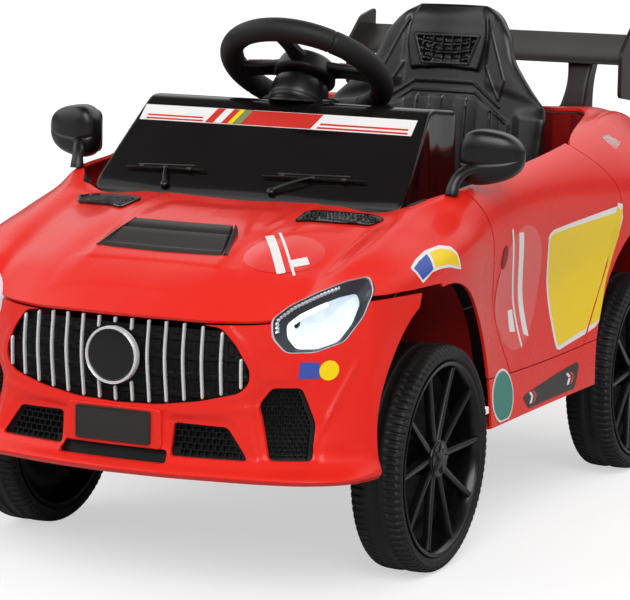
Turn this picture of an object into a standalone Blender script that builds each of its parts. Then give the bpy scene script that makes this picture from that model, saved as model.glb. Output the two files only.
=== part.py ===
"""Child's battery ride-on sports car, built as an assembly of separate pieces.

The car faces -Y, its left side is +X, and it stands on Z = 0. The origin lies under the middle of
its bounding box. The painted skin is one smooth surface: long lines run from nose to tail, and each
panel is a stretch of that surface, given a wall and cut to its openings.
"""
import math

import bmesh
import bpy
import numpy as np
from mathutils import Matrix, Vector

# Driving sizes of the car
WHEELBASE = 0.596
FRONT_OVERHANG = 0.268
REAR_OVERHANG = 0.178
BODY_HALF_WIDTH = 0.262
GROUND_CLEARANCE = 0.128
SHELL = 0.004
SEAM = 0.0012
TOUCH = 0.0003

# Wheels and the arches round them
TYRE_RADIUS = 0.120
TYRE_WIDTH = 0.057
RIM_RADIUS = 0.103
RIM_WALL = 0.004
HUB_RADIUS = 0.020
AXLE_RADIUS = 0.006
BORE_CLEARANCE = 0.0006
WHEEL_INSET_FRONT = 0.005
WHEEL_INSET_REAR = -0.001
ARCH_GAP_FRONT = 0.020
ARCH_GAP_REAR = 0.028
ARCH_RISE = 0.032
WHEEL_SEGMENTS = 24
TREAD_GROOVE = 0.002
SPOKE_COUNT = 5
STEERED_TYRE_GAP = 0.010
WELL_WALL = 0.0022
WELL_BAND = 0.0016
WELL_OUTER = 0.040
WELL_BESIDE_DECK = 0.0103
WELL_PANEL_AHEAD = 0.147
WELL_PANEL_HEIGHT = 0.225

# Steering
WHEEL_TILT = math.radians(34.2)
STEERING_RING_RADIUS = 0.087
STEERING_GRIP_RADIUS = 0.0135
STEERING_CENTRE_BACK = 0.182
STEERING_OVER_DASH = 0.0315
SHAFT_RADIUS = 0.006
COLUMN_RADIUS = 0.033
COLUMN_LENGTH = 0.058
KINGPIN_HALF_TRACK = 0.162
KINGPIN_RADIUS = 0.005
STEERING_ARM = 0.045
CRANK_ARM = 0.0225
TIE_ROD_THICKNESS = 0.006
SHAFT_LENGTH = 0.440
HUB_LENGTH = 0.038
BUTTON_RADIUS = 0.010
BUTTON_TRAVEL = 0.002
START_BUTTON_X = 0.090
SWITCH_BELOW_DASH = 0.0655
SWITCH_HALF_WIDTH = 0.008
SWITCH_HALF_HEIGHT = 0.012

# Chassis and the drive
DECK_BOTTOM = 0.146
DECK_THICKNESS = 0.004
DECK_FRONT_HALF = 0.135
DECK_REAR_HALF = 0.178
GEARBOX_WIDTH = 0.034
GEARBOX_LENGTH = 0.105
MOTOR_RADIUS = 0.018
MOTOR_LENGTH = 0.050
BATTERY_SIZE = (0.100, 0.050, 0.094)

# Cockpit
TUB_WALL = 0.003
TUB_HEIGHT = 0.250
SEAT_BASE_HEIGHT = 0.255
SEAT_TOP = 0.558
PEDAL_LENGTH = 0.085
PEDAL_WIDTH = 0.052
PEDAL_RISE = math.radians(26.0)
TUB_FRONT_HALF = 0.132
TUB_HALF = 0.203
SEAT_DEPTH = 0.030
PAN_HALF = 0.140

# Windscreen and dashboard
SCREEN_WALL = 0.003
SCREEN_BASE_HEIGHT = 0.376
SCREEN_TOP_HEIGHT = 0.4705
SCREEN_BOW = 0.003
DASH_SLOPE = 0.099
DASH_BACK = 0.205
DASH_FACE = DASH_BACK + 0.006
WIPER_GAP = 0.0023

# Trim
SLAT_COUNT = 15
SLAT_MARGIN = 0.0084
SLAT_WIDTH = 0.003
SLAT_DEPTH = 0.0045
BADGE_RADIUS = 0.030
BADGE_RING_WIDTH = 0.0035
BADGE_HEIGHT = 0.245
PLATE_HALF_WIDTH = 0.0427
PLATE_HEIGHT = 0.034
PLATE_THICKNESS = 0.003
INSERT_WALL = 0.0025
INSERT_GAP = 0.0006
HEADLIGHT_DEPTH = 0.014
HEADLIGHT_BULGE = 0.005

SCOOP_LENGTH = 0.052
SCOOP_FRONT_HALF = 0.077
SCOOP_REAR_HALF = 0.062

# Rear wing and mirrors
WING_HALF_WIDTH = 0.185
WING_CHORD = 0.074
WING_THICKNESS = 0.010
WING_RISE = 0.0572
ENDPLATE_BELOW = 0.045
ENDPLATE_ABOVE = 0.058
WING_PITCH = math.radians(27.0)
ENDPLATE_THICKNESS = 0.005
POST_WIDTH = 0.034
POST_HALF_TRACK = 0.1275
MIRROR_WIDTH = 0.068
MIRROR_HEIGHT = 0.060
MIRROR_DEPTH = 0.042
MIRROR_BACK = 0.038
MIRROR_LIFT = 0.037

# Places along the car that follow from the driving sizes
FRONT = (FRONT_OVERHANG - REAR_OVERHANG - WHEELBASE) / 2
REAR = FRONT + WHEELBASE
NOSE = FRONT - FRONT_OVERHANG
TAIL = REAR + REAR_OVERHANG
AXLE_HEIGHT = TYRE_RADIUS
HALF = BODY_HALF_WIDTH
LOW = GROUND_CLEARANCE
DECK_TOP = DECK_BOTTOM + DECK_THICKNESS
TUB_REAR = REAR - 0.200
TIE_ROD_LOW = AXLE_HEIGHT - 0.0105
SWITCH_HEIGHT = SCREEN_TOP_HEIGHT - SWITCH_BELOW_DASH
STEERING_CENTRE_HEIGHT = SCREEN_TOP_HEIGHT + STEERING_OVER_DASH
FRONT_WHEEL_OUTER = HALF - WHEEL_INSET_FRONT
REAR_WHEEL_OUTER = HALF - WHEEL_INSET_REAR
BORE_RADIUS = AXLE_RADIUS + BORE_CLEARANCE
STEERING_CENTRE = Vector((0.0, FRONT + STEERING_CENTRE_BACK, STEERING_CENTRE_HEIGHT))
STEERING_AXIS = Vector((0.0, math.sin(WHEEL_TILT), math.cos(WHEEL_TILT)))
INSIDE = Vector((0.0, 0.0, 0.20))
SIDES = ((1, "left"), (-1, "right"))

# Long lines of the painted skin, centre line first, as (y, x, z) from nose to tail
LINES = (
    (
        (NOSE + 0.022, 0.0, 0.287), (NOSE + 0.068, 0.0, 0.314), (NOSE + 0.124, 0.0, 0.335),
        (FRONT - 0.090, 0.0, 0.350), (FRONT - 0.030, 0.0, 0.362), (FRONT + 0.030, 0.0, 0.370),
        (FRONT + 0.200, 0.0, 0.400), (REAR - 0.196, 0.0, 0.420), (REAR - 0.016, 0.0, 0.436),
        (REAR + 0.064, 0.0, 0.431), (TAIL - 0.044, 0.0, 0.414), (TAIL - 0.014, 0.0, 0.402),
    ),
    (
        (NOSE + 0.025, 0.055, 0.287), (NOSE + 0.068, 0.055, 0.314), (NOSE + 0.124, 0.057, 0.336),
        (FRONT - 0.090, 0.058, 0.352), (FRONT - 0.030, 0.060, 0.364), (FRONT + 0.030, 0.060, 0.372),
        (FRONT + 0.200, 0.060, 0.400), (REAR - 0.196, 0.070, 0.420), (REAR - 0.016, 0.080, 0.437),
        (REAR + 0.064, 0.080, 0.432), (TAIL - 0.045, 0.080, 0.415), (TAIL - 0.016, 0.080, 0.402),
    ),
    (
        (NOSE + 0.036, 0.108, 0.286), (NOSE + 0.078, 0.108, 0.316), (NOSE + 0.124, 0.108, 0.338),
        (FRONT - 0.090, 0.110, 0.356), (FRONT - 0.030, 0.112, 0.368), (FRONT + 0.030, 0.114, 0.374),
        (FRONT + 0.200, 0.120, 0.400), (REAR - 0.196, 0.130, 0.420), (REAR - 0.016, 0.140, 0.438),
        (REAR + 0.064, 0.140, 0.433), (TAIL - 0.050, 0.135, 0.416), (TAIL - 0.022, 0.130, 0.402),
    ),
    (
        (NOSE + 0.063, 0.160, 0.289), (NOSE + 0.098, 0.160, 0.316), (NOSE + 0.138, 0.160, 0.332),
        (FRONT - 0.090, 0.162, 0.346), (FRONT - 0.030, 0.165, 0.362), (FRONT + 0.030, 0.168, 0.372),
        (FRONT + 0.200, 0.180, 0.400), (REAR - 0.196, 0.190, 0.418), (REAR - 0.016, 0.190, 0.438),
        (REAR + 0.064, 0.185, 0.432), (TAIL - 0.055, 0.180, 0.414), (TAIL - 0.034, 0.175, 0.402),
    ),
    (
        (NOSE + 0.093, HALF - 0.064, 0.314), (NOSE + 0.128, HALF - 0.057, 0.325),
        (FRONT - 0.100, HALF - 0.050, 0.341), (FRONT - 0.030, HALF - 0.045, 0.361),
        (FRONT + 0.034, HALF - 0.040, 0.378), (FRONT + 0.060, HALF - 0.034, 0.386),
        (FRONT + 0.150, HALF - 0.026, 0.395), (FRONT + 0.270, HALF - 0.024, 0.403),
        (REAR - 0.196, HALF - 0.026, 0.414), (REAR - 0.126, HALF - 0.030, 0.422),
        (REAR - 0.046, HALF - 0.038, 0.430), (REAR + 0.024, HALF - 0.044, 0.428),
        (TAIL - 0.080, HALF - 0.052, 0.413), (TAIL - 0.056, HALF - 0.056, 0.402),
    ),
    (
        (NOSE + 0.118, HALF - 0.034, 0.312), (NOSE + 0.138, HALF - 0.024, 0.315),
        (FRONT - 0.100, HALF - 0.014, 0.322), (FRONT - 0.030, HALF - 0.005, 0.334),
        (FRONT + 0.030, HALF - 0.003, 0.342), (FRONT + 0.100, HALF - 0.006, 0.346),
        (FRONT + 0.200, HALF - 0.006, 0.348), (FRONT + 0.300, HALF - 0.004, 0.349),
        (REAR - 0.196, HALF + 0.001, 0.351), (REAR - 0.116, HALF + 0.006, 0.354),
        (REAR - 0.046, HALF + 0.009, 0.360), (REAR + 0.024, HALF + 0.008, 0.360),
        (TAIL - 0.084, HALF - 0.008, 0.352), (TAIL - 0.068, HALF - 0.016, 0.350),
    ),
    (
        (NOSE + 0.123, HALF - 0.019, 0.262), (NOSE + 0.138, HALF - 0.014, 0.262),
        (FRONT - 0.100, HALF - 0.008, 0.264), (FRONT, HALF - 0.002, 0.270),
        (FRONT + 0.080, HALF - 0.008, 0.262), (FRONT + 0.150, HALF - 0.016, 0.256),
        (FRONT + 0.250, HALF - 0.017, 0.256), (FRONT + 0.350, HALF - 0.013, 0.260),
        (REAR - 0.166, HALF - 0.004, 0.266), (REAR - 0.096, HALF + 0.005, 0.272),
        (REAR + 0.004, HALF + 0.009, 0.272), (TAIL - 0.084, HALF - 0.001, 0.262),
        (TAIL - 0.070, HALF - 0.006, 0.260),
    ),
    (
        (NOSE + 0.118, HALF - 0.015, LOW + 0.062), (NOSE + 0.138, HALF - 0.013, LOW + 0.062),
        (FRONT, HALF - 0.003, LOW + 0.072), (FRONT + 0.100, HALF - 0.008, LOW + 0.062),
        (FRONT + 0.150, HALF - 0.011, LOW + 0.058), (FRONT + 0.250, HALF - 0.012, LOW + 0.054),
        (FRONT + 0.350, HALF - 0.010, LOW + 0.054), (REAR - 0.166, HALF - 0.003, LOW + 0.058),
        (REAR - 0.096, HALF + 0.004, LOW + 0.062), (REAR + 0.004, HALF + 0.006, LOW + 0.062),
        (TAIL - 0.084, HALF, LOW + 0.062), (TAIL - 0.070, HALF - 0.004, LOW + 0.062),
    ),
    (
        (NOSE + 0.108, HALF - 0.012, LOW + 0.002), (NOSE + 0.138, HALF - 0.012, LOW + 0.002),
        (FRONT, HALF - 0.006, LOW + 0.002), (FRONT + 0.150, HALF - 0.006, LOW + 0.002),
        (FRONT + 0.300, HALF - 0.005, LOW + 0.002), (REAR - 0.166, HALF - 0.002, LOW + 0.002),
        (REAR + 0.004, HALF, LOW + 0.002), (TAIL - 0.084, HALF - 0.006, LOW + 0.002),
        (TAIL - 0.070, HALF - 0.010, LOW + 0.002),
    ),
)

# Front fascia as rows of (x, y, z), lip first, each from the middle to the arch
FASCIA = (
    (
        (0.0, NOSE + 0.006, LOW), (0.060, NOSE + 0.010, LOW), (0.120, NOSE + 0.020, LOW),
        (0.165, NOSE + 0.030, LOW), (HALF - 0.057, NOSE + 0.046, LOW),
        (HALF - 0.027, NOSE + 0.073, LOW), (HALF - 0.014, NOSE + 0.110, LOW),
        (HALF - 0.010, NOSE + 0.160, LOW),
    ),
    (
        (0.0, NOSE, LOW + 0.007), (0.060, NOSE + 0.004, LOW + 0.007),
        (0.120, NOSE + 0.014, LOW + 0.007), (0.167, NOSE + 0.024, LOW + 0.007),
        (HALF - 0.052, NOSE + 0.040, LOW + 0.007), (HALF - 0.021, NOSE + 0.070, LOW + 0.007),
        (HALF - 0.010, NOSE + 0.110, LOW + 0.007), (HALF - 0.009, NOSE + 0.160, LOW + 0.007),
    ),
    (
        (0.0, NOSE + 0.016, LOW + 0.017), (0.060, NOSE + 0.019, LOW + 0.017),
        (0.120, NOSE + 0.029, LOW + 0.017), (0.163, NOSE + 0.042, LOW + 0.017),
        (HALF - 0.060, NOSE + 0.062, LOW + 0.018), (HALF - 0.029, NOSE + 0.090, LOW + 0.019),
        (HALF - 0.013, NOSE + 0.116, LOW + 0.020), (HALF - 0.010, NOSE + 0.160, LOW + 0.020),
    ),
    (
        (0.0, NOSE + 0.022, 0.168), (0.060, NOSE + 0.025, 0.168), (0.120, NOSE + 0.035, 0.168),
        (0.162, NOSE + 0.049, 0.168), (HALF - 0.062, NOSE + 0.070, 0.170),
        (HALF - 0.030, NOSE + 0.096, 0.170), (HALF - 0.014, NOSE + 0.122, 0.170),
        (HALF - 0.008, NOSE + 0.165, 0.170),
    ),
    (
        (0.0, NOSE + 0.024, 0.196), (0.060, NOSE + 0.027, 0.196), (0.120, NOSE + 0.038, 0.200),
        (0.162, NOSE + 0.055, 0.205), (HALF - 0.062, NOSE + 0.078, 0.205),
        (HALF - 0.032, NOSE + 0.103, 0.205), (HALF - 0.016, NOSE + 0.126, 0.205),
        (HALF - 0.006, NOSE + 0.170, 0.205),
    ),
    (
        (0.0, NOSE + 0.018, 0.245), (0.060, NOSE + 0.022, 0.245), (0.120, NOSE + 0.036, 0.245),
        (0.162, NOSE + 0.059, 0.250), (HALF - 0.062, NOSE + 0.086, 0.252),
        (HALF - 0.034, NOSE + 0.111, 0.252), (HALF - 0.018, NOSE + 0.130, 0.250),
        (HALF - 0.005, NOSE + 0.175, 0.250),
    ),
    (
        (0.0, NOSE + 0.022, 0.2825), (0.055, NOSE + 0.025, 0.2825), (0.108, NOSE + 0.036, 0.2815),
        (0.160, NOSE + 0.063, 0.2845), (HALF - 0.070, NOSE + 0.092, 0.300),
        (HALF - 0.038, NOSE + 0.119, 0.303), (HALF - 0.0225, NOSE + 0.136, 0.3045),
        (HALF - 0.0065, NOSE + 0.200, 0.3045),
    ),
)

# Rear fascia as rows of (x, y, z), lowest first, each from the middle to the rear arch
TAIL_FASCIA = (
    (
        (0.0, TAIL - 0.012, LOW), (0.080, TAIL - 0.013, LOW), (0.150, TAIL - 0.017, LOW),
        (HALF - 0.050, TAIL - 0.026, LOW), (HALF - 0.020, TAIL - 0.040, LOW),
        (HALF - 0.010, TAIL - 0.075, LOW),
    ),
    (
        (0.0, TAIL - 0.004, 0.200), (0.080, TAIL - 0.006, 0.200), (0.150, TAIL - 0.010, 0.200),
        (HALF - 0.044, TAIL - 0.019, 0.200), (HALF - 0.014, TAIL - 0.034, 0.200),
        (HALF - 0.002, TAIL - 0.075, 0.200),
    ),
    (
        (0.0, TAIL, 0.280), (0.080, TAIL - 0.002, 0.280), (0.150, TAIL - 0.007, 0.280),
        (HALF - 0.044, TAIL - 0.016, 0.280), (HALF - 0.012, TAIL - 0.032, 0.280),
        (HALF, TAIL - 0.078, 0.280),
    ),
    (
        (0.0, TAIL - 0.006, 0.350), (0.080, TAIL - 0.008, 0.350), (0.145, TAIL - 0.013, 0.350),
        (HALF - 0.056, TAIL - 0.024, 0.350), (HALF - 0.024, TAIL - 0.044, 0.350),
        (HALF - 0.0095, TAIL - 0.0812, 0.350),
    ),
    (
        (0.0, TAIL - 0.010, 0.378), (0.080, TAIL - 0.012, 0.378), (0.140, TAIL - 0.017, 0.378),
        (0.185, TAIL - 0.028, 0.378), (HALF - 0.044, TAIL - 0.046, 0.379),
        (HALF - 0.0335, TAIL - 0.0680, 0.3815),
    ),
    (
        (0.0, TAIL - 0.014, 0.3975), (0.080, TAIL - 0.016, 0.3975), (0.130, TAIL - 0.022, 0.3975),
        (0.165, TAIL - 0.030, 0.3975), (0.188, TAIL - 0.040, 0.3975),
        (HALF - 0.058, TAIL - 0.0540, 0.3975),
    ),
)

# Seams of the doors on the long lines, from the crest down
DOOR_FRONT = [FRONT + back for back in (0.085, 0.085, 0.085, 0.085, 0.085, 0.115, 0.148, 0.190, 0.215)]
DOOR_REAR = [REAR - ahead for ahead in (0.206, 0.206, 0.206, 0.206, 0.201, 0.117, 0.138, 0.189, 0.205)]
CREST = 4
SEAM_COLUMN = 7.04
SILL_COLUMN = 7.06

# Openings of the fascia in front view, as (x, z)
GRILLE_HALF = (
    (0.0, 0.2870), (0.060, 0.2865), (0.112, 0.279), (0.127, 0.262), (0.140, 0.238),
    (0.1395, 0.224), (0.130, 0.214), (0.090, 0.204), (0.045, 0.1975), (0.0, 0.196),
)
SLAT_PITCH = 2 * (max(x for x, z in GRILLE_HALF) - SLAT_MARGIN) / (SLAT_COUNT - 1)
INNER_MESH = ((0.062, 0.1475), (0.142, 0.1475), (0.119, 0.1795), (0.0635, 0.181))
OUTER_MESH = (
    (0.160, 0.1485), (0.199, 0.1485), (0.198, 0.185), (0.184, 0.220), (0.158, 0.220), (0.147, 0.203),
)
HEADLIGHT = (
    (HALF - 0.105, NOSE + 0.056, 0.289), (HALF - 0.090, NOSE + 0.066, 0.303),
    (HALF - 0.068, NOSE + 0.087, 0.316), (HALF - 0.050, NOSE + 0.112, 0.325),
    (HALF - 0.036, NOSE + 0.137, 0.328), (HALF - 0.0305, NOSE + 0.137, 0.314),
    (HALF - 0.035, NOSE + 0.122, 0.288), (HALF - 0.047, NOSE + 0.103, 0.264),
    (HALF - 0.070, NOSE + 0.082, 0.254), (HALF - 0.094, NOSE + 0.065, 0.254),
    (HALF - 0.104, NOSE + 0.056, 0.270),
)
HEADLIGHT_FACING = Vector((0.55, -0.75, 0.37)).normalized()

# Windscreen as (distance behind the front axle, share of its rise, half width), foot first
SCREEN_ROWS = tuple(
    (back, SCREEN_BASE_HEIGHT + share * (SCREEN_TOP_HEIGHT - SCREEN_BASE_HEIGHT), half)
    for back, share, half in (
        (0.0345, 0.0, 0.186), (0.068, 0.3228, 0.182), (0.102, 0.6561, 0.177),
        (0.132, 0.9471, 0.172), (0.146, 1.0, 0.171),
    )
)


def blend(knots, values, places):
    """A smooth curve through values at rising knots, read at the places asked for."""
    knots = np.asarray(knots, float)
    values = np.asarray(values, float)
    places = np.asarray(places, float)
    steps = np.diff(knots)[:, None]
    slopes = np.diff(values, axis=0) / steps
    tangents = np.empty_like(values)
    tangents[0] = slopes[0]
    tangents[-1] = slopes[-1]
    tangents[1:-1] = (slopes[:-1] * steps[1:] + slopes[1:] * steps[:-1]) / (steps[1:] + steps[:-1])
    index = np.clip(np.searchsorted(knots, places, side="right") - 1, 0, len(knots) - 2)
    width = (knots[index + 1] - knots[index])[:, None]
    part = ((places - knots[index]) / width[:, 0])[:, None]
    square, cube = part**2, part**3
    return (
        (2 * cube - 3 * square + 1) * values[index]
        + (cube - 2 * square + part) * width * tangents[index]
        + (3 * square - 2 * cube) * values[index + 1]
        + (cube - square) * width * tangents[index + 1]
    )


def skin_points(starts, ends, shares, columns):
    """Points of the painted skin. Each long line runs from its start to its end, and each row
    reads its own columns, where 0 is the centre line and 8 the lowest line."""
    lines = []
    for line, start, end in zip(LINES, starts, ends):
        knots = [knot[0] for knot in line]
        stations = np.clip(start + (end - start) * np.asarray(shares), knots[0], knots[-1])
        across = blend(knots, [knot[1:] for knot in line], stations)
        lines.append(np.column_stack([across[:, 0], stations, across[:, 1]]))
    lines = np.stack(lines, axis=1)
    numbers = np.arange(len(LINES))
    return np.stack([blend(numbers, row, place) for row, place in zip(lines, columns)])


def rows_points(rows, across, upward):
    """Points of a surface given as rows of points, read at column and row places."""
    grid = np.array(rows)
    columns = np.arange(grid.shape[1])
    levels = np.arange(grid.shape[0])
    read = np.stack([blend(columns, row, across) for row in grid])
    return np.stack([blend(levels, read[:, i], upward) for i in range(len(across))])


def normals_of(points):
    """Unit normals of a grid of points, pointing away from the middle of the car."""
    along = np.gradient(points, axis=0)
    across = np.gradient(points, axis=1)
    normals = np.cross(along, across)
    normals /= np.linalg.norm(normals, axis=2, keepdims=True)
    outward = ((points - np.array(INSIDE)) * normals).sum()
    return normals if outward > 0 else -normals


def mirrored(points):
    """A half grid and its mirror image across the centre plane, as one grid."""
    other = points[:, :0:-1] * np.array((-1.0, 1.0, 1.0))
    return np.concatenate([other, points], axis=1)


def sided(points, side):
    return np.asarray(points) * np.array((side, 1.0, 1.0))


def material(name, colour, roughness, metallic=0.0):
    made = bpy.data.materials.new(name)
    made.use_nodes = True
    shader = made.node_tree.nodes["Principled BSDF"]
    shader.inputs["Base Color"].default_value = (*colour, 1.0)
    shader.inputs["Roughness"].default_value = roughness
    shader.inputs["Metallic"].default_value = metallic
    return made


def add(name, bm, look, parent=None):
    """A mesh object from a bmesh whose points are in the world, under an optional empty."""
    mesh = bpy.data.meshes.new(name)
    if bm.calc_volume(signed=True) < 0:
        bmesh.ops.reverse_faces(bm, faces=bm.faces)
    if parent:
        bm.transform(parent.matrix_world.inverted())
    bm.to_mesh(mesh)
    bm.free()
    mesh.shade_smooth()
    mesh.set_sharp_from_angle(angle=math.radians(35))
    made = bpy.data.objects.new(name, mesh)
    bpy.context.collection.objects.link(made)
    made.parent = parent
    if look:
        mesh.materials.append(look)
    else:
        made.hide_render = True
        made.display_type = "WIRE"
    return made


def pivot(name, place, parent=None):
    """An empty on a joint's axis."""
    made = bpy.data.objects.new(name, None)
    made.location = Vector(place) - (parent.matrix_world.translation if parent else Vector())
    made.parent = parent
    made.empty_display_size = 0.03
    bpy.context.collection.objects.link(made)
    bpy.context.view_layer.update()
    return made


def sheet(points):
    """An open surface from a grid of points, facing away from the middle of the car."""
    bm = bmesh.new()
    rows, columns = points.shape[:2]
    verts = [[bm.verts.new(point) for point in row] for row in points]
    for i in range(rows - 1):
        for j in range(columns - 1):
            bm.faces.new((verts[i][j], verts[i + 1][j], verts[i + 1][j + 1], verts[i][j + 1]))
    bm.normal_update()
    facing = sum((face.calc_center_median() - INSIDE).dot(face.normal) for face in bm.faces)
    if facing < 0:
        bmesh.ops.reverse_faces(bm, faces=bm.faces)
    return bm


def panel(name, points, wall, look, parent=None):
    """A sheet with a wall added on its inner side."""
    bm = sheet(points)
    mesh = bpy.data.meshes.new(name)
    if parent:
        bm.transform(parent.matrix_world.inverted())
    bm.to_mesh(mesh)
    bm.free()
    mesh.shade_smooth()
    made = bpy.data.objects.new(name, mesh)
    bpy.context.collection.objects.link(made)
    made.parent = parent
    mesh.materials.append(look)
    thicken = made.modifiers.new("wall", "SOLIDIFY")
    thicken.thickness = wall
    thicken.offset = -1.0
    thicken.use_even_offset = True
    return made


def loft(rings):
    """A closed solid through rings of points, with flat ends."""
    bm = bmesh.new()
    loops = [[bm.verts.new(point) for point in ring] for ring in rings]
    count = len(loops[0])
    for low, high in zip(loops, loops[1:]):
        for i in range(count):
            bm.faces.new((low[i], low[(i + 1) % count], high[(i + 1) % count], high[i]))
    bm.faces.new(loops[0][::-1])
    bm.faces.new(loops[-1])
    return bm


def box(low, high):
    """A box between two opposite corners."""
    low, high = Vector(low), Vector(high)
    bm = bmesh.new()
    bmesh.ops.create_cube(bm, size=1.0)
    size = Matrix.Diagonal((high - low).to_4d())
    size[3][3] = 1.0
    bm.transform(Matrix.Translation((low + high) / 2) @ size)
    return bm


def rod(start, end, radius, end_radius=None, segments=16):
    """A cylinder or a cone between two points."""
    start, end = Vector(start), Vector(end)
    along = end - start
    bm = bmesh.new()
    bmesh.ops.create_cone(
        bm, cap_ends=True, segments=segments, radius1=radius,
        radius2=radius if end_radius is None else end_radius, depth=along.length,
    )
    turn = along.to_track_quat("Z", "X").to_matrix().to_4x4()
    bm.transform(Matrix.Translation((start + end) / 2) @ turn)
    return bm


def prism(outline, low, high):
    """An outline in X and Z, pushed along Y between two places."""
    return loft([[(x, y, z) for x, z in outline] for y in (low, high)])


def side_prism(outline, low, high):
    """An outline in Y and Z, pushed along X between two places."""
    return loft([[(x, y, z) for y, z in outline] for x in (low, high)])


def plan_prism(outline, low, high):
    """An outline in X and Y, pushed along Z between two heights."""
    return loft([[(x, y, z) for x, y in outline] for z in (low, high)])


def turned(profile, segments):
    """A ring round the X axis from a profile of (x, radius) points."""
    bm = bmesh.new()
    loops = []
    for step in range(segments):
        angle = 2 * math.pi * step / segments - math.pi / 2
        turn = (math.cos(angle), math.sin(angle))
        loops.append([bm.verts.new((x, r * turn[0], r * turn[1])) for x, r in profile])
    count = len(profile)
    for step in range(segments):
        here, there = loops[step], loops[(step + 1) % segments]
        for i in range(count):
            bm.faces.new((here[i], here[(i + 1) % count], there[(i + 1) % count], there[i]))
    return bm


def gather(group, piece):
    """Adds a closed solid to a group of solids that don't touch."""
    if piece.calc_volume(signed=True) < 0:
        bmesh.ops.reverse_faces(piece, faces=piece.faces)
    mesh = bpy.data.meshes.new("piece")
    piece.to_mesh(mesh)
    piece.free()
    group.from_mesh(mesh)
    bpy.data.meshes.remove(mesh)


def change(target, bm, operation, solver="EXACT"):
    """Cuts a hidden solid from a piece, or joins it."""
    tool = add(f"{target.name}_{operation.lower()}_{len(target.modifiers)}", bm, None)
    step = target.modifiers.new(operation.lower(), "BOOLEAN")
    step.operation = operation
    step.solver = solver
    step.object = tool


def cut(target, bm):
    change(target, bm, "DIFFERENCE")


def join(target, bm):
    change(target, bm, "UNION")


def mirror_outline(half):
    """An outline in X and Z from its +X half, which starts and ends on the centre line."""
    return list(half) + [(-x, z) for x, z in half[-2:0:-1]]


def arch_outline(centre, reach, top, low=0.0):
    """Half ellipse over a wheel, as (y, z), with straight legs down to a low edge."""
    foot = AXLE_HEIGHT + ARCH_RISE
    points = [(centre - reach, low)]
    for step in range(17):
        angle = math.pi * (1 - step / 16)
        points.append((centre + reach * math.cos(angle), foot + (top - foot) * math.sin(angle)))
    points.append((centre + reach, low))
    return points


def front_outline(grown=0.0, low=0.0):
    """Outline of the front wheel's opening, grown by a distance."""
    reach = TYRE_RADIUS + ARCH_GAP_FRONT + grown
    return arch_outline(FRONT - 0.012, reach, 2 * TYRE_RADIUS + 0.067 + grown, low)


def front_arch(side):
    return side_prism(front_outline(), side * 0.19, side * (HALF + 0.05))


def rear_arch(side):
    reach = TYRE_RADIUS + ARCH_GAP_REAR
    outline = arch_outline(REAR - 0.012, reach, 2 * TYRE_RADIUS + 0.078)
    return side_prism(outline, side * 0.19, side * (HALF + 0.05))


def skin_height(x, y):
    """Height of the painted skin above a point of the plan, between the two crests."""
    places = np.linspace(0, 4, 41)
    row = skin_points([y] * 9, [y] * 9, [0.0], [places])[0]
    return float(np.interp(abs(x), row[:, 0], row[:, 2]))


def fascia_front(x, z):
    """How far forward the front fascia reaches at a place of its front view."""
    column = np.interp(abs(x), [point[0] for point in FASCIA[5]], range(8))
    level = np.interp(z, [row[0][2] for row in FASCIA], range(7))
    return float(rows_points(FASCIA, [column], [level])[0, 0, 1])


def behind(points, depth):
    return points - normals_of(points) * depth


def headlight_ring(side, outward, share=1.0):
    """The headlight's outline, pushed outward and drawn in to a share of its size."""
    centre = sum((Vector(point) for point in HEADLIGHT), Vector()) / len(HEADLIGHT)
    ring = [centre + (Vector(p) - centre) * share + HEADLIGHT_FACING * outward for p in HEADLIGHT]
    return [(side * p.x, p.y, p.z) for p in ring]


def headlight_cutter(side):
    return loft([headlight_ring(side, -0.03), headlight_ring(side, 0.03)])


def side_columns(lowest):
    """The places across the side that the pieces on both sides of a seam share."""
    return CREST + (lowest - CREST) * np.array((0, 0.083, 0.167, 0.25, 0.33, 0.44, 0.55, 0.66, 0.78, 0.9, 1))


def two_stretches(inner, outer, shares, lowest):
    """Skin points whose seams differ above and below the crest line. Inner and outer hold the
    starts and ends of the long lines on each side of it, and meet on it."""
    top = [np.concatenate([np.arange(0, 4, 0.5)])] * len(shares)
    side = [side_columns(low) for low in lowest]
    return np.concatenate(
        [skin_points(*inner, shares, top), skin_points(*outer, shares, side)], axis=1
    )


def make_front_body(paint):
    shares = np.linspace(0, 1, 11)
    seam = np.interp(shares, (0, 0.2, 0.4), (5.08, 5.28, 5.40))
    lowest = np.where(shares > 0.42, np.interp(shares, (0.42, 0.72), (5.40, SEAM_COLUMN)), seam)
    cowl = [FRONT + back for back in (0.028, 0.027, 0.025, 0.021, 0.054)]
    starts = [line[0][0] for line in LINES]
    door = [place - SEAM for place in DOOR_FRONT]
    points = two_stretches((starts, cowl + door[5:]), (starts, door), shares, lowest)
    made = panel("front_body", mirrored(points), SHELL, paint)
    for side in (1, -1):
        cut(made, front_arch(side))
        cut(made, headlight_cutter(side))


def make_front_bumper(paint):
    across = (0, 0.75, 1.5, 2.25, 3, 3.5, 4, 4.5, 5, 5.5, 6, 6.5, 7)
    upward = (0, 1, 1.5, 2, 3, 4, 4.5, 5, 5.5, 6)
    points = rows_points(FASCIA, across, upward).transpose(1, 0, 2)
    made = panel("front_bumper", mirrored(points), SHELL, paint)
    plate_low, plate_high = plate_heights()
    bracket = PLATE_HALF_WIDTH + 0.012
    face = fascia_front(0, plate_low) - 0.002
    join(made, box((-bracket, face, plate_low - 0.004), (bracket, face + 0.009, plate_high + 0.003)))
    cut(made, prism(mirror_outline(GRILLE_HALF), NOSE - 0.02, NOSE + 0.07))
    for side in (1, -1):
        cut(made, prism(sided_outline(INNER_MESH, side), NOSE - 0.02, NOSE + 0.08))
        cut(made, prism(sided_outline(OUTER_MESH, side), NOSE - 0.02, NOSE + 0.12))
        cut(made, front_arch(side))
        cut(made, headlight_cutter(side))


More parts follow.
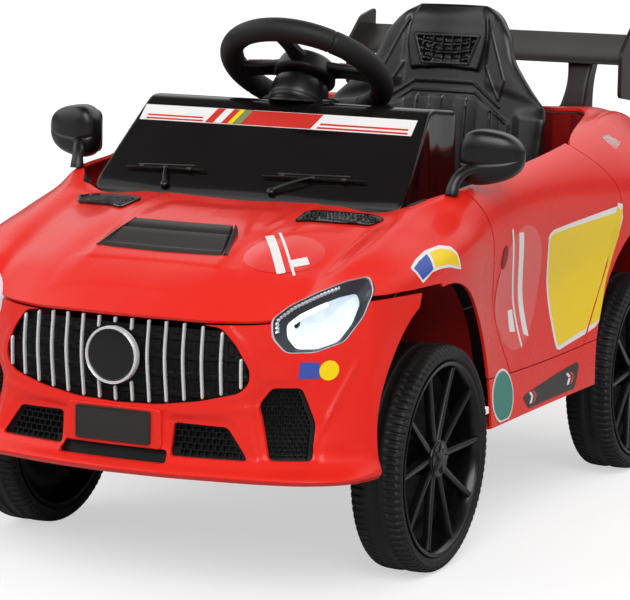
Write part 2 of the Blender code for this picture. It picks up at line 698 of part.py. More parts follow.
def plate_heights():
    """Lower and upper edge of the number plate, centred between the grille and the lip."""
    middle = 0.1740
    return middle - PLATE_HEIGHT / 2, middle + PLATE_HEIGHT / 2


def sided_outline(outline, side):
    return [(side * x, z) for x, z in outline]


def make_grille(black, chrome):
    across = (0, 0.75, 1.5, 2.25, 2.53)
    upward = (3.95, 4, 4.5, 5, 5.5, 5.85)
    surface = rows_points(FASCIA, across, upward).transpose(1, 0, 2)
    panel("grille_panel", mirrored(behind(surface, SHELL + 2 * INSERT_GAP)), INSERT_WALL, black)
    bars = []
    for level, end in ((4.5, 2.3), (5.42, 2.16)):
        across = (0, 0.75, 1.5, end)
        strip = rows_points(FASCIA, across, (level, level + 0.08)).transpose(1, 0, 2)
        bars.append(mirrored(behind(strip, 0.0026)))
    slats = panel("grille_slats", bars[0], 0.0014, chrome)
    middle = (SLAT_COUNT - 1) / 2
    badge = BADGE_RADIUS + 0.0015
    full, proud = bmesh.new(), bmesh.new()
    for number in range(SLAT_COUNT):
        x = (number - middle) * SLAT_PITCH
        low, high = slat_span(abs(x) + SLAT_WIDTH / 2)
        if abs(x) < badge:
            reach = math.sqrt(badge**2 - x**2)
            add_slat(full, x, low, high, 0.0024, 0.0038)
            add_slat(proud, x, low + 0.001, BADGE_HEIGHT - reach, -0.001, 0.0034)
            add_slat(proud, x, BADGE_HEIGHT + reach, high - 0.001, -0.001, 0.0034)
        else:
            add_slat(full, x, low, high, -0.001, SLAT_DEPTH - 0.001)
    join(slats, full)
    join(slats, proud)
    second = panel("grille_slats_bar", bars[1], 0.0014, chrome)
    second.hide_render = True
    second.display_type = "WIRE"
    step = slats.modifiers.new("union", "BOOLEAN")
    step.operation = "UNION"
    step.object = second


def slat_span(x):
    """Lowest and highest point of the grille opening beside the centre line, less a clearance."""
    upper = GRILLE_HALF[:5]
    lower = GRILLE_HALF[:3:-1]
    high = np.interp(x, [p[0] for p in upper], [p[1] for p in upper])
    low = np.interp(x, [p[0] for p in lower], [p[1] for p in lower])
    return float(low) + 0.001, min(float(high) - 0.001, 0.2815)


def add_slat(bm, x, low, high, front, back):
    """One upright bar that follows the fascia between two heights."""
    rings = []
    for z in np.linspace(low, high, 3 if high - low > 0.04 else 2):
        face = fascia_front(x, z)
        rings.append([
            (x - SLAT_WIDTH / 2, face + front, z), (x + SLAT_WIDTH / 2, face + front, z),
            (x + SLAT_WIDTH / 2, face + back, z), (x - SLAT_WIDTH / 2, face + back, z),
        ])
    gather(bm, loft(rings))


def make_badge(chrome, black):
    face = fascia_front(0, BADGE_HEIGHT)
    turn = Matrix.Translation((0, face, BADGE_HEIGHT)) @ Matrix.Rotation(math.pi / 2, 4, "Z")
    inner = BADGE_RADIUS - BADGE_RING_WIDTH
    ring = turned(
        [(-0.004, inner), (-0.0048, (inner + BADGE_RADIUS) / 2), (-0.004, BADGE_RADIUS),
         (0.0022, BADGE_RADIUS), (0.0022, inner)], 40,
    )
    ring.transform(turn)
    add("badge_ring", ring, chrome)
    disc = rod((0, face - 0.0032, BADGE_HEIGHT), (0, face + 0.0022, BADGE_HEIGHT), inner - TOUCH,
               segments=40)
    add("badge_disc", disc, black)


def make_number_plate(grey):
    low, high = plate_heights()
    face = fascia_front(0, low) - 0.002 - TOUCH
    plate = box((-PLATE_HALF_WIDTH, face - PLATE_THICKNESS, low), (PLATE_HALF_WIDTH, face, high))
    add("number_plate", plate, grey)


def make_meshes(black):
    spans = {
        "inner": ((0.93, 1.5, 2, 2.3, 2.57), (2.1, 2.5, 3, 3.6)),
        "outer": ((2.62, 3, 3.5, 4, 4.2), (2.1, 2.6, 3, 3.5, 4, 4.4)),
    }
    for name, (across, upward) in spans.items():
        surface = rows_points(FASCIA, across, upward).transpose(1, 0, 2)
        surface = behind(surface, SHELL + 2 * INSERT_GAP)
        for side, word in SIDES:
            panel(f"{name}_mesh_{word}", sided(surface, side), INSERT_WALL, black)


def make_headlights(lens):
    for side, word in SIDES:
        fit = 0.985
        rings = [
            headlight_ring(side, -HEADLIGHT_DEPTH, fit), headlight_ring(side, 0.001, fit),
            headlight_ring(side, 0.6 * HEADLIGHT_BULGE, 0.80),
            headlight_ring(side, HEADLIGHT_BULGE, 0.45),
        ]
        add(f"headlight_{word}", loft(rings), lens)


def make_bonnet_trim(black):
    lift = 0.0007
    rings = []
    for share in (0, 0.33, 0.67, 1):
        y = NOSE + 0.116 + share * SCOOP_LENGTH
        half = SCOOP_FRONT_HALF + share * (SCOOP_REAR_HALF - SCOOP_FRONT_HALF)
        line = [half * part for part in (-1, -0.5, 0, 0.5, 1)]
        under = [(x, y, skin_height(x, y) + lift) for x in line]
        top = max(point[2] for point in under) + 0.0035 + 0.0065 * share
        rings.append(under + [(x * 0.97, y, top) for x in line[::-1]])
    add("bonnet_scoop", loft(rings), black)
    shares = (0, 0.5, 1)
    for side, word in SIDES:
        places = [np.linspace(first, last, 4) for first, last in ((1.95, 2.1), (2.0, 2.7), (2.05, 3.1))]
        surface = skin_points([FRONT - 0.062] * 9, [FRONT - 0.008] * 9, shares, places)
        surface = behind(surface, -INSERT_GAP - 0.0016)
        panel(f"bonnet_vent_{word}", sided(surface, side), 0.0012, black)


def dash_height(back):
    """Height of the flat top of the dashboard, a distance behind the front axle."""
    return SCREEN_ROWS[-1][1] - (back - SCREEN_ROWS[-1][0]) * DASH_SLOPE


def make_windscreen(gloss):
    spread = np.array((0, 0.33, 0.62, 0.91, 1.0))
    rows = []
    lip_columns = np.array((0, 1, 2, 2.9, 3.05, 3.1, 3.15))
    for back in (0.014, 0.0305):
        station = FRONT + back
        strip = skin_points([station - 0.004] * 9, [station + 0.004] * 9, (0, 0.5, 1), [lip_columns] * 3)
        rows.append(behind(strip, SHELL + INSERT_GAP)[1])
    path = list(SCREEN_ROWS)
    for back in (DASH_BACK - 0.030, DASH_BACK - 0.006):
        path.append((back, dash_height(back), 0.170))
    edge = dash_height(DASH_BACK)
    path += [(DASH_BACK + 0.003, edge - 0.004, 0.169), (DASH_FACE, edge - 0.045, 0.167),
             (DASH_FACE, edge - 0.090, 0.166), (DASH_FACE, edge - 0.130, 0.165)]
    for number, (back, height, half) in enumerate(path):
        bow = SCREEN_BOW if number < len(SCREEN_ROWS) else 0.0
        foot = height - 0.010 if number == 0 else min(0.352, height - 0.012)
        row = [(half * share, FRONT + back - bow * share**2, height) for share in spread]
        row.append((half + 0.0015, FRONT + back - bow, height - 0.35 * (height - foot)))
        row.append((half + 0.0020, FRONT + back - bow, foot))
        rows.append(np.array(row))
    made = panel("windscreen", mirrored(np.stack(rows)), SCREEN_WALL, gloss)
    start = STEERING_CENTRE - STEERING_AXIS * 0.02
    end = STEERING_CENTRE - STEERING_AXIS * 0.09
    cut(made, rod(start, end, SHAFT_RADIUS + 0.004))
    back = FRONT + DASH_FACE
    spot = Vector((START_BUTTON_X, back, SWITCH_HEIGHT))
    cut(made, rod(spot - Vector((0, 0.01, 0)), spot + Vector((0, 0.01, 0)), BUTTON_RADIUS + INSERT_GAP))
    wide, tall = SWITCH_HALF_WIDTH + INSERT_GAP, SWITCH_HALF_HEIGHT + 2 * INSERT_GAP
    spot = Vector((-START_BUTTON_X, back, SWITCH_HEIGHT))
    cut(made, box(spot - Vector((wide, 0.01, tall)), spot + Vector((wide, 0.01, tall))))


def make_wipers(black):
    slope = np.array((0.0, SCREEN_ROWS[3][0] - SCREEN_ROWS[0][0], SCREEN_ROWS[3][1] - SCREEN_ROWS[0][1]))
    normal = np.array((0.0, -slope[2], slope[1])) / np.linalg.norm(slope)
    base = np.array((0.0, FRONT + SCREEN_ROWS[0][0], SCREEN_ROWS[0][1]))

    def on_screen(x, share, off):
        bow = np.array((0.0, -SCREEN_BOW * (x / SCREEN_ROWS[0][2]) ** 2, 0.0))
        return base + slope * share + normal * off + bow + np.array((x, 0.0, 0.0))

    for (left, right, foot), word in (((0.012, 0.135, 0.030), "left"), ((-0.155, -0.058, -0.100), "right")):
        blade = rod(on_screen(left, 0.20, WIPER_GAP), on_screen(right, 0.22, WIPER_GAP), 0.0020,
                    segments=8)
        made = add(f"wiper_{word}", blade, black)
        middle = (left + right) / 2
        join(made, rod(on_screen(foot, 0.05, WIPER_GAP), on_screen(middle, 0.21, 0.0030), 0.0018,
                       segments=8))


def make_sills(paint):
    shares = np.linspace(0, 1, 9)
    columns = [np.array((SILL_COLUMN, 7.35, 7.7, 8.0))] * 9
    starts = [FRONT + 0.080] * 9
    ends = [REAR - 0.110] * 9
    skin = skin_points(starts, ends, shares, columns)
    turn_in = skin[:, -1:] + np.array((-0.012, 0.0, -0.0015))
    flange = skin[:, -1:] + np.array((-0.030, 0.0, 0.0005))
    points = np.concatenate([skin, turn_in, flange], axis=1)
    for side, word in SIDES:
        made = panel(f"sill_{word}", sided(points, side), SHELL * 0.75, paint)
        cut(made, front_arch(side))
        cut(made, rear_arch(side))
        steered = front_outline(STEERED_TYRE_GAP)
        cut(made, side_prism(steered, side * 0.19, side * (HALF - 0.020)))


def make_doors(paint):
    shares = np.linspace(0, 1, 10)
    columns = [np.append(CREST - 0.12, side_columns(SEAM_COLUMN))] * 10
    starts = [seam + SEAM for seam in DOOR_FRONT]
    ends = [seam - 1.5 * SEAM for seam in DOOR_REAR]
    points = skin_points(starts, ends, shares, columns)
    for side, word in SIDES:
        hinge = pivot(f"door_hinge_{word}", door_hinge(side))
        panel(f"door_{word}", sided(points, side), SHELL, paint, hinge)


def door_hinge(side):
    return (side * (HALF - 0.004), FRONT + 0.061, 0.26)


def make_rear_body(paint):
    """The rear quarters and deck. Returns the grid of the wall that lines the cockpit's rear."""
    shares = np.linspace(0, 1, 10)
    rim = [REAR + back for back in (0.036, 0.036, -0.008, -0.036)]
    starts = rim + DOOR_REAR[4:]
    tail = (0.014, 0.016, 0.022, 0.034, 0.056, 0.084, 0.086, 0.086, 0.086)
    ends = [TAIL - ahead for ahead in tail]
    points = two_stretches((starts, ends), (DOOR_REAR, ends), shares, [SEAM_COLUMN] * 10)
    made = panel("rear_body", mirrored(points), SHELL, paint)
    for side in (1, -1):
        cut(made, rear_arch(side))
    wall_columns = np.array((0, 0.7, 1.4, 2, 2.5, 3, 3.4, 3.7))
    rim_row = skin_points([start + 0.004 for start in starts], ends, (0.0,), [wall_columns])[0]
    top = rim_row - np.array((0, 0, SHELL + 0.0030))
    heights = (0.0, 0.5, 1.0)
    wall = np.stack([top * (1 - share) + (top * (1, 1, 0) + (0, 0, SEAT_BASE_HEIGHT + 0.0005)) * share
                     for share in heights])
    return mirrored(wall)


def make_rear_bumper(paint, lamp):
    across = (0, 1, 1.6, 2.2, 2.8, 3.2, 3.6, 4, 4.5, 5)
    upward = (0, 1, 1.5, 2, 2.5, 3, 3.5, 4, 4.5, 5)
    points = rows_points(TAIL_FASCIA, across, upward).transpose(1, 0, 2)
    made = panel("rear_bumper", mirrored(points), SHELL, paint)
    for side in (1, -1):
        cut(made, rear_arch(side))
    lamp_points = rows_points(TAIL_FASCIA, (1.4, 2, 2.5, 3, 3.5, 4, 4.5), (2.35, 2.6, 2.85))
    lamp_points = behind(lamp_points.transpose(1, 0, 2), -0.0036)
    for side, word in SIDES:
        panel(f"tail_light_{word}", sided(lamp_points, side), 0.0028, lamp)


def make_chassis(black):
    """The deck: a plate with ears for the kingpins and lugs for the rear axle."""
    nose_columns = (0, 1, 2, 2.3)
    nose = rows_points(FASCIA, nose_columns, (2.15,))[:, 0]
    half = [(x, y + 0.0096) for x, y, z in nose]
    half[-1] = (DECK_FRONT_HALF, half[-1][1] + 0.002)
    middle = HALF - 0.0118
    ear = KINGPIN_HALF_TRACK + 0.010
    half += [
        (DECK_FRONT_HALF, FRONT - 0.018), (ear, FRONT - 0.018), (ear, FRONT + 0.018),
        (DECK_FRONT_HALF, FRONT + 0.018), (DECK_FRONT_HALF, FRONT + 0.152),
        (middle, FRONT + 0.168), (middle, REAR - 0.180), (DECK_REAR_HALF, REAR - 0.168),
        (DECK_REAR_HALF, TAIL - 0.0426), (0.0, TAIL - 0.0146),
    ]
    outline = half + [(-x, y) for x, y in half[-2:0:-1]]
    made = add("chassis", plan_prism(outline, DECK_BOTTOM, DECK_TOP), black)
    shaft_foot = STEERING_CENTRE - STEERING_AXIS * SHAFT_LENGTH
    cut(made, box((-0.030, shaft_foot.y - 0.040, DECK_BOTTOM - 0.01),
                  (0.030, shaft_foot.y + 0.036, DECK_TOP + 0.01)))
    for side in (1, -1):
        pin = (side * KINGPIN_HALF_TRACK, FRONT)
        join(made, rod((*pin, AXLE_HEIGHT - 0.024), (*pin, DECK_BOTTOM + 0.002), KINGPIN_RADIUS,
                       segments=12))
        lug = KINGPIN_HALF_TRACK - 0.008
        join(made, box((side * (lug - 0.012) if side > 0 else -lug, REAR - 0.014, AXLE_HEIGHT - 0.014),
                       (side * lug if side > 0 else -(lug - 0.012), REAR + 0.014, DECK_BOTTOM + 0.002)))
    cut(made, rod((-0.2, REAR, AXLE_HEIGHT), (0.2, REAR, AXLE_HEIGHT), BORE_RADIUS, segments=12))


def make_front_wells(shade):
    """Inner moulding of the front wheels: a plate beside each, which stands on the deck's ears, a
    band over it, and the panel that joins the two ahead of the steering gear."""
    floor = DECK_TOP + TOUCH
    inner = DECK_FRONT_HALF + WELL_BESIDE_DECK
    panel_end, band_end = inner + WELL_WALL * 0.4, inner + WELL_WALL * 0.6
    panel_front = FRONT - WELL_PANEL_AHEAD
    made = add("front_wheel_wells", box((-panel_end, panel_front, floor),
                                        (panel_end, panel_front + 0.0025, WELL_PANEL_HEIGHT)), shade)
    plate = front_outline(STEERED_TYRE_GAP + WELL_BAND / 2, floor)
    under = front_outline(STEERED_TYRE_GAP)[3:-3]
    over = front_outline(STEERED_TYRE_GAP + WELL_BAND)[3:-3]
    for line in (under, over):
        line[0] = (line[0][0] - 0.001, line[0][1] - 0.004)
        line[-1] = (line[-1][0] + 0.001, line[-1][1] - 0.004)
    band = over + under[::-1]
    for side in (1, -1):
        join(made, side_prism(plate, side * inner, side * (inner + WELL_WALL)))
        join(made, side_prism(band, side * band_end, side * (HALF - WELL_OUTER)))


def make_steering_gear(black, steel):
    """Shaft with its crank, the tie rod, and the knuckles that turn on the kingpins."""
    axis_turn = pivot("steering_axis", STEERING_CENTRE)
    top = STEERING_CENTRE - STEERING_AXIS * 0.0125
    foot = STEERING_CENTRE - STEERING_AXIS * SHAFT_LENGTH
    crank_way = Vector((0, -STEERING_AXIS.z, STEERING_AXIS.y))
    crank_end = foot + crank_way * CRANK_ARM
    pin_end = crank_end - STEERING_AXIS * ((crank_end.z - TIE_ROD_LOW + 0.003) / STEERING_AXIS.z)
    shaft = add("steering_shaft", rod(top, foot - STEERING_AXIS * 0.004, SHAFT_RADIUS, segments=12), steel,
                axis_turn)
    join(shaft, rod(foot - crank_way * 0.004, crank_end + crank_way * 0.003, 0.0042, segments=8))
    join(shaft, rod(crank_end + STEERING_AXIS * 0.002, pin_end, 0.003, segments=8))
    slide = pivot("tie_rod_slide", (0, FRONT - STEERING_ARM, TIE_ROD_LOW))
    high = TIE_ROD_LOW + TIE_ROD_THICKNESS
    y_rod = FRONT - STEERING_ARM
    pin_y = pin_end.y + (TIE_ROD_LOW + TIE_ROD_THICKNESS / 2 - pin_end.z) * math.tan(WHEEL_TILT)
    rod_made = add("tie_rod", box((-KINGPIN_HALF_TRACK - 0.010, y_rod - 0.010, TIE_ROD_LOW),
                                  (KINGPIN_HALF_TRACK + 0.010, y_rod + 0.010, high)), black, slide)
    join(rod_made, box((-0.015, pin_y - 0.018, TIE_ROD_LOW), (0.015, y_rod, high)))
    cut(rod_made, box((-0.006, pin_y - 0.011, 0.0), (0.006, pin_y + 0.018, 0.2)))
    for side, word in SIDES:
        x = side * KINGPIN_HALF_TRACK
        cut(rod_made, box((x - 0.0040, y_rod - 0.006, 0.0), (x + 0.0040, y_rod + 0.0075, 0.2)))
        turn = pivot(f"kingpin_{word}", (x, FRONT, AXLE_HEIGHT))
        sleeve = rod((x, FRONT, AXLE_HEIGHT - 0.020), (x, FRONT, DECK_BOTTOM - TOUCH), 0.011,
                     segments=16)
        made = add(f"knuckle_{word}", sleeve, black, turn)
        shoulder = side * (FRONT_WHEEL_OUTER - HUB_LENGTH - 0.008 - 0.0005)
        join(made, rod((x, FRONT, AXLE_HEIGHT), (shoulder, FRONT, AXLE_HEIGHT), 0.0095, segments=12))
        join(made, rod((x, FRONT, AXLE_HEIGHT), (side * (FRONT_WHEEL_OUTER - 0.014), FRONT, AXLE_HEIGHT),
                       AXLE_RADIUS, segments=12))
        arm_low = AXLE_HEIGHT - 0.0185
        join(made, box((x - 0.005, y_rod - 0.006, arm_low),
                       (x + 0.005, FRONT - 0.004, TIE_ROD_LOW - 0.0005)))
        join(made, rod((x, y_rod, arm_low + 0.002), (x, y_rod, high + 0.003), 0.003, segments=8))
        cut(made, rod((x, FRONT, 0.02), (x, FRONT, 0.2), KINGPIN_RADIUS + BORE_CLEARANCE,
                      segments=12))


def make_steering_wheel(black, accent):
    axis = bpy.data.objects["steering_axis"]
    turn = STEERING_AXIS.to_track_quat("Z", "Y").to_matrix().to_4x4()
    place = Matrix.Translation(STEERING_CENTRE) @ turn
    rim = turned(
        [(STEERING_GRIP_RADIUS * math.cos(a), STEERING_RING_RADIUS + STEERING_GRIP_RADIUS * math.sin(a))
         for a in np.linspace(0, 2 * math.pi, 8, endpoint=False)], 30,
    )
    rim.transform(place @ Matrix.Rotation(-math.pi / 2, 4, "Y"))
    made = add("steering_wheel", rim, black, axis)
    hub = rod((0, 0, -0.012), (0, 0, 0.011), 0.036, 0.030, 24)
    hub.transform(place)
    join(made, hub)
    for angle, half in ((0, 0.016), (180, 0.016), (270, 0.012)):
        spoke = box((0.015, -half, -0.005), (STEERING_RING_RADIUS, half, 0.005))
        spoke.transform(place @ Matrix.Rotation(math.radians(angle), 4, "Z"))
        join(made, spoke)
    well = rod((0, 0, 0.011 - BUTTON_TRAVEL - 0.0036), (0, 0, 0.03), 0.0195, segments=24)
    well.transform(place)
    cut(made, well)
    press = pivot("horn_slide", STEERING_CENTRE, axis)
    horn = rod((0, 0, 0.011 - 0.003), (0, 0, 0.0145), 0.019, 0.018, 24)
    horn.transform(place)
    add("horn_button", horn, accent, press)


def make_steering_column(gloss):
    low = STEERING_CENTRE - STEERING_AXIS * (0.016 + COLUMN_LENGTH)
    high = STEERING_CENTRE - STEERING_AXIS * 0.016
    made = add("steering_column", rod(low, high, COLUMN_RADIUS, 0.028, 24), gloss)
    lift = 0.0006
    floor = [(FRONT + 0.05, dash_height(0.05) + lift), (FRONT + 0.30, dash_height(0.30) + lift),
             (FRONT + 0.30, 0.3), (FRONT + 0.05, 0.3)]
    cut(made, side_prism(floor, -0.1, 0.1))
    cut(made, rod(low - STEERING_AXIS * 0.02, high + STEERING_AXIS * 0.02, SHAFT_RADIUS + BORE_CLEARANCE,
                  segments=16))


def tyre_profile():
    """Section of a low-profile tyre as (x, radius), its middle plane at x = 0."""
    half = TYRE_WIDTH / 2
    bead = RIM_RADIUS
    outer = [(-half, bead + 0.005), (-half, TYRE_RADIUS - 0.007), (-half + 0.006, TYRE_RADIUS - 0.001)]
    outer += [
        (-0.004, TYRE_RADIUS), (-0.003, TYRE_RADIUS - TREAD_GROOVE),
        (0.003, TYRE_RADIUS - TREAD_GROOVE), (0.004, TYRE_RADIUS),
    ]
    outer += [(half - 0.006, TYRE_RADIUS - 0.001), (half, TYRE_RADIUS - 0.007), (half, bead + 0.005)]
    inner = [(half - 0.004, bead), (-half + 0.004, bead)]
    return outer + inner


def rim_profile():
    """Section of the rim's barrel as (x, radius)."""
    half = TYRE_WIDTH / 2 - 0.002
    seat = RIM_RADIUS - 0.0006
    return [(-half, seat), (-half, seat - RIM_WALL), (half, seat - RIM_WALL), (half, seat)]


def make_wheel(name, place, side, rubber, gloss, parent=None):
    """A tyre and its spoked rim, whose outer face looks along +X before it is placed."""
    spin = pivot(f"{name}_spin", place, parent)
    turn = Matrix.Translation(place) @ Matrix.Rotation(0 if side > 0 else math.pi, 4, "Z")
    tyre = turned(tyre_profile(), WHEEL_SEGMENTS)
    tyre.transform(turn)
    add(f"tyre_{name}", tyre, rubber, spin)
    barrel = turned(rim_profile(), WHEEL_SEGMENTS)
    barrel.transform(turn)
    made = add(f"rim_{name}", barrel, gloss, spin)
    face = TYRE_WIDTH / 2 - 0.008
    hub = rod((face - HUB_LENGTH, 0, 0), (face + 0.0007, 0, 0), HUB_RADIUS, segments=16)
    hub.transform(turn)
    change(made, hub, "UNION", "MANIFOLD")
    reach = RIM_RADIUS - 0.002
    for lean in (-1, 1):
        spokes = bmesh.new()
        depth = 0.0092 + lean * 0.0005
        for number in range(SPOKE_COUNT):
            angle = 2 * math.pi * (number + 0.03) / SPOKE_COUNT + lean * 0.15
            spoke = loft([
                spoke_section(face, 0.013, lean * 0.003, 0.0060, depth),
                spoke_section(face + 0.003, reach, lean * 0.003, 0.0045, depth),
            ])
            spoke.transform(turn @ Matrix.Rotation(angle, 4, "X"))
            gather(spokes, spoke)
        change(made, spokes, "UNION", "MANIFOLD")
    bore = rod((face - HUB_LENGTH - 0.01, 0, 0), (face - 0.005, 0, 0), BORE_RADIUS, segments=12)
    bore.transform(turn)
    change(made, bore, "DIFFERENCE", "MANIFOLD")


def spoke_section(face, radius, shift, half, depth):
    return [
        (face - depth, shift - half, radius), (face - 0.002, shift - half, radius),
        (face, shift, radius), (face - 0.002, shift + half, radius),
        (face - depth, shift + half, radius),
    ]


def make_wheels(rubber, gloss):
    for side, word in SIDES:
        front = (side * (FRONT_WHEEL_OUTER - TYRE_WIDTH / 2), FRONT, AXLE_HEIGHT)
        rear = (side * (REAR_WHEEL_OUTER - TYRE_WIDTH / 2), REAR, AXLE_HEIGHT)
        make_wheel(f"front_{word}", front, side, rubber, gloss, bpy.data.objects[f"kingpin_{word}"])
        make_wheel(f"rear_{word}", rear, side, rubber, gloss)


def make_drive(black, steel, grey):
    tip = REAR_WHEEL_OUTER - 0.014
    add("rear_axle", rod((-tip, REAR, AXLE_HEIGHT), (tip, REAR, AXLE_HEIGHT), AXLE_RADIUS, segments=16),
        steel)
    outer = REAR_WHEEL_OUTER - TYRE_WIDTH - 0.0008
    for side, word in SIDES:
        near, far = sorted((side * outer, side * (outer - GEARBOX_WIDTH)))
        case = box((near, REAR - 0.026, AXLE_HEIGHT - 0.030),
                   (far, REAR - 0.026 + GEARBOX_LENGTH, DECK_BOTTOM - TOUCH))
        made = add(f"gearbox_{word}", case, grey)
        spot = Vector((side * (outer - GEARBOX_WIDTH + 0.004), REAR + 0.050, AXLE_HEIGHT))
        join(made, rod(spot, spot - Vector((side * (MOTOR_LENGTH + 0.004), 0, 0)), MOTOR_RADIUS,
                       segments=20))
        cut(made, rod((near - 0.01, REAR, AXLE_HEIGHT), (far + 0.01, REAR, AXLE_HEIGHT), BORE_RADIUS,
                      segments=12))
    long, wide, tall = BATTERY_SIZE
    middle = REAR - 0.100
    add("battery", box((-long / 2, middle - wide / 2, DECK_TOP + TOUCH),
                       (long / 2, middle + wide / 2, DECK_TOP + TOUCH + tall)), black)


def make_cockpit(black, grey, red, rear_wall):
    floor = DECK_TOP + TOUCH
    toe = FRONT + 0.050
    step = FRONT + 0.154
    wide = FRONT + 0.170
    half = [(0.0, toe), (TUB_FRONT_HALF, toe), (TUB_FRONT_HALF, step),
            (TUB_HALF, wide), (TUB_HALF, TUB_REAR), (0.0, TUB_REAR)]
    narrow_inside, wide_inside = TUB_FRONT_HALF - TUB_WALL, TUB_HALF - TUB_WALL
    inner = [(0.0, toe + TUB_WALL), (narrow_inside, toe + TUB_WALL),
             (narrow_inside, step + TUB_WALL), (wide_inside, wide + TUB_WALL),
             (wide_inside, TUB_REAR - TUB_WALL), (0.0, TUB_REAR - TUB_WALL)]
    made = add("cockpit_tub", plan_prism(mirror_outline(half), floor, TUB_HEIGHT), black)
    cut(made, plan_prism(mirror_outline(inner), floor + TUB_WALL, TUB_HEIGHT + 0.02))
    base_half = DECK_REAR_HALF - 0.001
    low = (-base_half, TUB_REAR + 0.0008, floor)
    high = (base_half, REAR - 0.010, SEAT_BASE_HEIGHT)
    base = add("seat_base", box(low, high), black)
    wall = Vector((TUB_WALL, TUB_WALL, 0))
    cut(base, box(Vector(low) + wall - Vector((0, 0, 0.02)),
                  Vector(high) - wall - Vector((0, 0, TUB_WALL))))
    panel("cockpit_rear_wall", rear_wall, TUB_WALL, red)
    make_seat(black)
    make_pedal(grey)
    make_switches(black, red)


def make_seat(black):
    """High-backed seat: a pan and a back, lofted through their sections."""
    back_rows = (
        (SEAT_BASE_HEIGHT + 0.012, 0.126, -0.051), (SEAT_TOP - 0.228, 0.136, -0.042),
        (SEAT_TOP - 0.158, 0.147, -0.033), (SEAT_TOP - 0.123, 0.145, -0.027),
        (SEAT_TOP - 0.096, 0.120, -0.020), (SEAT_TOP - 0.068, 0.096, -0.013),
        (SEAT_TOP - 0.028, 0.078, -0.003), (SEAT_TOP - 0.006, 0.056, 0.006), (SEAT_TOP, 0.044, 0.011),
    )
    rings = []
    for height, half, front in back_rows:
        depth = SEAT_DEPTH if height < SEAT_TOP else SEAT_DEPTH * 2 / 3
        shares = np.linspace(-1, 1, 7)
        wrap = 0.24 * half
        face = [(half * u, REAR + front - wrap * u * u, height) for u in shares]
        rear = [(half * u * 0.97, REAR + front + depth - 0.9 * wrap * u * u, height) for u in shares[::-1]]
        rings.append(face + rear)
    made = add("seat", loft(rings), black)
    floor = SEAT_BASE_HEIGHT + TOUCH
    pan = []
    half = PAN_HALF
    for back, rise in ((0.009, 0.016), (0.029, 0.022), (0.104, 0.024), (0.179, 0.026)):
        y = TUB_REAR + back
        pan.append([(-half, y, floor), (-half, y, floor + rise + 0.014),
                    (-half * 0.8, y, floor + rise + 0.012), (-half * 0.55, y, floor + rise),
                    (half * 0.55, y, floor + rise), (half * 0.8, y, floor + rise + 0.012),
                    (half, y, floor + rise + 0.014), (half, y, floor)])
    join(made, loft(pan))


def make_pedal(grey):
    heel = Vector((-0.070, FRONT + 0.165, DECK_TOP + TOUCH + TUB_WALL + 0.006))
    turn = pivot("pedal_hinge", heel)
    way = Vector((0, -math.cos(PEDAL_RISE), math.sin(PEDAL_RISE)))
    up = Vector((0, math.sin(PEDAL_RISE), math.cos(PEDAL_RISE)))
    side = Vector((PEDAL_WIDTH / 2, 0, 0))
    rings = []
    for along in (-0.004, PEDAL_LENGTH):
        spot = heel + way * along
        rings.append([spot - side, spot + side, spot + side + up * 0.005, spot - side + up * 0.005])
    made = add("accelerator_pedal", loft(rings), grey, turn)
    join(made, rod(heel - side - up * 0.001, heel + side - up * 0.001, 0.0046, segments=12))


def make_switches(black, red):
    """Start button and direction rocker, which pass through the back of the dashboard."""
    face = FRONT + DASH_FACE
    spot = Vector((START_BUTTON_X, face, SWITCH_HEIGHT))
    press = pivot("start_slide", spot)
    add("start_button", rod(spot - Vector((0, 0.0042, 0)), spot + Vector((0, 0.0062, 0)), BUTTON_RADIUS),
        red, press)
    middle, half = SWITCH_HEIGHT, SWITCH_HALF_HEIGHT
    rock = pivot("direction_pivot", (-START_BUTTON_X, face - SCREEN_WALL / 2, middle))
    key = loft([
        [(x, face - 0.0042, middle - half + 0.001), (x, face - 0.0042, middle + half - 0.001),
         (x, face + 0.0055, middle + half), (x, face + 0.0038, middle), (x, face + 0.0055, middle - half)]
        for x in (-START_BUTTON_X - SWITCH_HALF_WIDTH, -START_BUTTON_X + SWITCH_HALF_WIDTH)
    ])
    add("direction_switch", key, black, rock)


def make_wing(black):
    lead = REAR + 0.104
    wing_height = skin_height(POST_HALF_TRACK, REAR + 0.103) + WING_RISE
    rise = math.tan(WING_PITCH)
    run = WING_CHORD * math.cos(WING_PITCH)
    thick = WING_THICKNESS / math.cos(WING_PITCH)
    end = wing_height + run * rise
    blade = [
        (lead, wing_height + 0.3 * thick), (lead + 0.004, wing_height + 0.004 * rise),
        (lead + run, end), (lead + run, end + 0.4 * thick),
        (lead + 0.6 * run, wing_height + 0.6 * run * rise + thick), (lead + 0.006, wing_height + thick),
    ]
    made = add("rear_wing", side_prism(blade, -WING_HALF_WIDTH - 0.002, WING_HALF_WIDTH + 0.002), black)
    low, high = wing_height - ENDPLATE_BELOW, wing_height + ENDPLATE_ABOVE
    plate = [(lead - 0.010, low + 0.008), (lead + 0.050, low), (lead + 0.071, low + 0.013),
             (lead + 0.072, high), (lead + 0.030, high - 0.008), (lead - 0.010, high - 0.040)]
    for side in (1, -1):
        join(made, side_prism(plate, side * WING_HALF_WIDTH, side * (WING_HALF_WIDTH + ENDPLATE_THICKNESS)))
    for side, word in SIDES:
        near = POST_HALF_TRACK - POST_WIDTH / 2
        far = POST_HALF_TRACK + POST_WIDTH / 2
        foot_front, foot_rear = REAR + 0.084, REAR + 0.122
        top_front, top_rear = lead + 0.008, lead + 0.046
        low = [(side * x, y, skin_height(x, y) + 0.0012)
               for x, y in ((near, foot_front), (far, foot_front), (far, foot_rear), (near, foot_rear))]
        high = [(side * x, y, wing_height + (y - lead) * rise - 0.0005)
                for x, y in ((near, top_front), (far, top_front), (far, top_rear), (near, top_rear))]
        add(f"wing_post_{word}", loft([low, high]), black)


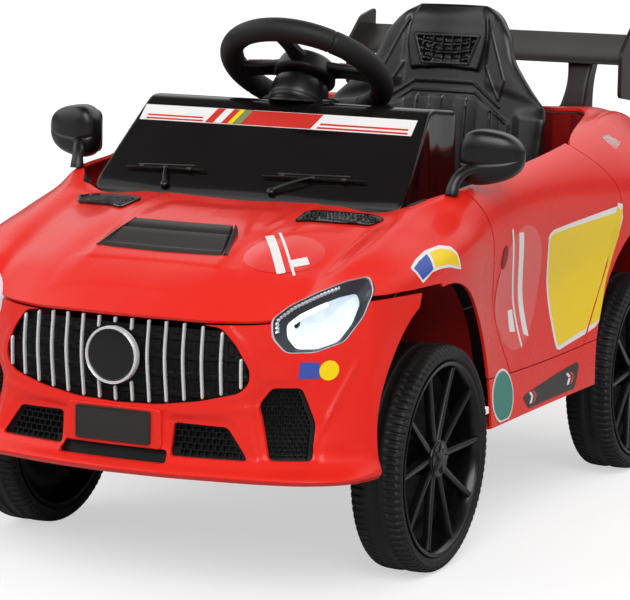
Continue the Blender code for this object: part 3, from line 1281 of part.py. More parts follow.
def mirror_pivot(side):
    x, y = HALF - 0.034, FRONT + 0.066
    return Vector((side * x, y, skin_height(x, y) + 0.0009))


def make_mirrors(black):
    for side, word in SIDES:
        foot = mirror_pivot(side)
        turn = pivot(f"mirror_pivot_{word}", foot)
        made = add(f"mirror_{word}", rod(foot, foot + Vector((0, 0, 0.023)), 0.005, segments=12), black,
                   turn)
        start = foot + Vector((0, 0, 0.0195))
        join(made, rod(start, foot + Vector((side * 0.016, MIRROR_BACK - 0.004, MIRROR_LIFT - 0.008)),
                       0.0055, segments=10))
        rings = []
        for share in np.linspace(0, 1, 7):
            swell = (1 - abs(2 * share - 1) ** 3.2) ** 0.42 * 0.75 + 0.25
            x = HALF + 0.028 - MIRROR_WIDTH * (1 - share)
            centre_y = foot.y + MIRROR_BACK + 0.012 * share
            centre_z = foot.z + MIRROR_LIFT
            ring = []
            for step in range(12):
                angle = 2 * math.pi * step / 12
                dy, dz = math.cos(angle), math.sin(angle)
                square = (abs(dy) ** 3 + abs(dz) ** 3) ** (-1 / 3)
                ring.append((side * x, centre_y + MIRROR_DEPTH / 2 * swell * dy * square,
                             centre_z + MIRROR_HEIGHT / 2 * swell * dz * square))
            rings.append(ring)
        join(made, loft(rings))


def main():
    for old in list(bpy.data.objects):
        bpy.data.objects.remove(old)
    paint = material("red paint", (0.72, 0.030, 0.022), 0.22)
    shade = material("dark red plastic", (0.25, 0.006, 0.006), 0.45)
    black = material("black plastic", (0.018, 0.018, 0.019), 0.42)
    gloss = material("gloss black plastic", (0.012, 0.010, 0.011), 0.10)
    rubber = material("tyre plastic", (0.030, 0.029, 0.028), 0.65)
    chrome = material("chrome", (0.80, 0.81, 0.83), 0.10, 1.0)
    steel = material("steel", (0.45, 0.46, 0.48), 0.35, 1.0)
    grey = material("dark grey plastic", (0.055, 0.052, 0.050), 0.50)
    lens = material("white lens", (0.85, 0.90, 0.95), 0.08)
    lamp = material("red lens", (0.45, 0.010, 0.008), 0.12)

    make_front_body(paint)
    make_front_bumper(paint)
    make_grille(black, chrome)
    make_badge(chrome, gloss)
    make_number_plate(grey)
    make_meshes(black)
    make_headlights(lens)
    make_bonnet_trim(black)
    make_windscreen(gloss)
    make_wipers(black)
    make_sills(paint)
    make_doors(paint)
    rear_wall = make_rear_body(paint)
    make_rear_bumper(paint, lamp)
    make_chassis(black)
    make_front_wells(shade)
    make_steering_gear(black, steel)
    make_steering_wheel(black, grey)
    make_steering_column(gloss)
    make_wheels(rubber, gloss)
    make_drive(black, steel, grey)
    make_cockpit(black, grey, shade, rear_wall)
    make_wing(black)
    make_mirrors(black)


main()
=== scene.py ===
"""A child's battery ride-on car, dressed over its jointed frame.

Every piece is a surface worked out with numpy: a grid of points from two parameters, or a
profile carried along a path. Lengths are metres; the nose looks along -Y and +X is the
car's left side.
"""

import math

import bpy
import numpy as np
from bpy.props import FloatProperty, FloatVectorProperty, IntProperty, PointerProperty
from mathutils import Matrix, Vector


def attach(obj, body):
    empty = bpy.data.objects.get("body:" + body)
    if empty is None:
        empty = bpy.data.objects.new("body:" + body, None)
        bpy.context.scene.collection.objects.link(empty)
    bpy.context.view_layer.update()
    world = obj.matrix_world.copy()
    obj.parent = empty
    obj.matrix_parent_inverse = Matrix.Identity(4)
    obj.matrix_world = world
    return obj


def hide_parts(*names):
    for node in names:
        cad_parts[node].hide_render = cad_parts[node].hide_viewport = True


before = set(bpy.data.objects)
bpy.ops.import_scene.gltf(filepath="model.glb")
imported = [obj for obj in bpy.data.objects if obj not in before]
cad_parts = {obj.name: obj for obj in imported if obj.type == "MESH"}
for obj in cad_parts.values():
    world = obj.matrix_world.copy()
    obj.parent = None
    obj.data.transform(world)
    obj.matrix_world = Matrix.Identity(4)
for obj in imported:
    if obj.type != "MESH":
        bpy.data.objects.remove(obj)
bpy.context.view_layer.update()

bl_info = {
    "name": "Ride-on car",
    "version": (1, 0, 0),
    "blender": (4, 5, 0),
    "location": "View3D > Sidebar > Ride-on car",
    "description": "Dresses the ride-on car's frame with its bodywork, wheels, trim and seat",
    "category": "Object",
}

# Places that the solid model fixes
FRONT = -0.253
REAR = 0.343
NOSE = -0.521
TAIL = 0.521
HALF = 0.262
LOW = 0.128
AXLE = 0.12
SIDES = ((1, "left"), (-1, "right"))
INSIDE = np.array((0.0, 0.0, 0.2))


def in_metres(table):
    """Rows of points that are given in millimetres."""
    return [np.array(row) / 1000 for row in table]


# Long lines of the painted skin, centre line first, as (y, x, z) in mm from nose to tail
LINES = in_metres((
    ((-499, 0, 287), (-453, 0, 314), (-397, 0, 335), (-343, 0, 350), (-283, 0, 362), (-223, 0, 370),
     (-53, 0, 400), (147, 0, 420), (327, 0, 436), (407, 0, 431), (477, 0, 414), (507, 0, 402)),
    ((-496, 55, 287), (-453, 55, 314), (-397, 57, 336), (-343, 58, 352), (-283, 60, 364),
     (-223, 60, 372), (-53, 60, 400), (147, 70, 420), (327, 80, 437), (407, 80, 432),
     (476, 80, 415), (505, 80, 402)),
    ((-485, 108, 286), (-443, 108, 316), (-397, 108, 338), (-343, 110, 356), (-283, 112, 368),
     (-223, 114, 374), (-53, 120, 400), (147, 130, 420), (327, 140, 438), (407, 140, 433),
     (471, 135, 416), (499, 130, 402)),
    ((-458, 160, 289), (-423, 160, 316), (-383, 160, 332), (-343, 162, 346), (-283, 165, 362),
     (-223, 168, 372), (-53, 180, 400), (147, 190, 418), (327, 190, 438), (407, 185, 432),
     (466, 180, 414), (487, 175, 402)),
    ((-428, 198, 314), (-393, 205, 325), (-353, 212, 341), (-283, 217, 361), (-219, 222, 378),
     (-193, 228, 386), (-103, 236, 395), (17, 238, 403), (147, 236, 414), (217, 232, 422),
     (297, 224, 430), (367, 218, 428), (441, 210, 413), (465, 206, 402)),
    ((-403, 228, 312), (-383, 238, 315), (-353, 248, 322), (-283, 257, 334), (-223, 259, 342),
     (-153, 256, 346), (-53, 256, 348), (47, 258, 349), (147, 263, 351), (227, 268, 354),
     (297, 271, 360), (367, 270, 360), (437, 254, 352), (453, 246, 350)),
    ((-398, 243, 262), (-383, 248, 262), (-353, 254, 264), (-253, 260, 270), (-173, 254, 262),
     (-103, 246, 256), (-3, 245, 256), (97, 249, 260), (177, 258, 266), (247, 267, 272),
     (347, 271, 272), (437, 261, 262), (451, 256, 260)),
    ((-403, 247, 190), (-383, 249, 190), (-253, 259, 200), (-153, 254, 190), (-103, 251, 186),
     (-3, 250, 182), (97, 252, 182), (177, 259, 186), (247, 266, 190), (347, 268, 190),
     (437, 262, 190), (451, 258, 190)),
    ((-413, 250, 130), (-383, 250, 130), (-253, 256, 130), (-103, 256, 130), (47, 257, 130),
     (177, 260, 130), (347, 262, 130), (437, 256, 130), (451, 252, 130)),
))

# Front fascia as rows of (x, y, z) in mm, lip first, each from the middle to the arch
FASCIA = in_metres((
    ((0, -515, 128), (60, -511, 128), (120, -501, 128), (165, -491, 128), (205, -475, 128),
     (235, -448, 128), (248, -411, 128), (252, -361, 128)),
    ((0, -521, 135), (60, -517, 135), (120, -507, 135), (167, -497, 135), (210, -481, 135),
     (241, -451, 135), (252, -411, 135), (253, -361, 135)),
    ((0, -505, 145), (60, -502, 145), (120, -492, 145), (163, -479, 145), (202, -459, 146),
     (233, -431, 147), (249, -405, 148), (252, -361, 148)),
    ((0, -499, 168), (60, -496, 168), (120, -486, 168), (162, -472, 168), (200, -451, 170),
     (232, -425, 170), (248, -399, 170), (254, -356, 170)),
    ((0, -497, 196), (60, -494, 196), (120, -483, 200), (162, -466, 205), (200, -443, 205),
     (230, -418, 205), (246, -395, 205), (256, -351, 205)),
    ((0, -503, 245), (60, -499, 245), (120, -485, 245), (162, -462, 250), (200, -435, 252),
     (228, -410, 252), (244, -391, 250), (257, -346, 250)),
    ((0, -499, 282.5), (55, -496, 282.5), (108, -485, 281.5), (160, -458, 284.5), (192, -429, 300),
     (224, -402, 303), (239.5, -385, 304.5), (255.5, -321, 304.5)),
))

# Rear fascia as rows of (x, y, z) in mm, lowest first, each from the middle to the arch
TAIL_FASCIA = in_metres((
    ((0, 509, 128), (80, 508, 128), (150, 504, 128), (212, 495, 128), (242, 481, 128),
     (252, 446, 128)),
    ((0, 517, 200), (80, 515, 200), (150, 511, 200), (218, 502, 200), (248, 487, 200),
     (260, 446, 200)),
    ((0, 521, 280), (80, 519, 280), (150, 514, 280), (218, 505, 280), (250, 489, 280),
     (262, 443, 280)),
    ((0, 515, 350), (80, 513, 350), (145, 508, 350), (206, 497, 350), (238, 477, 350),
     (252.5, 439.8, 350)),
    ((0, 511, 378), (80, 509, 378), (140, 504, 378), (185, 493, 378), (218, 475, 379),
     (228.5, 453, 381.5)),
    ((0, 507, 397.5), (80, 505, 397.5), (130, 499, 397.5), (165, 491, 397.5), (188, 481, 397.5),
     (204, 467, 397.5)),
))

# Seams of the doors on the long lines
DOOR_FRONT = [FRONT + back for back in (0.085, 0.085, 0.085, 0.085, 0.085, 0.115, 0.148, 0.19, 0.215)]
DOOR_REAR = [REAR - ahead for ahead in (0.206, 0.206, 0.206, 0.206, 0.201, 0.117, 0.138, 0.189, 0.205)]
CREST = 4
SEAM_COLUMN = 7.04
SILL_COLUMN = 7.06
SEAM = 0.0012

# Openings of the fascia in front view, as (x, z)
GRILLE_HALF = (
    (0.0, 0.287), (0.06, 0.2865), (0.112, 0.279), (0.127, 0.262), (0.14, 0.238),
    (0.1395, 0.224), (0.13, 0.214), (0.09, 0.204), (0.045, 0.1975), (0.0, 0.196),
)
INNER_MESH = ((0.062, 0.1475), (0.142, 0.1475), (0.119, 0.1795), (0.0635, 0.181))
OUTER_MESH = (
    (0.16, 0.1485), (0.199, 0.1485), (0.198, 0.185), (0.184, 0.22), (0.158, 0.22), (0.147, 0.203),
)
HEADLIGHT = (
    (HALF - 0.105, NOSE + 0.056, 0.289), (HALF - 0.09, NOSE + 0.066, 0.303),
    (HALF - 0.068, NOSE + 0.087, 0.316), (HALF - 0.05, NOSE + 0.112, 0.325),
    (HALF - 0.036, NOSE + 0.137, 0.328), (HALF - 0.0305, NOSE + 0.137, 0.314),
    (HALF - 0.035, NOSE + 0.122, 0.288), (HALF - 0.047, NOSE + 0.103, 0.264),
    (HALF - 0.07, NOSE + 0.082, 0.254), (HALF - 0.094, NOSE + 0.065, 0.254),
    (HALF - 0.104, NOSE + 0.056, 0.27),
)
HEADLIGHT_FACING = np.array((0.55, -0.75, 0.37)) / math.sqrt(0.55**2 + 0.75**2 + 0.37**2)


# Sizes and colours that a user would change

class RideOnSizes(bpy.types.PropertyGroup):
    shell: FloatProperty(
        name="Shell", description="Wall of the painted mouldings", default=0.0035,
        min=0.002, max=0.006, unit="LENGTH")
    film: FloatProperty(
        name="Film", description="Thickness of the coloured films", default=0.00025,
        min=0.0001, max=0.001, unit="LENGTH")
    slats: IntProperty(
        name="Slats", description="Upright chrome bars in the grille", default=15, min=3, max=31)
    tread_grooves: IntProperty(
        name="Tread grooves", description="Grooves round each tyre", default=88, min=24, max=160)
    lamp_power: FloatProperty(
        name="Lamp power", description="Strength of the main studio lamp", default=1.0,
        min=0.0, max=4.0, subtype="FACTOR")


class RideOnColours(bpy.types.PropertyGroup):
    paint: FloatVectorProperty(
        name="Paint", description="Bodywork", subtype="COLOR", size=3, default=(0.8, 0.022, 0.014))
    satin: FloatVectorProperty(
        name="Satin black", description="Seat, mirrors, wing and wheel rims", subtype="COLOR", size=3,
        default=(0.0065, 0.006, 0.0062))
    gloss: FloatVectorProperty(
        name="Gloss black", description="Windscreen and dashboard", subtype="COLOR", size=3,
        default=(0.0055, 0.004, 0.0042))
    yellow: FloatVectorProperty(
        name="Yellow film", description="Panels on the doors and wings", subtype="COLOR", size=3,
        default=(0.95, 0.66, 0.002))
    blue: FloatVectorProperty(
        name="Blue film", description="Patches on the nose and wings", subtype="COLOR", size=3,
        default=(0.04, 0.085, 0.4))
    green: FloatVectorProperty(
        name="Green film", description="Disc ahead of the sill", subtype="COLOR", size=3,
        default=(0.03, 0.22, 0.17))


# Curves and surfaces

def curve(knots, values, places):
    """A smooth curve through values at rising knots, read at places. Between two knots it is the
    cubic whose slope at a knot is the mean of the two chords there, each weighted by the other's
    length."""
    knots, values, places = (np.asarray(part, float) for part in (knots, values, places))
    steps = np.diff(knots)[:, None]
    chords = np.diff(values, axis=0) / steps
    slopes = np.empty_like(values)
    slopes[0], slopes[-1] = chords[0], chords[-1]
    slopes[1:-1] = (chords[:-1] * steps[1:] + chords[1:] * steps[:-1]) / (steps[1:] + steps[:-1])
    at = np.clip(np.searchsorted(knots, places, side="right") - 1, 0, len(knots) - 2)
    width = steps[at]
    t = (places - knots[at])[:, None] / width
    return (
        (2 * t**3 - 3 * t**2 + 1) * values[at] + (t**3 - 2 * t**2 + t) * width * slopes[at]
        + (3 * t**2 - 2 * t**3) * values[at + 1] + (t**3 - t**2) * width * slopes[at + 1]
    )


def across(lines, columns):
    """The same kind of curve with unit steps, run through each row of points in lines (rows, K, 3)
    and read at that row's columns (rows, M)."""
    chords = np.diff(lines, axis=1)
    slopes = np.concatenate([chords[:, :1], (chords[:, :-1] + chords[:, 1:]) / 2, chords[:, -1:]], axis=1)
    at = np.clip(np.floor(columns).astype(int), 0, lines.shape[1] - 2)
    t = (columns - at)[..., None]
    at = at[..., None]
    first, last = np.take_along_axis(lines, at, 1), np.take_along_axis(lines, at + 1, 1)
    slope_first, slope_last = np.take_along_axis(slopes, at, 1), np.take_along_axis(slopes, at + 1, 1)
    return (
        (2 * t**3 - 3 * t**2 + 1) * first + (t**3 - 2 * t**2 + t) * slope_first
        + (3 * t**2 - 2 * t**3) * last + (t**3 - t**2) * slope_last
    )


def joined(*parts):
    """Coordinates of the points of one grid, put together after they are stretched to its shape."""
    return np.stack(np.broadcast_arrays(*parts), axis=-1)


def full_turn(count):
    """Equal angles once round."""
    return np.linspace(0, 2 * np.pi, count, endpoint=False)


def smooth(low, high, value):
    """0 below low, 1 above high, and the usual cubic between them."""
    t = np.clip((value - low) / (high - low), 0, 1)
    return t * t * (3 - 2 * t)


def skin(stations, columns):
    """Painted skin: the nine long lines are read at stations (rows, 9), and each row is then
    crossed at its columns (rows, M), 0 on the centre line and 8 at the lowest line. The bonnet's
    centre stands 3 mm proud inside two soft creases and dips 3 mm beside the wing's crest."""
    lines = []
    for number, line in enumerate(LINES):
        knots = [knot[0] for knot in line]
        station = np.clip(stations[:, number], knots[0], knots[-1])
        read = curve(knots, [knot[1:] for knot in line], station)
        lines.append(joined(read[:, 0], station, read[:, 1]))
    points = across(np.stack(lines, axis=1), columns)
    y = points[..., 1]
    ahead = smooth(FRONT + 0.01, FRONT - 0.03, y) * smooth(NOSE + 0.055, NOSE + 0.11, y)
    edge = 1.55 - 0.55 * (y - FRONT + 0.17) / 0.17
    dome = 0.003 * smooth(edge + 0.22, edge - 0.22, columns)
    valley = -0.0036 * np.exp(-(((columns - 3.3) / 0.24) ** 2))
    points[..., 2] += ahead * (dome + valley)
    return points


def fascia(rows, column, level):
    """Fascia: every row of points is read at each column, and the results at each level. Column
    and level are arrays of one shape."""
    rows = np.asarray(rows, float)
    flat_column, flat_level = column.ravel(), level.ravel()
    read = across(rows, np.broadcast_to(flat_column, (len(rows), flat_column.size)))
    return across(read.transpose(1, 0, 2), flat_level[:, None])[:, 0].reshape(*column.shape, 3)


def normals(points):
    """Unit normals of a grid: the cross product of its two sets of differences, turned away from
    the middle of the car."""
    found = np.cross(np.gradient(points, axis=0), np.gradient(points, axis=1))
    found /= np.linalg.norm(found, axis=2, keepdims=True) + 1e-12
    return found if ((points - INSIDE) * found).sum() > 0 else -found


def mirrored(points):
    """A half grid and its reflection in the centre plane, as one grid."""
    return np.concatenate([points[:, :0:-1] * (-1, 1, 1), points], axis=1)


def crossing(y, columns, axis, sign, target):
    """Points of the skin at each y where a coordinate, times sign, reaches its target: the skin is
    crossed at ninety columns, and the point is found between two of them."""
    row = skin(np.repeat(y[:, None], 9, 1), np.broadcast_to(np.linspace(*columns, 90), (len(y), 90)))
    at = np.clip((sign * row[..., axis] < target[:, None]).sum(1) - 1, 0, 88)[:, None, None]
    near, far = np.take_along_axis(row, at, 1)[:, 0], np.take_along_axis(row, at + 1, 1)[:, 0]
    t = np.clip((target - sign * near[:, axis]) / (sign * (far - near)[:, axis]), -1, 2)[:, None]
    return near + (far - near) * t


def on_side(y, z):
    """Point and outward normal of the left flank at each (y, z)."""
    return with_normal(lambda y, z: crossing(y, (3.7, 8), 2, -1, -z), y, z)


def on_top(x, y):
    """Point and upward normal of the bonnet or rear deck at each (x, y)."""
    def find(x, y):
        found = crossing(y, (0, 4.3), 0, 1, np.abs(x))
        found[:, 0] = x
        return found
    return with_normal(find, x, y)


def on_front(x, z, rows=None):
    """Point and forward normal of a fascia at each (x, z): columns and levels are corrected from
    the error in x and z a few times, as Newton's method does."""
    rows = FASCIA if rows is None else rows
    shape = np.array(rows)

    def find(x, z):
        reach = np.abs(x)
        column = np.interp(reach, shape[len(shape) // 2 + 1, :, 0], np.arange(shape.shape[1]))
        level = np.interp(z, shape[:, 0, 2], np.arange(shape.shape[0]))
        step = 1e-3
        for _ in range(6):
            here = fascia(rows, column, level)
            by_column = (fascia(rows, column + step, level) - here) / step
            by_level = (fascia(rows, column, level + step) - here) / step
            miss_x, miss_z = reach - here[:, 0], z - here[:, 2]
            scale = by_column[:, 0] * by_level[:, 2] - by_level[:, 0] * by_column[:, 2]
            column = column + (miss_x * by_level[:, 2] - miss_z * by_level[:, 0]) / scale
            level = level + (miss_z * by_column[:, 0] - miss_x * by_column[:, 2]) / scale
            column = np.clip(column, 0, shape.shape[1] - 1.001)
            level = np.clip(level, 0, shape.shape[0] - 1.001)
        found = fascia(rows, column, level)
        found[:, 0] *= np.where(x < 0, -1, 1)
        return found
    return with_normal(find, x, z)


def with_normal(find, a, b):
    """A surface's points, and normals from the cross product of small steps in both parameters."""
    a, b = np.asarray(a, float), np.asarray(b, float)
    flat_a, flat_b = a.ravel(), b.ravel()
    step = 5e-4
    here = find(flat_a, flat_b)
    normal = np.cross(find(flat_a + step, flat_b) - here, find(flat_a, flat_b + step) - here)
    normal /= np.linalg.norm(normal, axis=1, keepdims=True) + 1e-12
    normal *= np.where(((here - INSIDE) * normal).sum(1) < 0, -1, 1)[:, None]
    return here.reshape(*a.shape, 3), normal.reshape(*a.shape, 3)


def distance_to(points, outline):
    """Signed distance of points (N, 2) from a closed outline (K, 2), negative inside. The distance
    is the least to any edge, and the sign comes from how often a ray crosses the edges."""
    start = np.asarray(outline, float)
    end = np.roll(start, -1, axis=0)
    edge = end - start
    toward = points[:, None] - start
    t = np.clip((toward * edge).sum(2) / (edge**2).sum(1), 0, 1)
    away = np.linalg.norm(toward - edge * t[..., None], axis=2).min(1)
    above = (start[:, 1] > points[:, None, 1]) != (end[:, 1] > points[:, None, 1])
    rise = np.where(edge[:, 1] == 0, 1e-12, edge[:, 1])
    crossing = start[:, 0] + (points[:, None, 1] - start[:, 1]) * edge[:, 0] / rise
    inside = (above & (points[:, None, 0] < crossing)).sum(1) % 2 == 1
    return np.where(inside, -away, away)


def rounded(outline, radius, steps=7):
    """A closed outline with each corner replaced by a parabola between points a radius away from
    it, and never more than half an edge."""
    corner = np.asarray(outline, float)
    back, ahead = np.roll(corner, 1, axis=0) - corner, np.roll(corner, -1, axis=0) - corner
    long_back = np.linalg.norm(back, axis=1, keepdims=True)
    long_ahead = np.linalg.norm(ahead, axis=1, keepdims=True)
    first = corner + back / long_back * np.minimum(radius, 0.49 * long_back)
    last = corner + ahead / long_ahead * np.minimum(radius, 0.49 * long_ahead)
    t = np.linspace(0, 1, steps)[None, :, None]
    arcs = (1 - t) ** 2 * first[:, None] + 2 * t * (1 - t) * corner[:, None] + t**2 * last[:, None]
    return arcs.reshape(-1, corner.shape[1])


def resampled(outline, count):
    """A closed outline walked in equal steps of its length."""
    loop = np.concatenate([outline, outline[:1]])
    walked = np.concatenate([[0], np.cumsum(np.linalg.norm(np.diff(loop, axis=0), axis=1))])
    places = np.linspace(0, walked[-1], count, endpoint=False)
    return np.stack([np.interp(places, walked, loop[:, k]) for k in range(loop.shape[1])], axis=1)


def soft_outline(corners, radius, count):
    """A closed outline with rounded corners, walked in equal steps."""
    return resampled(rounded(corners, radius), count)


def inset(outline, amount):
    """A closed outline moved inwards along the bisector of its two edges at each point."""
    back = outline - np.roll(outline, 1, axis=0)
    ahead = np.roll(outline, -1, axis=0) - outline
    back /= np.linalg.norm(back, axis=1, keepdims=True) + 1e-12
    ahead /= np.linalg.norm(ahead, axis=1, keepdims=True) + 1e-12
    middle = back + ahead
    middle /= np.linalg.norm(middle, axis=1, keepdims=True) + 1e-12
    after = np.roll(outline, -1, axis=0)
    turn = np.sign((outline[:, 0] * after[:, 1] - after[:, 0] * outline[:, 1]).sum())
    return outline + turn * amount * joined(-middle[:, 1], middle[:, 0])


def ellipse(centre, reach, count=64, turn=0.0):
    """Points centre + reach * (cos, sin), turned about the centre."""
    angle = full_turn(count)
    x, y = reach[0] * np.cos(angle), reach[1] * np.sin(angle)
    return joined(centre[0] + x * math.cos(turn) - y * math.sin(turn),
                  centre[1] + x * math.sin(turn) + y * math.cos(turn))


# Meshes

def grid_faces(rows, columns, wrap_rows=False, wrap_columns=False, start=0):
    """Quads between neighbours of a grid whose points are numbered row by row."""
    row = np.arange(rows if wrap_rows else rows - 1)[:, None]
    column = np.arange(columns if wrap_columns else columns - 1)[None]
    next_row, next_column = (row + 1) % rows, (column + 1) % columns
    corners = (row * columns + column, next_row * columns + column,
               next_row * columns + next_column, row * columns + next_column)
    return np.stack(corners, axis=-1).reshape(-1, 4) + start


def volume(verts, faces):
    """Signed volume: a sixth of the triple product of every triangle fanned from each face."""
    total = 0.0
    for part in faces:
        for k in range(1, part.shape[1] - 1):
            a, b, c = verts[part[:, 0]], verts[part[:, k]], verts[part[:, k + 1]]
            total += (a * np.cross(b, c)).sum() / 6
    return total


def body_of(*pieces):
    """Pieces, each (verts, faces), as one set of arrays. Every closed one is turned to face out."""
    verts, faces, start = [], [], 0
    for points, parts in pieces:
        outward = volume(points - points.mean(0), parts) >= 0
        verts.append(points)
        faces += [(part if outward else part[:, ::-1]) + start for part in parts]
        start += len(points)
    return np.concatenate(verts), faces


def loft(rings, closed=False):
    """A tube through rings (R, N, 3), with its ends closed by fans, or joined to each other."""
    count, around = rings.shape[:2]
    verts = rings.reshape(-1, 3)
    faces = [grid_faces(count, around, wrap_rows=closed, wrap_columns=True)]
    if not closed:
        verts = np.concatenate([verts, rings[:1].mean(1), rings[-1:].mean(1)])
        i = np.arange(around)
        j = (i + 1) % around
        last = (count - 1) * around
        tip = np.full(around, count * around)
        faces += [joined(tip, j, i), joined(tip + 1, last + i, last + j)]
    return verts, faces


def border(rows, columns):
    """Numbers of a grid's border points, once round, and of the points after them."""
    number = np.arange(rows * columns).reshape(rows, columns)
    rim = np.concatenate([number[0, :-1], number[:-1, -1], number[-1, :0:-1], number[:0:-1, 0]])
    return rim, np.roll(rim, -1)


def shell(points, wall, outward=None):
    """A closed panel: the grid, the same grid moved a wall's thickness against its normals, and
    strips that join their borders."""
    outward = normals(points) if outward is None else outward
    rows, columns = points.shape[:2]
    rings = np.stack([points, points - outward * wall])
    rim, after = border(rows, columns)
    size = rows * columns
    top = grid_faces(rows, columns)
    verts = rings.reshape(-1, 3)
    a, b, c = verts[top[:, 0]], verts[top[:, 1]], verts[top[:, 2]]
    facing = (np.cross(b - a, c - a) * outward.reshape(-1, 3)[top[:, 0]]).sum()
    side = joined(rim, after, after + size, rim + size)
    if facing < 0:
        top = top[:, ::-1]
        side = side[:, ::-1]
    return verts, [top, top[:, ::-1] + size, side[:, ::-1]]


def slab(outline, spot, low, high, bevel=0.0006, steps=3):
    """A plate between two heights over a closed outline, its upper edge rounded by a quarter
    circle of insets. spot turns (N, 2) and a height into points."""
    bend = np.linspace(0, np.pi / 2, steps)
    levels = [(0.0, low)] + [(bevel * (1 - math.cos(a)), high - bevel * (1 - math.sin(a))) for a in bend]
    rings = np.stack([spot(inset(outline, shift) if shift else outline, height) for shift, height in levels])
    return loft(rings)


def tube(path, radius, sides=12, up=(0, 0, 1), flat=1.0):
    """A round bar along a path (P, 3): each ring stands across the path's direction, and flat
    shortens it along the second axis."""
    path = np.asarray(path, float)
    radius = np.broadcast_to(radius, len(path))
    along = np.gradient(path, axis=0)
    along /= np.linalg.norm(along, axis=1, keepdims=True)
    side = np.cross(along, up)
    side /= np.linalg.norm(side, axis=1, keepdims=True) + 1e-12
    other = np.cross(side, along) * flat
    angle = full_turn(sides)
    ring = np.cos(angle)[:, None] * side[:, None] + np.sin(angle)[:, None] * other[:, None]
    return loft(path[:, None] + ring * radius[:, None, None])


def sweep(path, side, up, profile, closed=False):
    """A profile (N, 2) carried along a path, on a side and an up vector at each point."""
    profile = np.asarray(profile, float)
    if profile.ndim == 2:
        profile = np.broadcast_to(profile, (len(path), *profile.shape))
    rings = path[:, None] + profile[..., :1] * side[:, None] + profile[..., 1:] * up[:, None]
    return loft(rings, closed)


def turned(profile, count, matrix=None):
    """A ring: the closed profile of (along, radius) points is turned round the first axis."""
    profile = np.asarray(profile, float)
    angle = full_turn(count)[:, None]
    along, radius = profile.T
    rings = joined(np.broadcast_to(along, (count, len(profile))), radius * np.cos(angle), radius * np.sin(angle))
    verts, faces = loft(rings, closed=True)
    return (moved(verts, matrix) if matrix else verts), faces


def lathe(profile, count, matrix=None):
    """A solid of revolution about the first axis from an open profile whose ends lie on the axis.
    The end rings are closed by fans."""
    profile = np.asarray(profile, float)
    angle = full_turn(count)
    radius = profile[:, 1:]
    rings = joined(np.repeat(profile[:, :1], count, 1), radius * np.cos(angle), radius * np.sin(angle))
    verts, faces = loft(rings)
    return (moved(verts, matrix) if matrix else verts), faces


def moved(verts, matrix):
    """Points carried by a matrix."""
    matrix = np.array(matrix)
    return verts @ matrix[:3, :3].T + matrix[:3, 3]


def flipped(piece):
    """A piece's reflection in the centre plane, still facing out."""
    verts, faces = piece
    return verts * (-1, 1, 1), [part[:, ::-1] for part in faces]


def linked(name, piece):
    """A new object whose mesh is a piece."""
    verts, faces = piece
    mesh = bpy.data.meshes.new(name)
    mesh.from_pydata(verts.tolist(), [], [face for part in faces for face in part.tolist()])
    mesh.update()
    made = bpy.data.objects.new(name, mesh)
    bpy.context.collection.objects.link(made)
    return made


def add(name, piece, look, body="body", stands_for=(), slot=None, sharp=35.0):
    """Makes the object of a piece, smooth but for its sharp edges, and puts it on its body."""
    made = linked(name, piece)
    made.data.materials.append(look)
    smooth_by_angle(made.data, sharp)
    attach(made, body)
    if stands_for:
        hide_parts(*stands_for)
    return made


def on_flank(piece, side):
    """A piece of the left flank, or its reflection for the right one."""
    return piece if side > 0 else flipped(piece)


def add_pair(name, piece, look, rider="", stands_for="", sides=SIDES, **options):
    """Makes a left piece and its reflection. The side's name is put to the piece's, and to those of
    the body and the node where they are given."""
    return [add(f"{name}_{word}", on_flank(piece, side), look, f"{rider}_{word}" if rider else "body",
                [f"{stands_for}_{word}"] if stands_for else (), **options) for side, word in sides]


def smooth_by_angle(mesh, sharp):
    mesh.shade_smooth()
    mesh.set_sharp_from_angle(angle=math.radians(sharp))


def carve(made, cutters, sharp=35.0):
    """Takes hidden solids out of a piece with exact Booleans, and keeps the result as its mesh."""
    tools = [linked("tool", cutter) for cutter in cutters]
    for tool in tools:
        step = made.modifiers.new("cut", "BOOLEAN")
        step.operation, step.solver, step.object = "DIFFERENCE", "EXACT", tool
    bpy.context.view_layer.update()
    result = bpy.data.meshes.new_from_object(made.evaluated_get(bpy.context.evaluated_depsgraph_get()))
    made.modifiers.clear()
    old = made.data
    made.data = result
    result.name = old.name
    bpy.data.meshes.remove(old)
    for tool in tools:
        mesh = tool.data
        bpy.data.objects.remove(tool)
        bpy.data.meshes.remove(mesh)
    smooth_by_angle(result, sharp)
    return made


def prism(outline, axis, low, high):
    """An outline pushed along an axis (0, 1 or 2) between two places. It holds the other two
    coordinates in order."""
    outline = np.asarray(outline, float)
    rings = np.empty((2, len(outline), 3))
    others = [k for k in range(3) if k != axis]
    rings[:, :, others[0]], rings[:, :, others[1]] = outline[:, 0], outline[:, 1]
    rings[0, :, axis], rings[1, :, axis] = low, high
    return body_of(loft(rings))


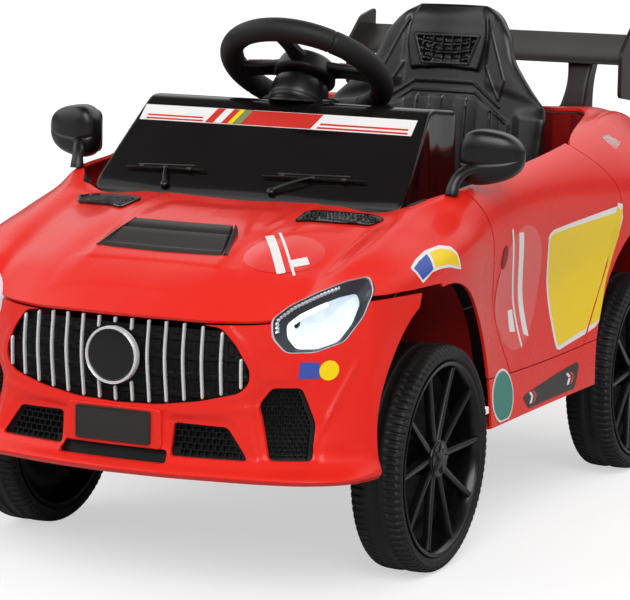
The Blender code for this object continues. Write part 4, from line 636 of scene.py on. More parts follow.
def film(outline, surface, lift, thick, rings=10, relief=None):
    """A thin sticker that follows a surface. Its outline, star-shaped about its middle, shrinks
    to that middle in rings, and each ring is laid on the surface, on both faces. Relief gives
    more height to the outer face at each place."""
    outline = np.asarray(outline, float)
    middle = outline.mean(0)
    share = np.linspace(1, 0, rings, endpoint=False)[:, None, None]
    flat = np.concatenate([(middle + (outline - middle) * share).reshape(-1, 2), middle[None]])
    point, normal = surface(flat[:, 0], flat[:, 1])
    around = len(outline)
    size = len(flat)
    high = lift + thick + (relief(flat) if relief else np.zeros(size))
    verts = np.concatenate([point + normal * high[:, None], point + normal * lift])
    faces = grid_faces(rings, around, wrap_columns=True)
    i = np.arange(around)
    j = (i + 1) % around
    last = (rings - 1) * around
    tip = joined(np.full(around, size - 1), last + i, last + j)
    edge = joined(i, j, j + size, i + size)
    a, b, c = verts[tip[0]]
    if np.cross(b - a, c - a) @ normal[-1] < 0:
        tip = tip[:, ::-1]
    a, b, c = verts[faces[0, :3]]
    if np.cross(b - a, c - a) @ normal[0] < 0:
        faces = faces[:, ::-1]
    a, b, c = verts[edge[0, :3]]
    if np.cross(b - a, c - a) @ (point[0] - point[-1]) < 0:
        edge = edge[:, ::-1]
    return verts, [faces, tip, faces[:, ::-1] + size, tip[:, ::-1] + size, edge]


# Materials

GROUPS = {}
FINISHES = {}


def node(tree, kind, values=(), **settings):
    """A shader node with its settings and its sockets' values. Nodes stand in a row, as made."""
    made = tree.nodes.new("ShaderNode" + kind)
    made.location = 220 * len(tree.nodes) - 1500, 0
    for key, value in settings.items():
        setattr(made, key, value)
    for socket, value in dict(values).items():
        made.inputs[socket].default_value = value
    return made


def wire(tree, *wires):
    """Joins nodes, each wire given as a node, its output, the next node and its input."""
    for first, out, last, into in wires:
        tree.links.new(first.outputs[out], last.inputs[into])


def draw_grain(tree, source, sink):
    """Fine relief of a moulded surface: small cells and finer noise."""
    scaled = node(tree, "VectorMath", operation="SCALE")
    cells = node(tree, "TexVoronoi", {"Scale": 1.0}, feature="SMOOTH_F1")
    fine = node(tree, "TexNoise", {"Scale": 2.3, "Detail": 3.0})
    both = node(tree, "Math", {1: 0.6}, operation="MULTIPLY_ADD")
    wire(tree, (source, "Vector", scaled, 0), (source, "Scale", scaled, "Scale"),
         (scaled, 0, cells, "Vector"), (scaled, 0, fine, "Vector"),
         (cells, "Distance", both, 0), (fine, 0, both, 2), (both, 0, sink, "Height"))


def draw_drift(tree, source, sink):
    """A colour that wanders a little towards a lighter and a darker one over some centimetres."""
    wide = node(tree, "TexNoise", {"Detail": 2.0})
    bend = node(tree, "MapRange", {"From Min": 0.3, "From Max": 0.7})
    lift = node(tree, "Math", operation="MULTIPLY")
    mix = node(tree, "Mix", data_type="RGBA")
    first, second, mixed = 6, 7, 2
    wire(tree, (source, "Vector", wide, "Vector"), (source, "Scale", wide, "Scale"), (wide, 0, bend, "Value"),
         (bend, 0, lift, 0), (source, "Amount", lift, 1), (lift, 0, mix, "Factor"),
         (source, "Colour", mix, first), (source, "Other", mix, second), (mix, mixed, sink, "Colour"))


def draw_smudge(tree, source, sink):
    """Roughness that rises and falls in soft patches, as on handled plastic."""
    patch = node(tree, "TexNoise", {"Detail": 4.0})
    spread = node(tree, "MapRange", {"From Min": 0.35, "From Max": 0.7})
    wire(tree, (source, "Vector", patch, "Vector"), (source, "Scale", patch, "Scale"),
         (patch, 0, spread, "Value"), (source, "Low", spread, "To Min"), (source, "High", spread, "To Max"),
         (spread, 0, sink, "Value"))


# Shared effects: what each takes, as (name, kind, default), what it gives and what draws it
EFFECTS = {
    "Tone drift": ((("Vector", "Vector", None), ("Colour", "Color", None), ("Other", "Color", None),
                    ("Scale", "Float", 9.0), ("Amount", "Float", 0.2)), ("Colour", "Color"), draw_drift),
    "Smudges": ((("Vector", "Vector", None), ("Scale", "Float", 14.0), ("Low", "Float", 0.3),
                 ("High", "Float", 0.4)), ("Value", "Float"), draw_smudge),
    "Moulded grain": ((("Vector", "Vector", None), ("Scale", "Float", 700.0)), ("Height", "Float"),
                      draw_grain),
}


def effect(tree, name, **values):
    """A node of a shared effect. Its group is built once: first its sockets, then its nodes."""
    if name not in GROUPS:
        takes, (result, result_kind), draw = EFFECTS[name]
        inner = GROUPS[name] = bpy.data.node_groups.new(name, "ShaderNodeTree")
        for label, kind, default in takes:
            made = inner.interface.new_socket(name=label, in_out="INPUT", socket_type="NodeSocket" + kind)
            if default is not None:
                made.default_value = default
        inner.interface.new_socket(name=result, in_out="OUTPUT", socket_type="NodeSocket" + result_kind)
        draw(inner, inner.nodes.new("NodeGroupInput"), inner.nodes.new("NodeGroupOutput"))
    return node(tree, "Group", values, node_tree=GROUPS[name])


def finish(name, colour, rough, metallic=0.0, coat=0.0, specular=0.5, grain=700.0, relief=0.02,
           drift=0.25, other=None, spread=0.05, glow=0.0, stretch=(1, 1, 1), wide=9.0, more=()):
    """A plastic or metal finish: colour drift, smudged roughness and moulded grain from the shared
    groups, on a Principled shader. More holds other values of the shader."""
    if name in FINISHES:
        return FINISHES[name]
    made = FINISHES[name] = bpy.data.materials.new(name)
    made.use_nodes = True
    tree = made.node_tree
    shader = tree.nodes["Principled BSDF"]
    place = node(tree, "TexCoord")
    mapping = node(tree, "Mapping", {"Scale": stretch})
    bump = node(tree, "Bump", {"Strength": relief, "Distance": 0.001})
    other = other or tuple(min(1.0, part * 1.35 + 0.004) for part in colour)
    tint = effect(tree, "Tone drift", Colour=(*colour, 1), Other=(*other, 1), Amount=drift, Scale=wide)
    patchy = effect(tree, "Smudges", Low=rough, High=rough + spread)
    moulded = effect(tree, "Moulded grain", Scale=grain)
    wire(tree, (place, "Object", mapping, "Vector"),
         *((mapping, 0, used, "Vector") for used in (tint, patchy, moulded)),
         (tint, 0, shader, "Base Color"), (patchy, 0, shader, "Roughness"), (moulded, 0, bump, "Height"),
         (bump, 0, shader, "Normal"))
    values = {"Metallic": metallic, "Specular IOR Level": specular, "Coat Weight": coat,
              "Coat Roughness": 0.04, **dict(more)}
    if glow:
        values.update({"Emission Color": (*colour, 1), "Emission Strength": glow})
    for socket, value in values.items():
        shader.inputs[socket].default_value = value
    return made


def finishes(context):
    """Every finish of the car, by its plain name."""
    hue = context.scene.ride_on_colours
    paint, satin, gloss = tuple(hue.paint), tuple(hue.satin), tuple(hue.gloss)
    plain = {"specular": 0.25, "coat": 0.12, "relief": 0.006, "drift": 0.15}
    return {
        "paint": finish("Red gloss paint", paint, 0.24, coat=0.15, relief=0.006, grain=260.0, drift=0.3,
                        other=(0.86, 0.034, 0.022), spread=0.05, wide=6.0, specular=0.14),
        # Red plastic of the wheel liners, the door pull's hollow and the cockpit's rear wall, darkened well below the
        # body's red to stand in for the shade in these hollows: painted shade.
        "liner": finish("Dark red liner", (0.26, 0.006, 0.006), 0.45, relief=0.03, grain=900.0, specular=0.3),
        "satin": finish("Satin black plastic", satin, 0.26, relief=0.04, grain=1100.0, spread=0.08,
                        specular=0.34, coat=0.1),
        "grained": finish("Grained black plastic", satin, 0.42, relief=0.16, grain=620.0, spread=0.1,
                          specular=0.28),
        "vinyl": finish("Seat vinyl", satin, 0.27, relief=0.12, grain=420.0, spread=0.1, specular=0.4,
                        coat=0.12),
        "gloss": finish("Gloss black plastic", gloss, 0.1, coat=0.3, relief=0.003, grain=240.0,
                        spread=0.05, specular=0.25),
        "rim": finish("Rim plastic", (0.0035, 0.0035, 0.0036), 0.18, relief=0.02, grain=900.0, spread=0.08,
                      specular=0.4),
        "leather": finish("Grip leather", satin, 0.46, relief=0.3, grain=430.0, spread=0.12, specular=0.3),
        "tyre": finish("Tyre plastic", (0.0075, 0.007, 0.0068), 0.45, relief=0.1, grain=900.0,
                       spread=0.12, specular=0.28),
        "chrome": finish("Chrome film", (0.62, 0.63, 0.65), 0.12, metallic=1.0, relief=0.004,
                         spread=0.08, drift=0.1),
        "slat": finish("Bright slat film", (0.8, 0.8, 0.82), 0.22, metallic=0.35, relief=0.004,
                       spread=0.08, drift=0.1),
        "steel": finish("Zinc-plated steel", (0.46, 0.47, 0.49), 0.3, metallic=1.0, relief=0.03,
                        spread=0.12, stretch=(0.2, 1, 1)),
        "grey": finish("Dark grey plastic", (0.024, 0.021, 0.02), 0.4, relief=0.06, grain=900.0,
                       specular=0.3),
        # Near-black plastic of the grille's back, the mesh nets and the wheel dishes; in the nose's slot and the
        # scoop's slot the same colour is laid as painted shade.
        "black deep": finish("Black recess plastic", (0.004, 0.004, 0.004), 0.45, relief=0.05, specular=0.15),
        "white film": finish("White film", (0.84, 0.82, 0.81), 0.3, **plain),
        "yellow film": finish("Yellow film", tuple(hue.yellow), 0.3, other=(0.97, 0.7, 0.006), **plain),
        "blue film": finish("Blue film", tuple(hue.blue), 0.3, **plain),
        "green film": finish("Green film", tuple(hue.green), 0.3, **plain),
        "olive film": finish("Olive film", (0.22, 0.25, 0.11), 0.3, **plain),
        "red film": finish("Red film", (0.6, 0.03, 0.02), 0.3, **plain),
        "black film": finish("Black film", (0.022, 0.016, 0.016), 0.3, **plain),
        "clear film": finish("Clear film edge", (0.78, 0.035, 0.027), 0.16, coat=0.4, specular=0.35,
                             relief=0.003, drift=0.25),
        "accent": finish("Dark red plastic", (0.12, 0.004, 0.005), 0.35, relief=0.05, specular=0.3),
    }


def closed(top, bottom):
    """A solid between two grids of one shape: both grids, and strips that join their borders."""
    rows, columns = top.shape[:2]
    size = rows * columns
    rim, after = border(rows, columns)
    face = grid_faces(rows, columns)
    verts = np.concatenate([top.reshape(-1, 3), bottom.reshape(-1, 3)])
    side = joined(rim, rim + size, after + size, after)
    return body_of((verts, [face, face[:, ::-1] + size, side[:, ::-1]]))


def spline(grid, axis=0, steps=6):
    """A quadratic B-spline through a control grid along one axis, which keeps its ends: between the
    middles of neighbouring edges it follows a parabola pulled to their common point."""
    grid = np.moveaxis(np.asarray(grid, float), axis, 0)
    middle = (grid[:-1] + grid[1:]) / 2
    middle[0], middle[-1] = grid[0], grid[-1]
    t = np.linspace(0, 1, steps, endpoint=False).reshape(1, -1, *([1] * (grid.ndim - 1)))
    arcs = (1 - t) ** 2 * middle[:-1, None] + 2 * t * (1 - t) * grid[1:-1, None] + t**2 * middle[1:, None]
    arcs = arcs.reshape(-1, *grid.shape[1:])
    return np.moveaxis(np.concatenate([arcs, grid[-1:]]), 0, axis)


def arch(centre, reach, top):
    """Half ellipse over a wheel as (y, z), with straight legs down to the floor from its foot, 32 mm
    above the axle."""
    foot = AXLE + 0.032
    angle = np.linspace(np.pi, 0, 49)
    bow = joined(centre + reach * np.cos(angle), foot + (top - foot) * np.sin(angle))
    return np.concatenate([[(centre - reach, 0.0)], bow, [(centre + reach, 0.0)]])


def front_arch(grow=0.0):
    return arch(FRONT - 0.012, 0.14 + grow, 0.307 + grow)


def rear_arch(grow=0.0):
    return arch(REAR - 0.012, 0.148 + grow, 0.318 + grow)


def arches(which):
    return [prism(which(), 0, side * 0.19, side * (HALF + 0.05)) for side, _ in SIDES]


def both(piece):
    return [piece, flipped(piece)]


# Frame of the headlight: its outline, drawn in to a share of its size and pushed along its facing

LAMP_OUTLINE = resampled(rounded(HEADLIGHT, 0.006, 7), 160)
LAMP_CENTRE = np.mean(np.asarray(HEADLIGHT, float), axis=0)


def lamp_rings(levels, outline=LAMP_OUTLINE):
    """Rings centre + (outline - centre) * share + facing * push, one for each (share, push)."""
    levels = np.asarray(levels, float)
    away = outline - LAMP_CENTRE
    return LAMP_CENTRE + away * levels[:, :1, None] + HEADLIGHT_FACING * levels[:, 1:, None]


def lamp_hollow():
    return body_of(loft(lamp_rings(((1.0, -0.03), (1.0, 0.03)))))


def stations(starts, ends, shares):
    """A table (rows, 9) of places on the long lines, from each line's start to its end."""
    starts, ends = np.asarray(starts), np.asarray(ends)
    return starts + (ends - starts) * np.asarray(shares)[:, None]


def two_stretches(inner, outer, shares, lowest, turn=CREST, top=56, side=64):
    """Skin whose seams differ above and below the crest. Both hold starts and ends of the lines, and
    from the column named turn up to the crest the inner skin passes evenly into the outer one."""
    crown = np.broadcast_to(np.linspace(0, CREST, top, endpoint=False), (len(shares), top))
    flank = CREST + (np.asarray(lowest)[:, None] - CREST) * np.linspace(0, 1, side)
    points, other = (skin(stations(*ends, shares), crown) for ends in (inner, outer))
    part = np.clip((crown - turn) / max(CREST - turn, 1e-9), 0, 1)[..., None]
    return np.concatenate([points + (other - points) * part, skin(stations(*outer, shares), flank)], axis=1)


def bonnet_creases(x, y):
    """Height of the bonnet's raised middle: 1 mm within a width that grows from 80 to 95 mm, and a
    lower step of 0.6 mm ahead of it. Both edges are 5 mm wide."""
    wide = np.interp(y, (-0.45, -0.36, -0.3, -0.25), (0.08, 0.081, 0.094, 0.096))
    upper = smooth(0.0, -0.005, np.abs(x) - wide) * smooth(-0.425, -0.42, y + 0.6 * x**2)
    lower = smooth(0.0, -0.005, np.abs(x) - 0.099) * smooth(-0.466, -0.461, y + 0.5 * x**2) \
        * smooth(-0.415, -0.425, y)
    return 0.001 * upper + 0.0006 * np.maximum(lower, upper)


def add_inner_wings(looks):
    """Inner mouldings of the wheels. Beside each wheel stands a plate with pressed ribs that follow
    the arch, and over it a band, the arch's outline pushed along X. A ribbed panel joins the front
    pair ahead of the steering gear."""
    for which, grow, near, far, low, word in ((front_arch, 0.01, 0.1453, 0.23, 0.185, "front"),
                                              (rear_arch, 0.002, 0.179, 0.242, 0.15, "rear")):
        line = which(grow)[1:-1]
        kept = line[:, 1] > low
        grids = []
        for edge in (line[kept], which(grow + 0.0016)[1:-1][kept]):
            x = np.linspace(near + 0.0012, far, 8)[:, None]
            grids.append(joined(x, edge[:, 0], edge[:, 1]))
        rim = which(grow + 0.0008)[1:-1]
        centre = np.array((rim[:, 0].mean(), rim[:, 1].min()))
        share = np.linspace(1, 0.02, 60)[:, None, None]
        flat = centre + (rim - centre) * share
        ribs = 0.0012 * smooth(0.2, 0.6, np.cos(2 * np.pi * share[..., 0] / 0.16)) + 0 * flat[..., 0]
        outer = np.concatenate([(near + 0.0022 + ribs)[..., None], flat], axis=2)
        inner = np.concatenate([near + 0 * flat[..., :1], flat], axis=2)
        both_parts = body_of(closed(*grids), closed(outer, inner))
        if word == "rear":
            # The wells take the red in painted shade: the arch's shade is painted into their colour.
            add_pair("rear_wheel_well", both_parts, looks["liner"])
            continue
        x, z = np.meshgrid(np.linspace(-0.1466, 0.1466, 160), np.linspace(0.1503, 0.225, 24))
        rib = 0.0009 * smooth(0.1, 0.5, np.cos(2 * np.pi * x / 0.03)) * smooth(0.155, 0.16, z) \
            * smooth(0.221, 0.216, z)
        front = joined(x, FRONT - 0.147 - rib, z)
        wall = closed(front, joined(x, FRONT - 0.1445, z))
        # The front wells and the panel between them take the red in painted shade: the arch's shade is painted into
        # their colour.
        add("front_wheel_wells_lining", body_of(both_parts, flipped(both_parts), wall), looks["liner"],
            "body", ["front_wheel_wells"])


class RIDEON_OT_bodywork(bpy.types.Operator):
    """Makes the painted panels: the front and rear bodies, the doors and the sills"""
    bl_idname = "ride_on.bodywork"
    bl_label = "Bodywork"

    def execute(self, context):
        looks = finishes(context)
        paint, wall = looks["paint"], context.scene.ride_on_sizes.shell
        shares = np.linspace(0, 1, 130)
        seam = np.interp(shares, (0, 0.2, 0.4), (5.08, 5.28, 5.4))
        lowest = np.where(shares > 0.42, np.interp(shares, (0.42, 0.72), (5.4, SEAM_COLUMN)), seam)
        cowl = [FRONT + back for back in (0.028, 0.027, 0.025, 0.021, 0.054)]
        starts = [line[0][0] - 0.0016 for line in LINES]
        door = [place - SEAM for place in DOOR_FRONT]
        points = two_stretches((starts, cowl + door[5:]), (starts, door), shares, lowest, turn=3.5)
        points[..., 2] += bonnet_creases(points[..., 0], points[..., 1])
        made = add("bonnet_and_wings", shell(mirrored(points), wall), paint, "body", ["front_body"])
        carve(made, arches(front_arch) + both(lamp_hollow()))

        shares = np.linspace(0, 1, 110)
        rim = [REAR + back for back in (0.036, 0.036, -0.008, -0.036)]
        tail = (0.014, 0.016, 0.022, 0.034, 0.056, 0.084, 0.086, 0.086, 0.086)
        ends = [TAIL - ahead for ahead in tail]
        points = two_stretches((rim + DOOR_REAR[4:], ends), (DOOR_REAR, ends), shares, [SEAM_COLUMN] * 110)
        made = add("rear_quarters", shell(mirrored(points), wall), paint, "body", ["rear_body"])
        carve(made, arches(rear_arch))

        shares = np.linspace(0, 1, 96)
        columns = np.concatenate([[CREST - 0.12], CREST + (SEAM_COLUMN - CREST) * np.linspace(0, 1, 90)])
        seams = [seam + SEAM for seam in DOOR_FRONT], [seam - 1.5 * SEAM for seam in DOOR_REAR]
        points = skin(stations(*seams, shares), np.broadcast_to(columns, (96, 91)))
        panel = shell(points, wall)
        add_pair("door_skin", panel, paint, rider="door", stands_for="door")

        shares = np.linspace(0, 1, 110)
        columns = np.linspace(SILL_COLUMN, 8, 26)
        span = [FRONT + 0.08] * 9, [REAR - 0.11] * 9
        points = skin(stations(*span, shares), np.broadcast_to(columns, (110, 26)))
        foot = points[:, -1:]
        under = np.concatenate([foot + (-0.004, 0, -0.0012), foot + (-0.012, 0, -0.0015),
                                foot + (-0.03, 0, 0.0005)], axis=1)
        panel = shell(np.concatenate([points, under], axis=1), wall * 0.8)
        grown = prism(front_arch(0.01), 0, 0.19, HALF - 0.02)
        tools = [prism(front_arch(), 0, 0.19, 0.32), prism(rear_arch(), 0, 0.19, 0.32), grown]
        for made, (side, _) in zip(add_pair("sill_skin", panel, paint, stands_for="sill"), SIDES):
            carve(made, [on_flank(tool, side) for tool in tools])
        add_inner_wings(looks)
        return {"FINISHED"}


def nose_relief(points, outward):
    """Moves the fascia along its normals: 3 mm in towards each mesh opening over 11 mm, a bead of
    1 mm round the grille, a raised band above the lip, and a soft ridge from the plate's bracket out
    to the outer mesh."""
    flat = joined(np.abs(points[..., 0]), points[..., 2]).reshape(-1, 2)
    shape = points.shape[:2]
    inner = distance_to(flat, INNER_MESH).reshape(shape)
    outer = distance_to(flat, OUTER_MESH).reshape(shape)
    grille = np.concatenate([GRILLE_HALF, [(-x, z) for x, z in GRILLE_HALF[-2:0:-1]]])
    round_grille = distance_to(flat, grille).reshape(shape)
    x, z = np.abs(points[..., 0]), points[..., 2]
    height = -0.0032 * smooth(0.012, 0.001, inner) - 0.003 * smooth(0.01, 0.001, outer)
    height += 0.0011 * np.exp(-(((round_grille - 0.0045) / 0.0028) ** 2))
    crest = 0.189 + 0.12 * np.clip(x - 0.055, 0, 0.1)
    height += 0.0016 * np.exp(-(((z - crest) / 0.0045) ** 2)) * smooth(0.05, 0.07, x) * smooth(0.175, 0.14, x)
    height += 0.0014 * smooth(0.0035, 0, np.abs(x - 0.212 - 0.35 * (z - 0.2))) * smooth(0.15, 0.17, z) \
        * smooth(0.25, 0.235, z)
    return points + outward * (height * smooth(LOW + 0.016, LOW + 0.024, z))[..., None]


SLOT = ((-0.062, 0.1405), (0.062, 0.1405), (0.058, 0.1535), (-0.058, 0.1535))
PLATE_LOW, PLATE_HIGH = 0.157, 0.191


def fascia_grid(rows, across_ends, level_ends, columns, levels):
    """A half grid (levels, columns) of a fascia between two columns and two levels."""
    column, level = np.meshgrid(np.linspace(*across_ends, columns), np.linspace(*level_ends, levels))
    return fascia(rows, column, level)


def add_bracket(looks):
    """Rounded block that carries the number plate: its outline shrinks as it rises."""
    reach, low, high = 0.0547, PLATE_LOW - 0.004, PLATE_HIGH + 0.003
    outline = rounded(((-reach, low), (reach, low), (reach * 0.97, high), (-reach * 0.97, high)), 0.005)
    outline = resampled(outline, 120)

    def spot(flat, rise):
        return np.column_stack([flat[:, 0], np.full(len(flat), -0.5 - rise), flat[:, 1]])
    block = slab(outline, spot, -0.006, 0.0008, bevel=0.0016, steps=5)
    add("plate_bracket", body_of(block), looks["paint"], "body")


def add_plate(looks):
    """Plate with a raised rim: a grid whose height rises 0.5 mm near its rounded outline."""
    half = 0.0427
    outline = soft_outline(((-half, PLATE_LOW), (half, PLATE_LOW), (half, PLATE_HIGH), (-half, PLATE_HIGH)),
                           0.003, 120)
    levels = ((0.0, 0.0), (0.0, 0.0022), (0.0005, 0.0028), (0.0016, 0.0028), (0.0022, 0.0021))
    centre = outline.mean(0)
    rings = [inset(outline, shift) for shift, rise in levels]
    rings += [centre + (rings[-1] - centre) * share for share in (0.6, 0.2)]
    rises = [rise for shift, rise in levels] + [0.0021, 0.0021]
    stack = np.stack([np.column_stack([ring[:, 0], np.full(120, -0.5012 - rise), ring[:, 1]])
                      for ring, rise in zip(rings, rises)])
    add("bare_plate", body_of(loft(stack)), looks["grey"], "body", ["number_plate"])


def add_inserts(looks):
    """Black mesh behind the openings. The grid's depth is a raised net: cells of a honeycomb or of
    a square grid sink 2.5 mm between bars, and a frame 3 mm wide stays raised."""
    for name, outline, columns, levels, pitch in (
        ("inner", INNER_MESH, (0.93, 2.57), (2.1, 3.6), (0.0072, 0.006)),
        ("outer", OUTER_MESH, (2.62, 4.2), (2.1, 4.4), (0.0048, 0.0042)),
    ):
        points = fascia_grid(FASCIA, columns, levels, 220, 170 if name == "inner" else 230)
        outward = normals(points)
        x, z = points[..., 0], points[..., 2]
        row = np.floor(z / pitch[1])
        across_cell = np.abs((x / pitch[0] + 0.5 * (row % 2)) % 1 - 0.5) * 2
        up_cell = np.abs((z / pitch[1]) % 1 - 0.5) * 2
        bar = np.maximum(across_cell, up_cell)
        near = distance_to(joined(x, z).reshape(-1, 2), outline).reshape(x.shape)
        rise = np.maximum(smooth(0.72, 0.8, bar), smooth(-0.0032, -0.0022, near))
        top = points - outward * (0.0072 + 0.0048 * (1 - rise))[..., None]
        piece = closed(top, points - outward * 0.013)
        add_pair(f"{name}_net", piece, looks["black deep"], stands_for=f"{name}_mesh")
    # A black sheet behind the nose's lower slot stands for the shade inside the bumper: painted shade.
    back = mirrored(fascia_grid(FASCIA, (0, 1.2), (0.9, 2.6), 24, 10))
    outward = normals(back)
    add("slot_back", closed(back - outward * 0.0075, back - outward * 0.009), looks["black deep"], "body")


class RIDEON_OT_nose(bpy.types.Operator):
    """Makes the front bumper with its plate's bracket, the mesh inserts and the number plate"""
    bl_idname = "ride_on.nose"
    bl_label = "Front bumper"

    def execute(self, context):
        looks = finishes(context)
        wall = context.scene.ride_on_sizes.shell
        points = mirrored(fascia_grid(FASCIA, (0, 7), (0, 6), 130, 84))
        outward = normals(points)
        points = nose_relief(points, outward)
        made = add("nose_skin", shell(points, wall, outward), looks["paint"], "body", ["front_bumper"], sharp=28)
        grille = rounded(np.concatenate([GRILLE_HALF, [(-x, z) for x, z in GRILLE_HALF[-2:0:-1]]]), 0.006, 5)
        openings = [prism(outline, 1, NOSE - 0.02, NOSE + 0.07) for outline in (grille, rounded(SLOT, 0.004))]
        for outline in (INNER_MESH, OUTER_MESH):
            openings += both(prism(rounded(outline, 0.005), 1, NOSE - 0.02, NOSE + 0.12))
        carve(made, openings + arches(front_arch) + both(lamp_hollow()), sharp=28)
        add_bracket(looks)
        add_plate(looks)
        add_inserts(looks)
        return {"FINISHED"}


def slat_span(x):
    """Lowest and highest point of the grille's opening beside the centre line."""
    half = np.asarray(GRILLE_HALF)
    upper, lower = half[:5], half[:3:-1]
    return np.interp(x, lower[:, 0], lower[:, 1]) + 0.0012, np.interp(x, upper[:, 0], upper[:, 1]) - 0.0012


def add_slats(looks, count, pitch):
    """Each slat is a rounded section, 2.6 mm wide and 5 mm deep, carried up the fascia, with ends
    that draw in over their last 2 mm."""
    angle = full_turn(14)
    section = joined(*(half * np.sign(wave) * np.abs(wave) ** 0.7
                       for half, wave in ((0.0013, np.cos(angle)), (0.0026, np.sin(angle)))))
    spans = []
    for number in range(count):
        x = (number - (count - 1) / 2) * pitch
        low, high = slat_span(abs(x) + 0.0016)
        gap = math.sqrt(max(0.0, 0.0318**2 - x**2))
        spans += [(x, low, 0.245 - gap), (x, 0.245 + gap, high)] if gap else [(x, low, high)]
    pieces = []
    for x, low, high in spans:
        z = low + (high - low) * (0.5 - 0.5 * np.cos(np.linspace(0, np.pi, 26)))
        place, _ = on_front(np.full(26, x), z)
        ends = np.minimum(1, 0.35 + np.minimum(z - low, high - z) / 0.002)
        path = place + np.array((0, 0.001, 0))
        pieces.append(sweep(path, np.tile((1.0, 0, 0), (26, 1)), np.tile((0, -1.0, 0), (26, 1)),
                            section * ends[:, None, None]))
    add("grille_bars", body_of(*pieces), looks["slat"], "body", ["grille_slats"])


def add_badge(looks):
    """Two thin rings on one band, and a black disc that is bare and a little domed."""
    face = float(on_front(np.zeros(1), np.full(1, 0.245))[0][0, 1])
    place = Matrix.Translation((0, face, 0.245)) @ Matrix.Rotation(math.pi / 2, 4, "Z")
    angle = np.linspace(0, np.pi, 9)
    ridges = [(-0.004 - 0.0012 * np.sin(angle), start + 0.0013 * (np.arange(9) / 8))
              for start in (0.0265, 0.028)]
    foot = [(0.0022, 0.0293), (0.0022, 0.0265)]
    outline = np.concatenate([np.stack(ridge, axis=1) for ridge in ridges] + [foot])
    add("badge_rings", body_of(turned(outline, 96, place)), looks["slat"], "body", ["badge_ring"])
    radius = np.array((0.0, 0.008, 0.016, 0.022, 0.025, 0.0259, 0.0262, 0.0262, 0.02, 0.0))
    along = np.array((-0.0042, -0.00415, -0.0039, -0.0035, -0.0031, -0.0036, -0.0034, 0.0022, 0.0022, 0.0022))
    dome = joined(along, radius)[1:-1]
    add("badge_face", body_of(lathe(dome, 96, place)), looks["satin"], "body", ["badge_disc"])


class RIDEON_OT_grille(bpy.types.Operator):
    """Makes the grille: its black back, the chrome slats and the badge's ring"""
    bl_idname = "ride_on.grille"
    bl_label = "Grille"

    def execute(self, context):
        looks = finishes(context)
        points = mirrored(fascia_grid(FASCIA, (0, 2.53), (3.95, 5.85), 150, 120))
        outward = normals(points)
        x, z = points[..., 0], points[..., 2]
        count = context.scene.ride_on_sizes.slats
        pitch = 2 * (0.14 - 0.0084) / (count - 1)
        bars = np.min(np.abs(z[..., None] - np.array((0.2085, 0.2275, 0.2475, 0.2675))), axis=-1)
        block = smooth(0.0036, 0.0024, bars)
        channel = smooth(0.0026, 0.0034, np.abs((x / pitch) % 1 - 0.5) * pitch)
        depth = 0.0056 + 0.0022 * (1 - block) * (1 - 0.5 * channel)
        add("grille_back", closed(points - outward * depth[..., None], points - outward * 0.0095),
            looks["black deep"], "body", ["grille_panel"])
        add_slats(looks, count, pitch)
        add_badge(looks)
        return {"FINISHED"}


def offset_rings(levels):
    """Rings of the lamp that also slide down and outwards by up to 3 mm, so that the dark surround
    is broad along the top and thin below."""
    slide = np.array((0.0016, 0.0, -0.0036))
    return np.concatenate([lamp_rings(((share, push),)) + slide * part for share, part, push in levels])


def add_lamp_details(looks, band):
    """A bright tube runs along the bowl's lower and inner edge at 0.66 of the outline's size, and
    the cut strip is a row of small ridges below it. A dark round lamp sits at the inner end."""
    walk = LAMP_OUTLINE
    count = len(walk)
    order = (np.argmax(walk[:, 1]) + np.arange(count)) % count
    slide = np.array((0.0016, 0.0, -0.0036))
    path = (LAMP_CENTRE + (walk[order] - LAMP_CENTRE) * 0.615 - HEADLIGHT_FACING * 0.0098 + slide)[20:132]
    up = np.broadcast_to(HEADLIGHT_FACING, path.shape)
    angle = full_turn(16)
    section = joined(0.0036 * np.cos(angle), 0.0024 * np.sin(angle))
    rail = body_of(sweep(path, beside(path, up), up, section))
    lower = (LAMP_CENTRE + (walk[order] - LAMP_CENTRE) * 0.885 - HEADLIGHT_FACING * 0.0052)[86:140]
    t = np.linspace(0, len(lower) - 1, 180)
    lower = np.stack([np.interp(t, np.arange(len(lower)), lower[:, k]) for k in range(3)], axis=1)
    up = np.broadcast_to(HEADLIGHT_FACING, lower.shape)
    tooth = 1 + 1.1 * np.abs((np.arange(180) / 9) % 1 - 0.5)
    section = joined(0.0021 * np.cos(angle), 0.0013 * np.sin(angle))
    strip = body_of(sweep(lower, beside(lower, up), up, section[None] * tooth[:, None, None]))
    seat = LAMP_CENTRE + (walk[np.argmin(walk[:, 1])] - LAMP_CENTRE) * 0.5 - HEADLIGHT_FACING * 0.0102
    run = seat + HEADLIGHT_FACING * np.linspace(0, 0.0034, 9)[:, None]
    lens = tube(run, 0.0046 * np.sqrt(np.clip(1 - np.linspace(0, 0.97, 9) ** 4, 0.02, 1)), 24, (0, 0, 1), 1.3)
    for name, piece, material in (("band", rail, band), ("strip", strip, looks["chrome"]),
                                  ("lamp", body_of(lens), looks["grey"])):
        add_pair(f"headlight_{name}", piece, material)


def beside(path, up):
    """Unit vectors across a path and its up vectors."""
    along = np.gradient(path, axis=0)
    found = np.cross(along, up)
    return found / np.linalg.norm(found, axis=1, keepdims=True)


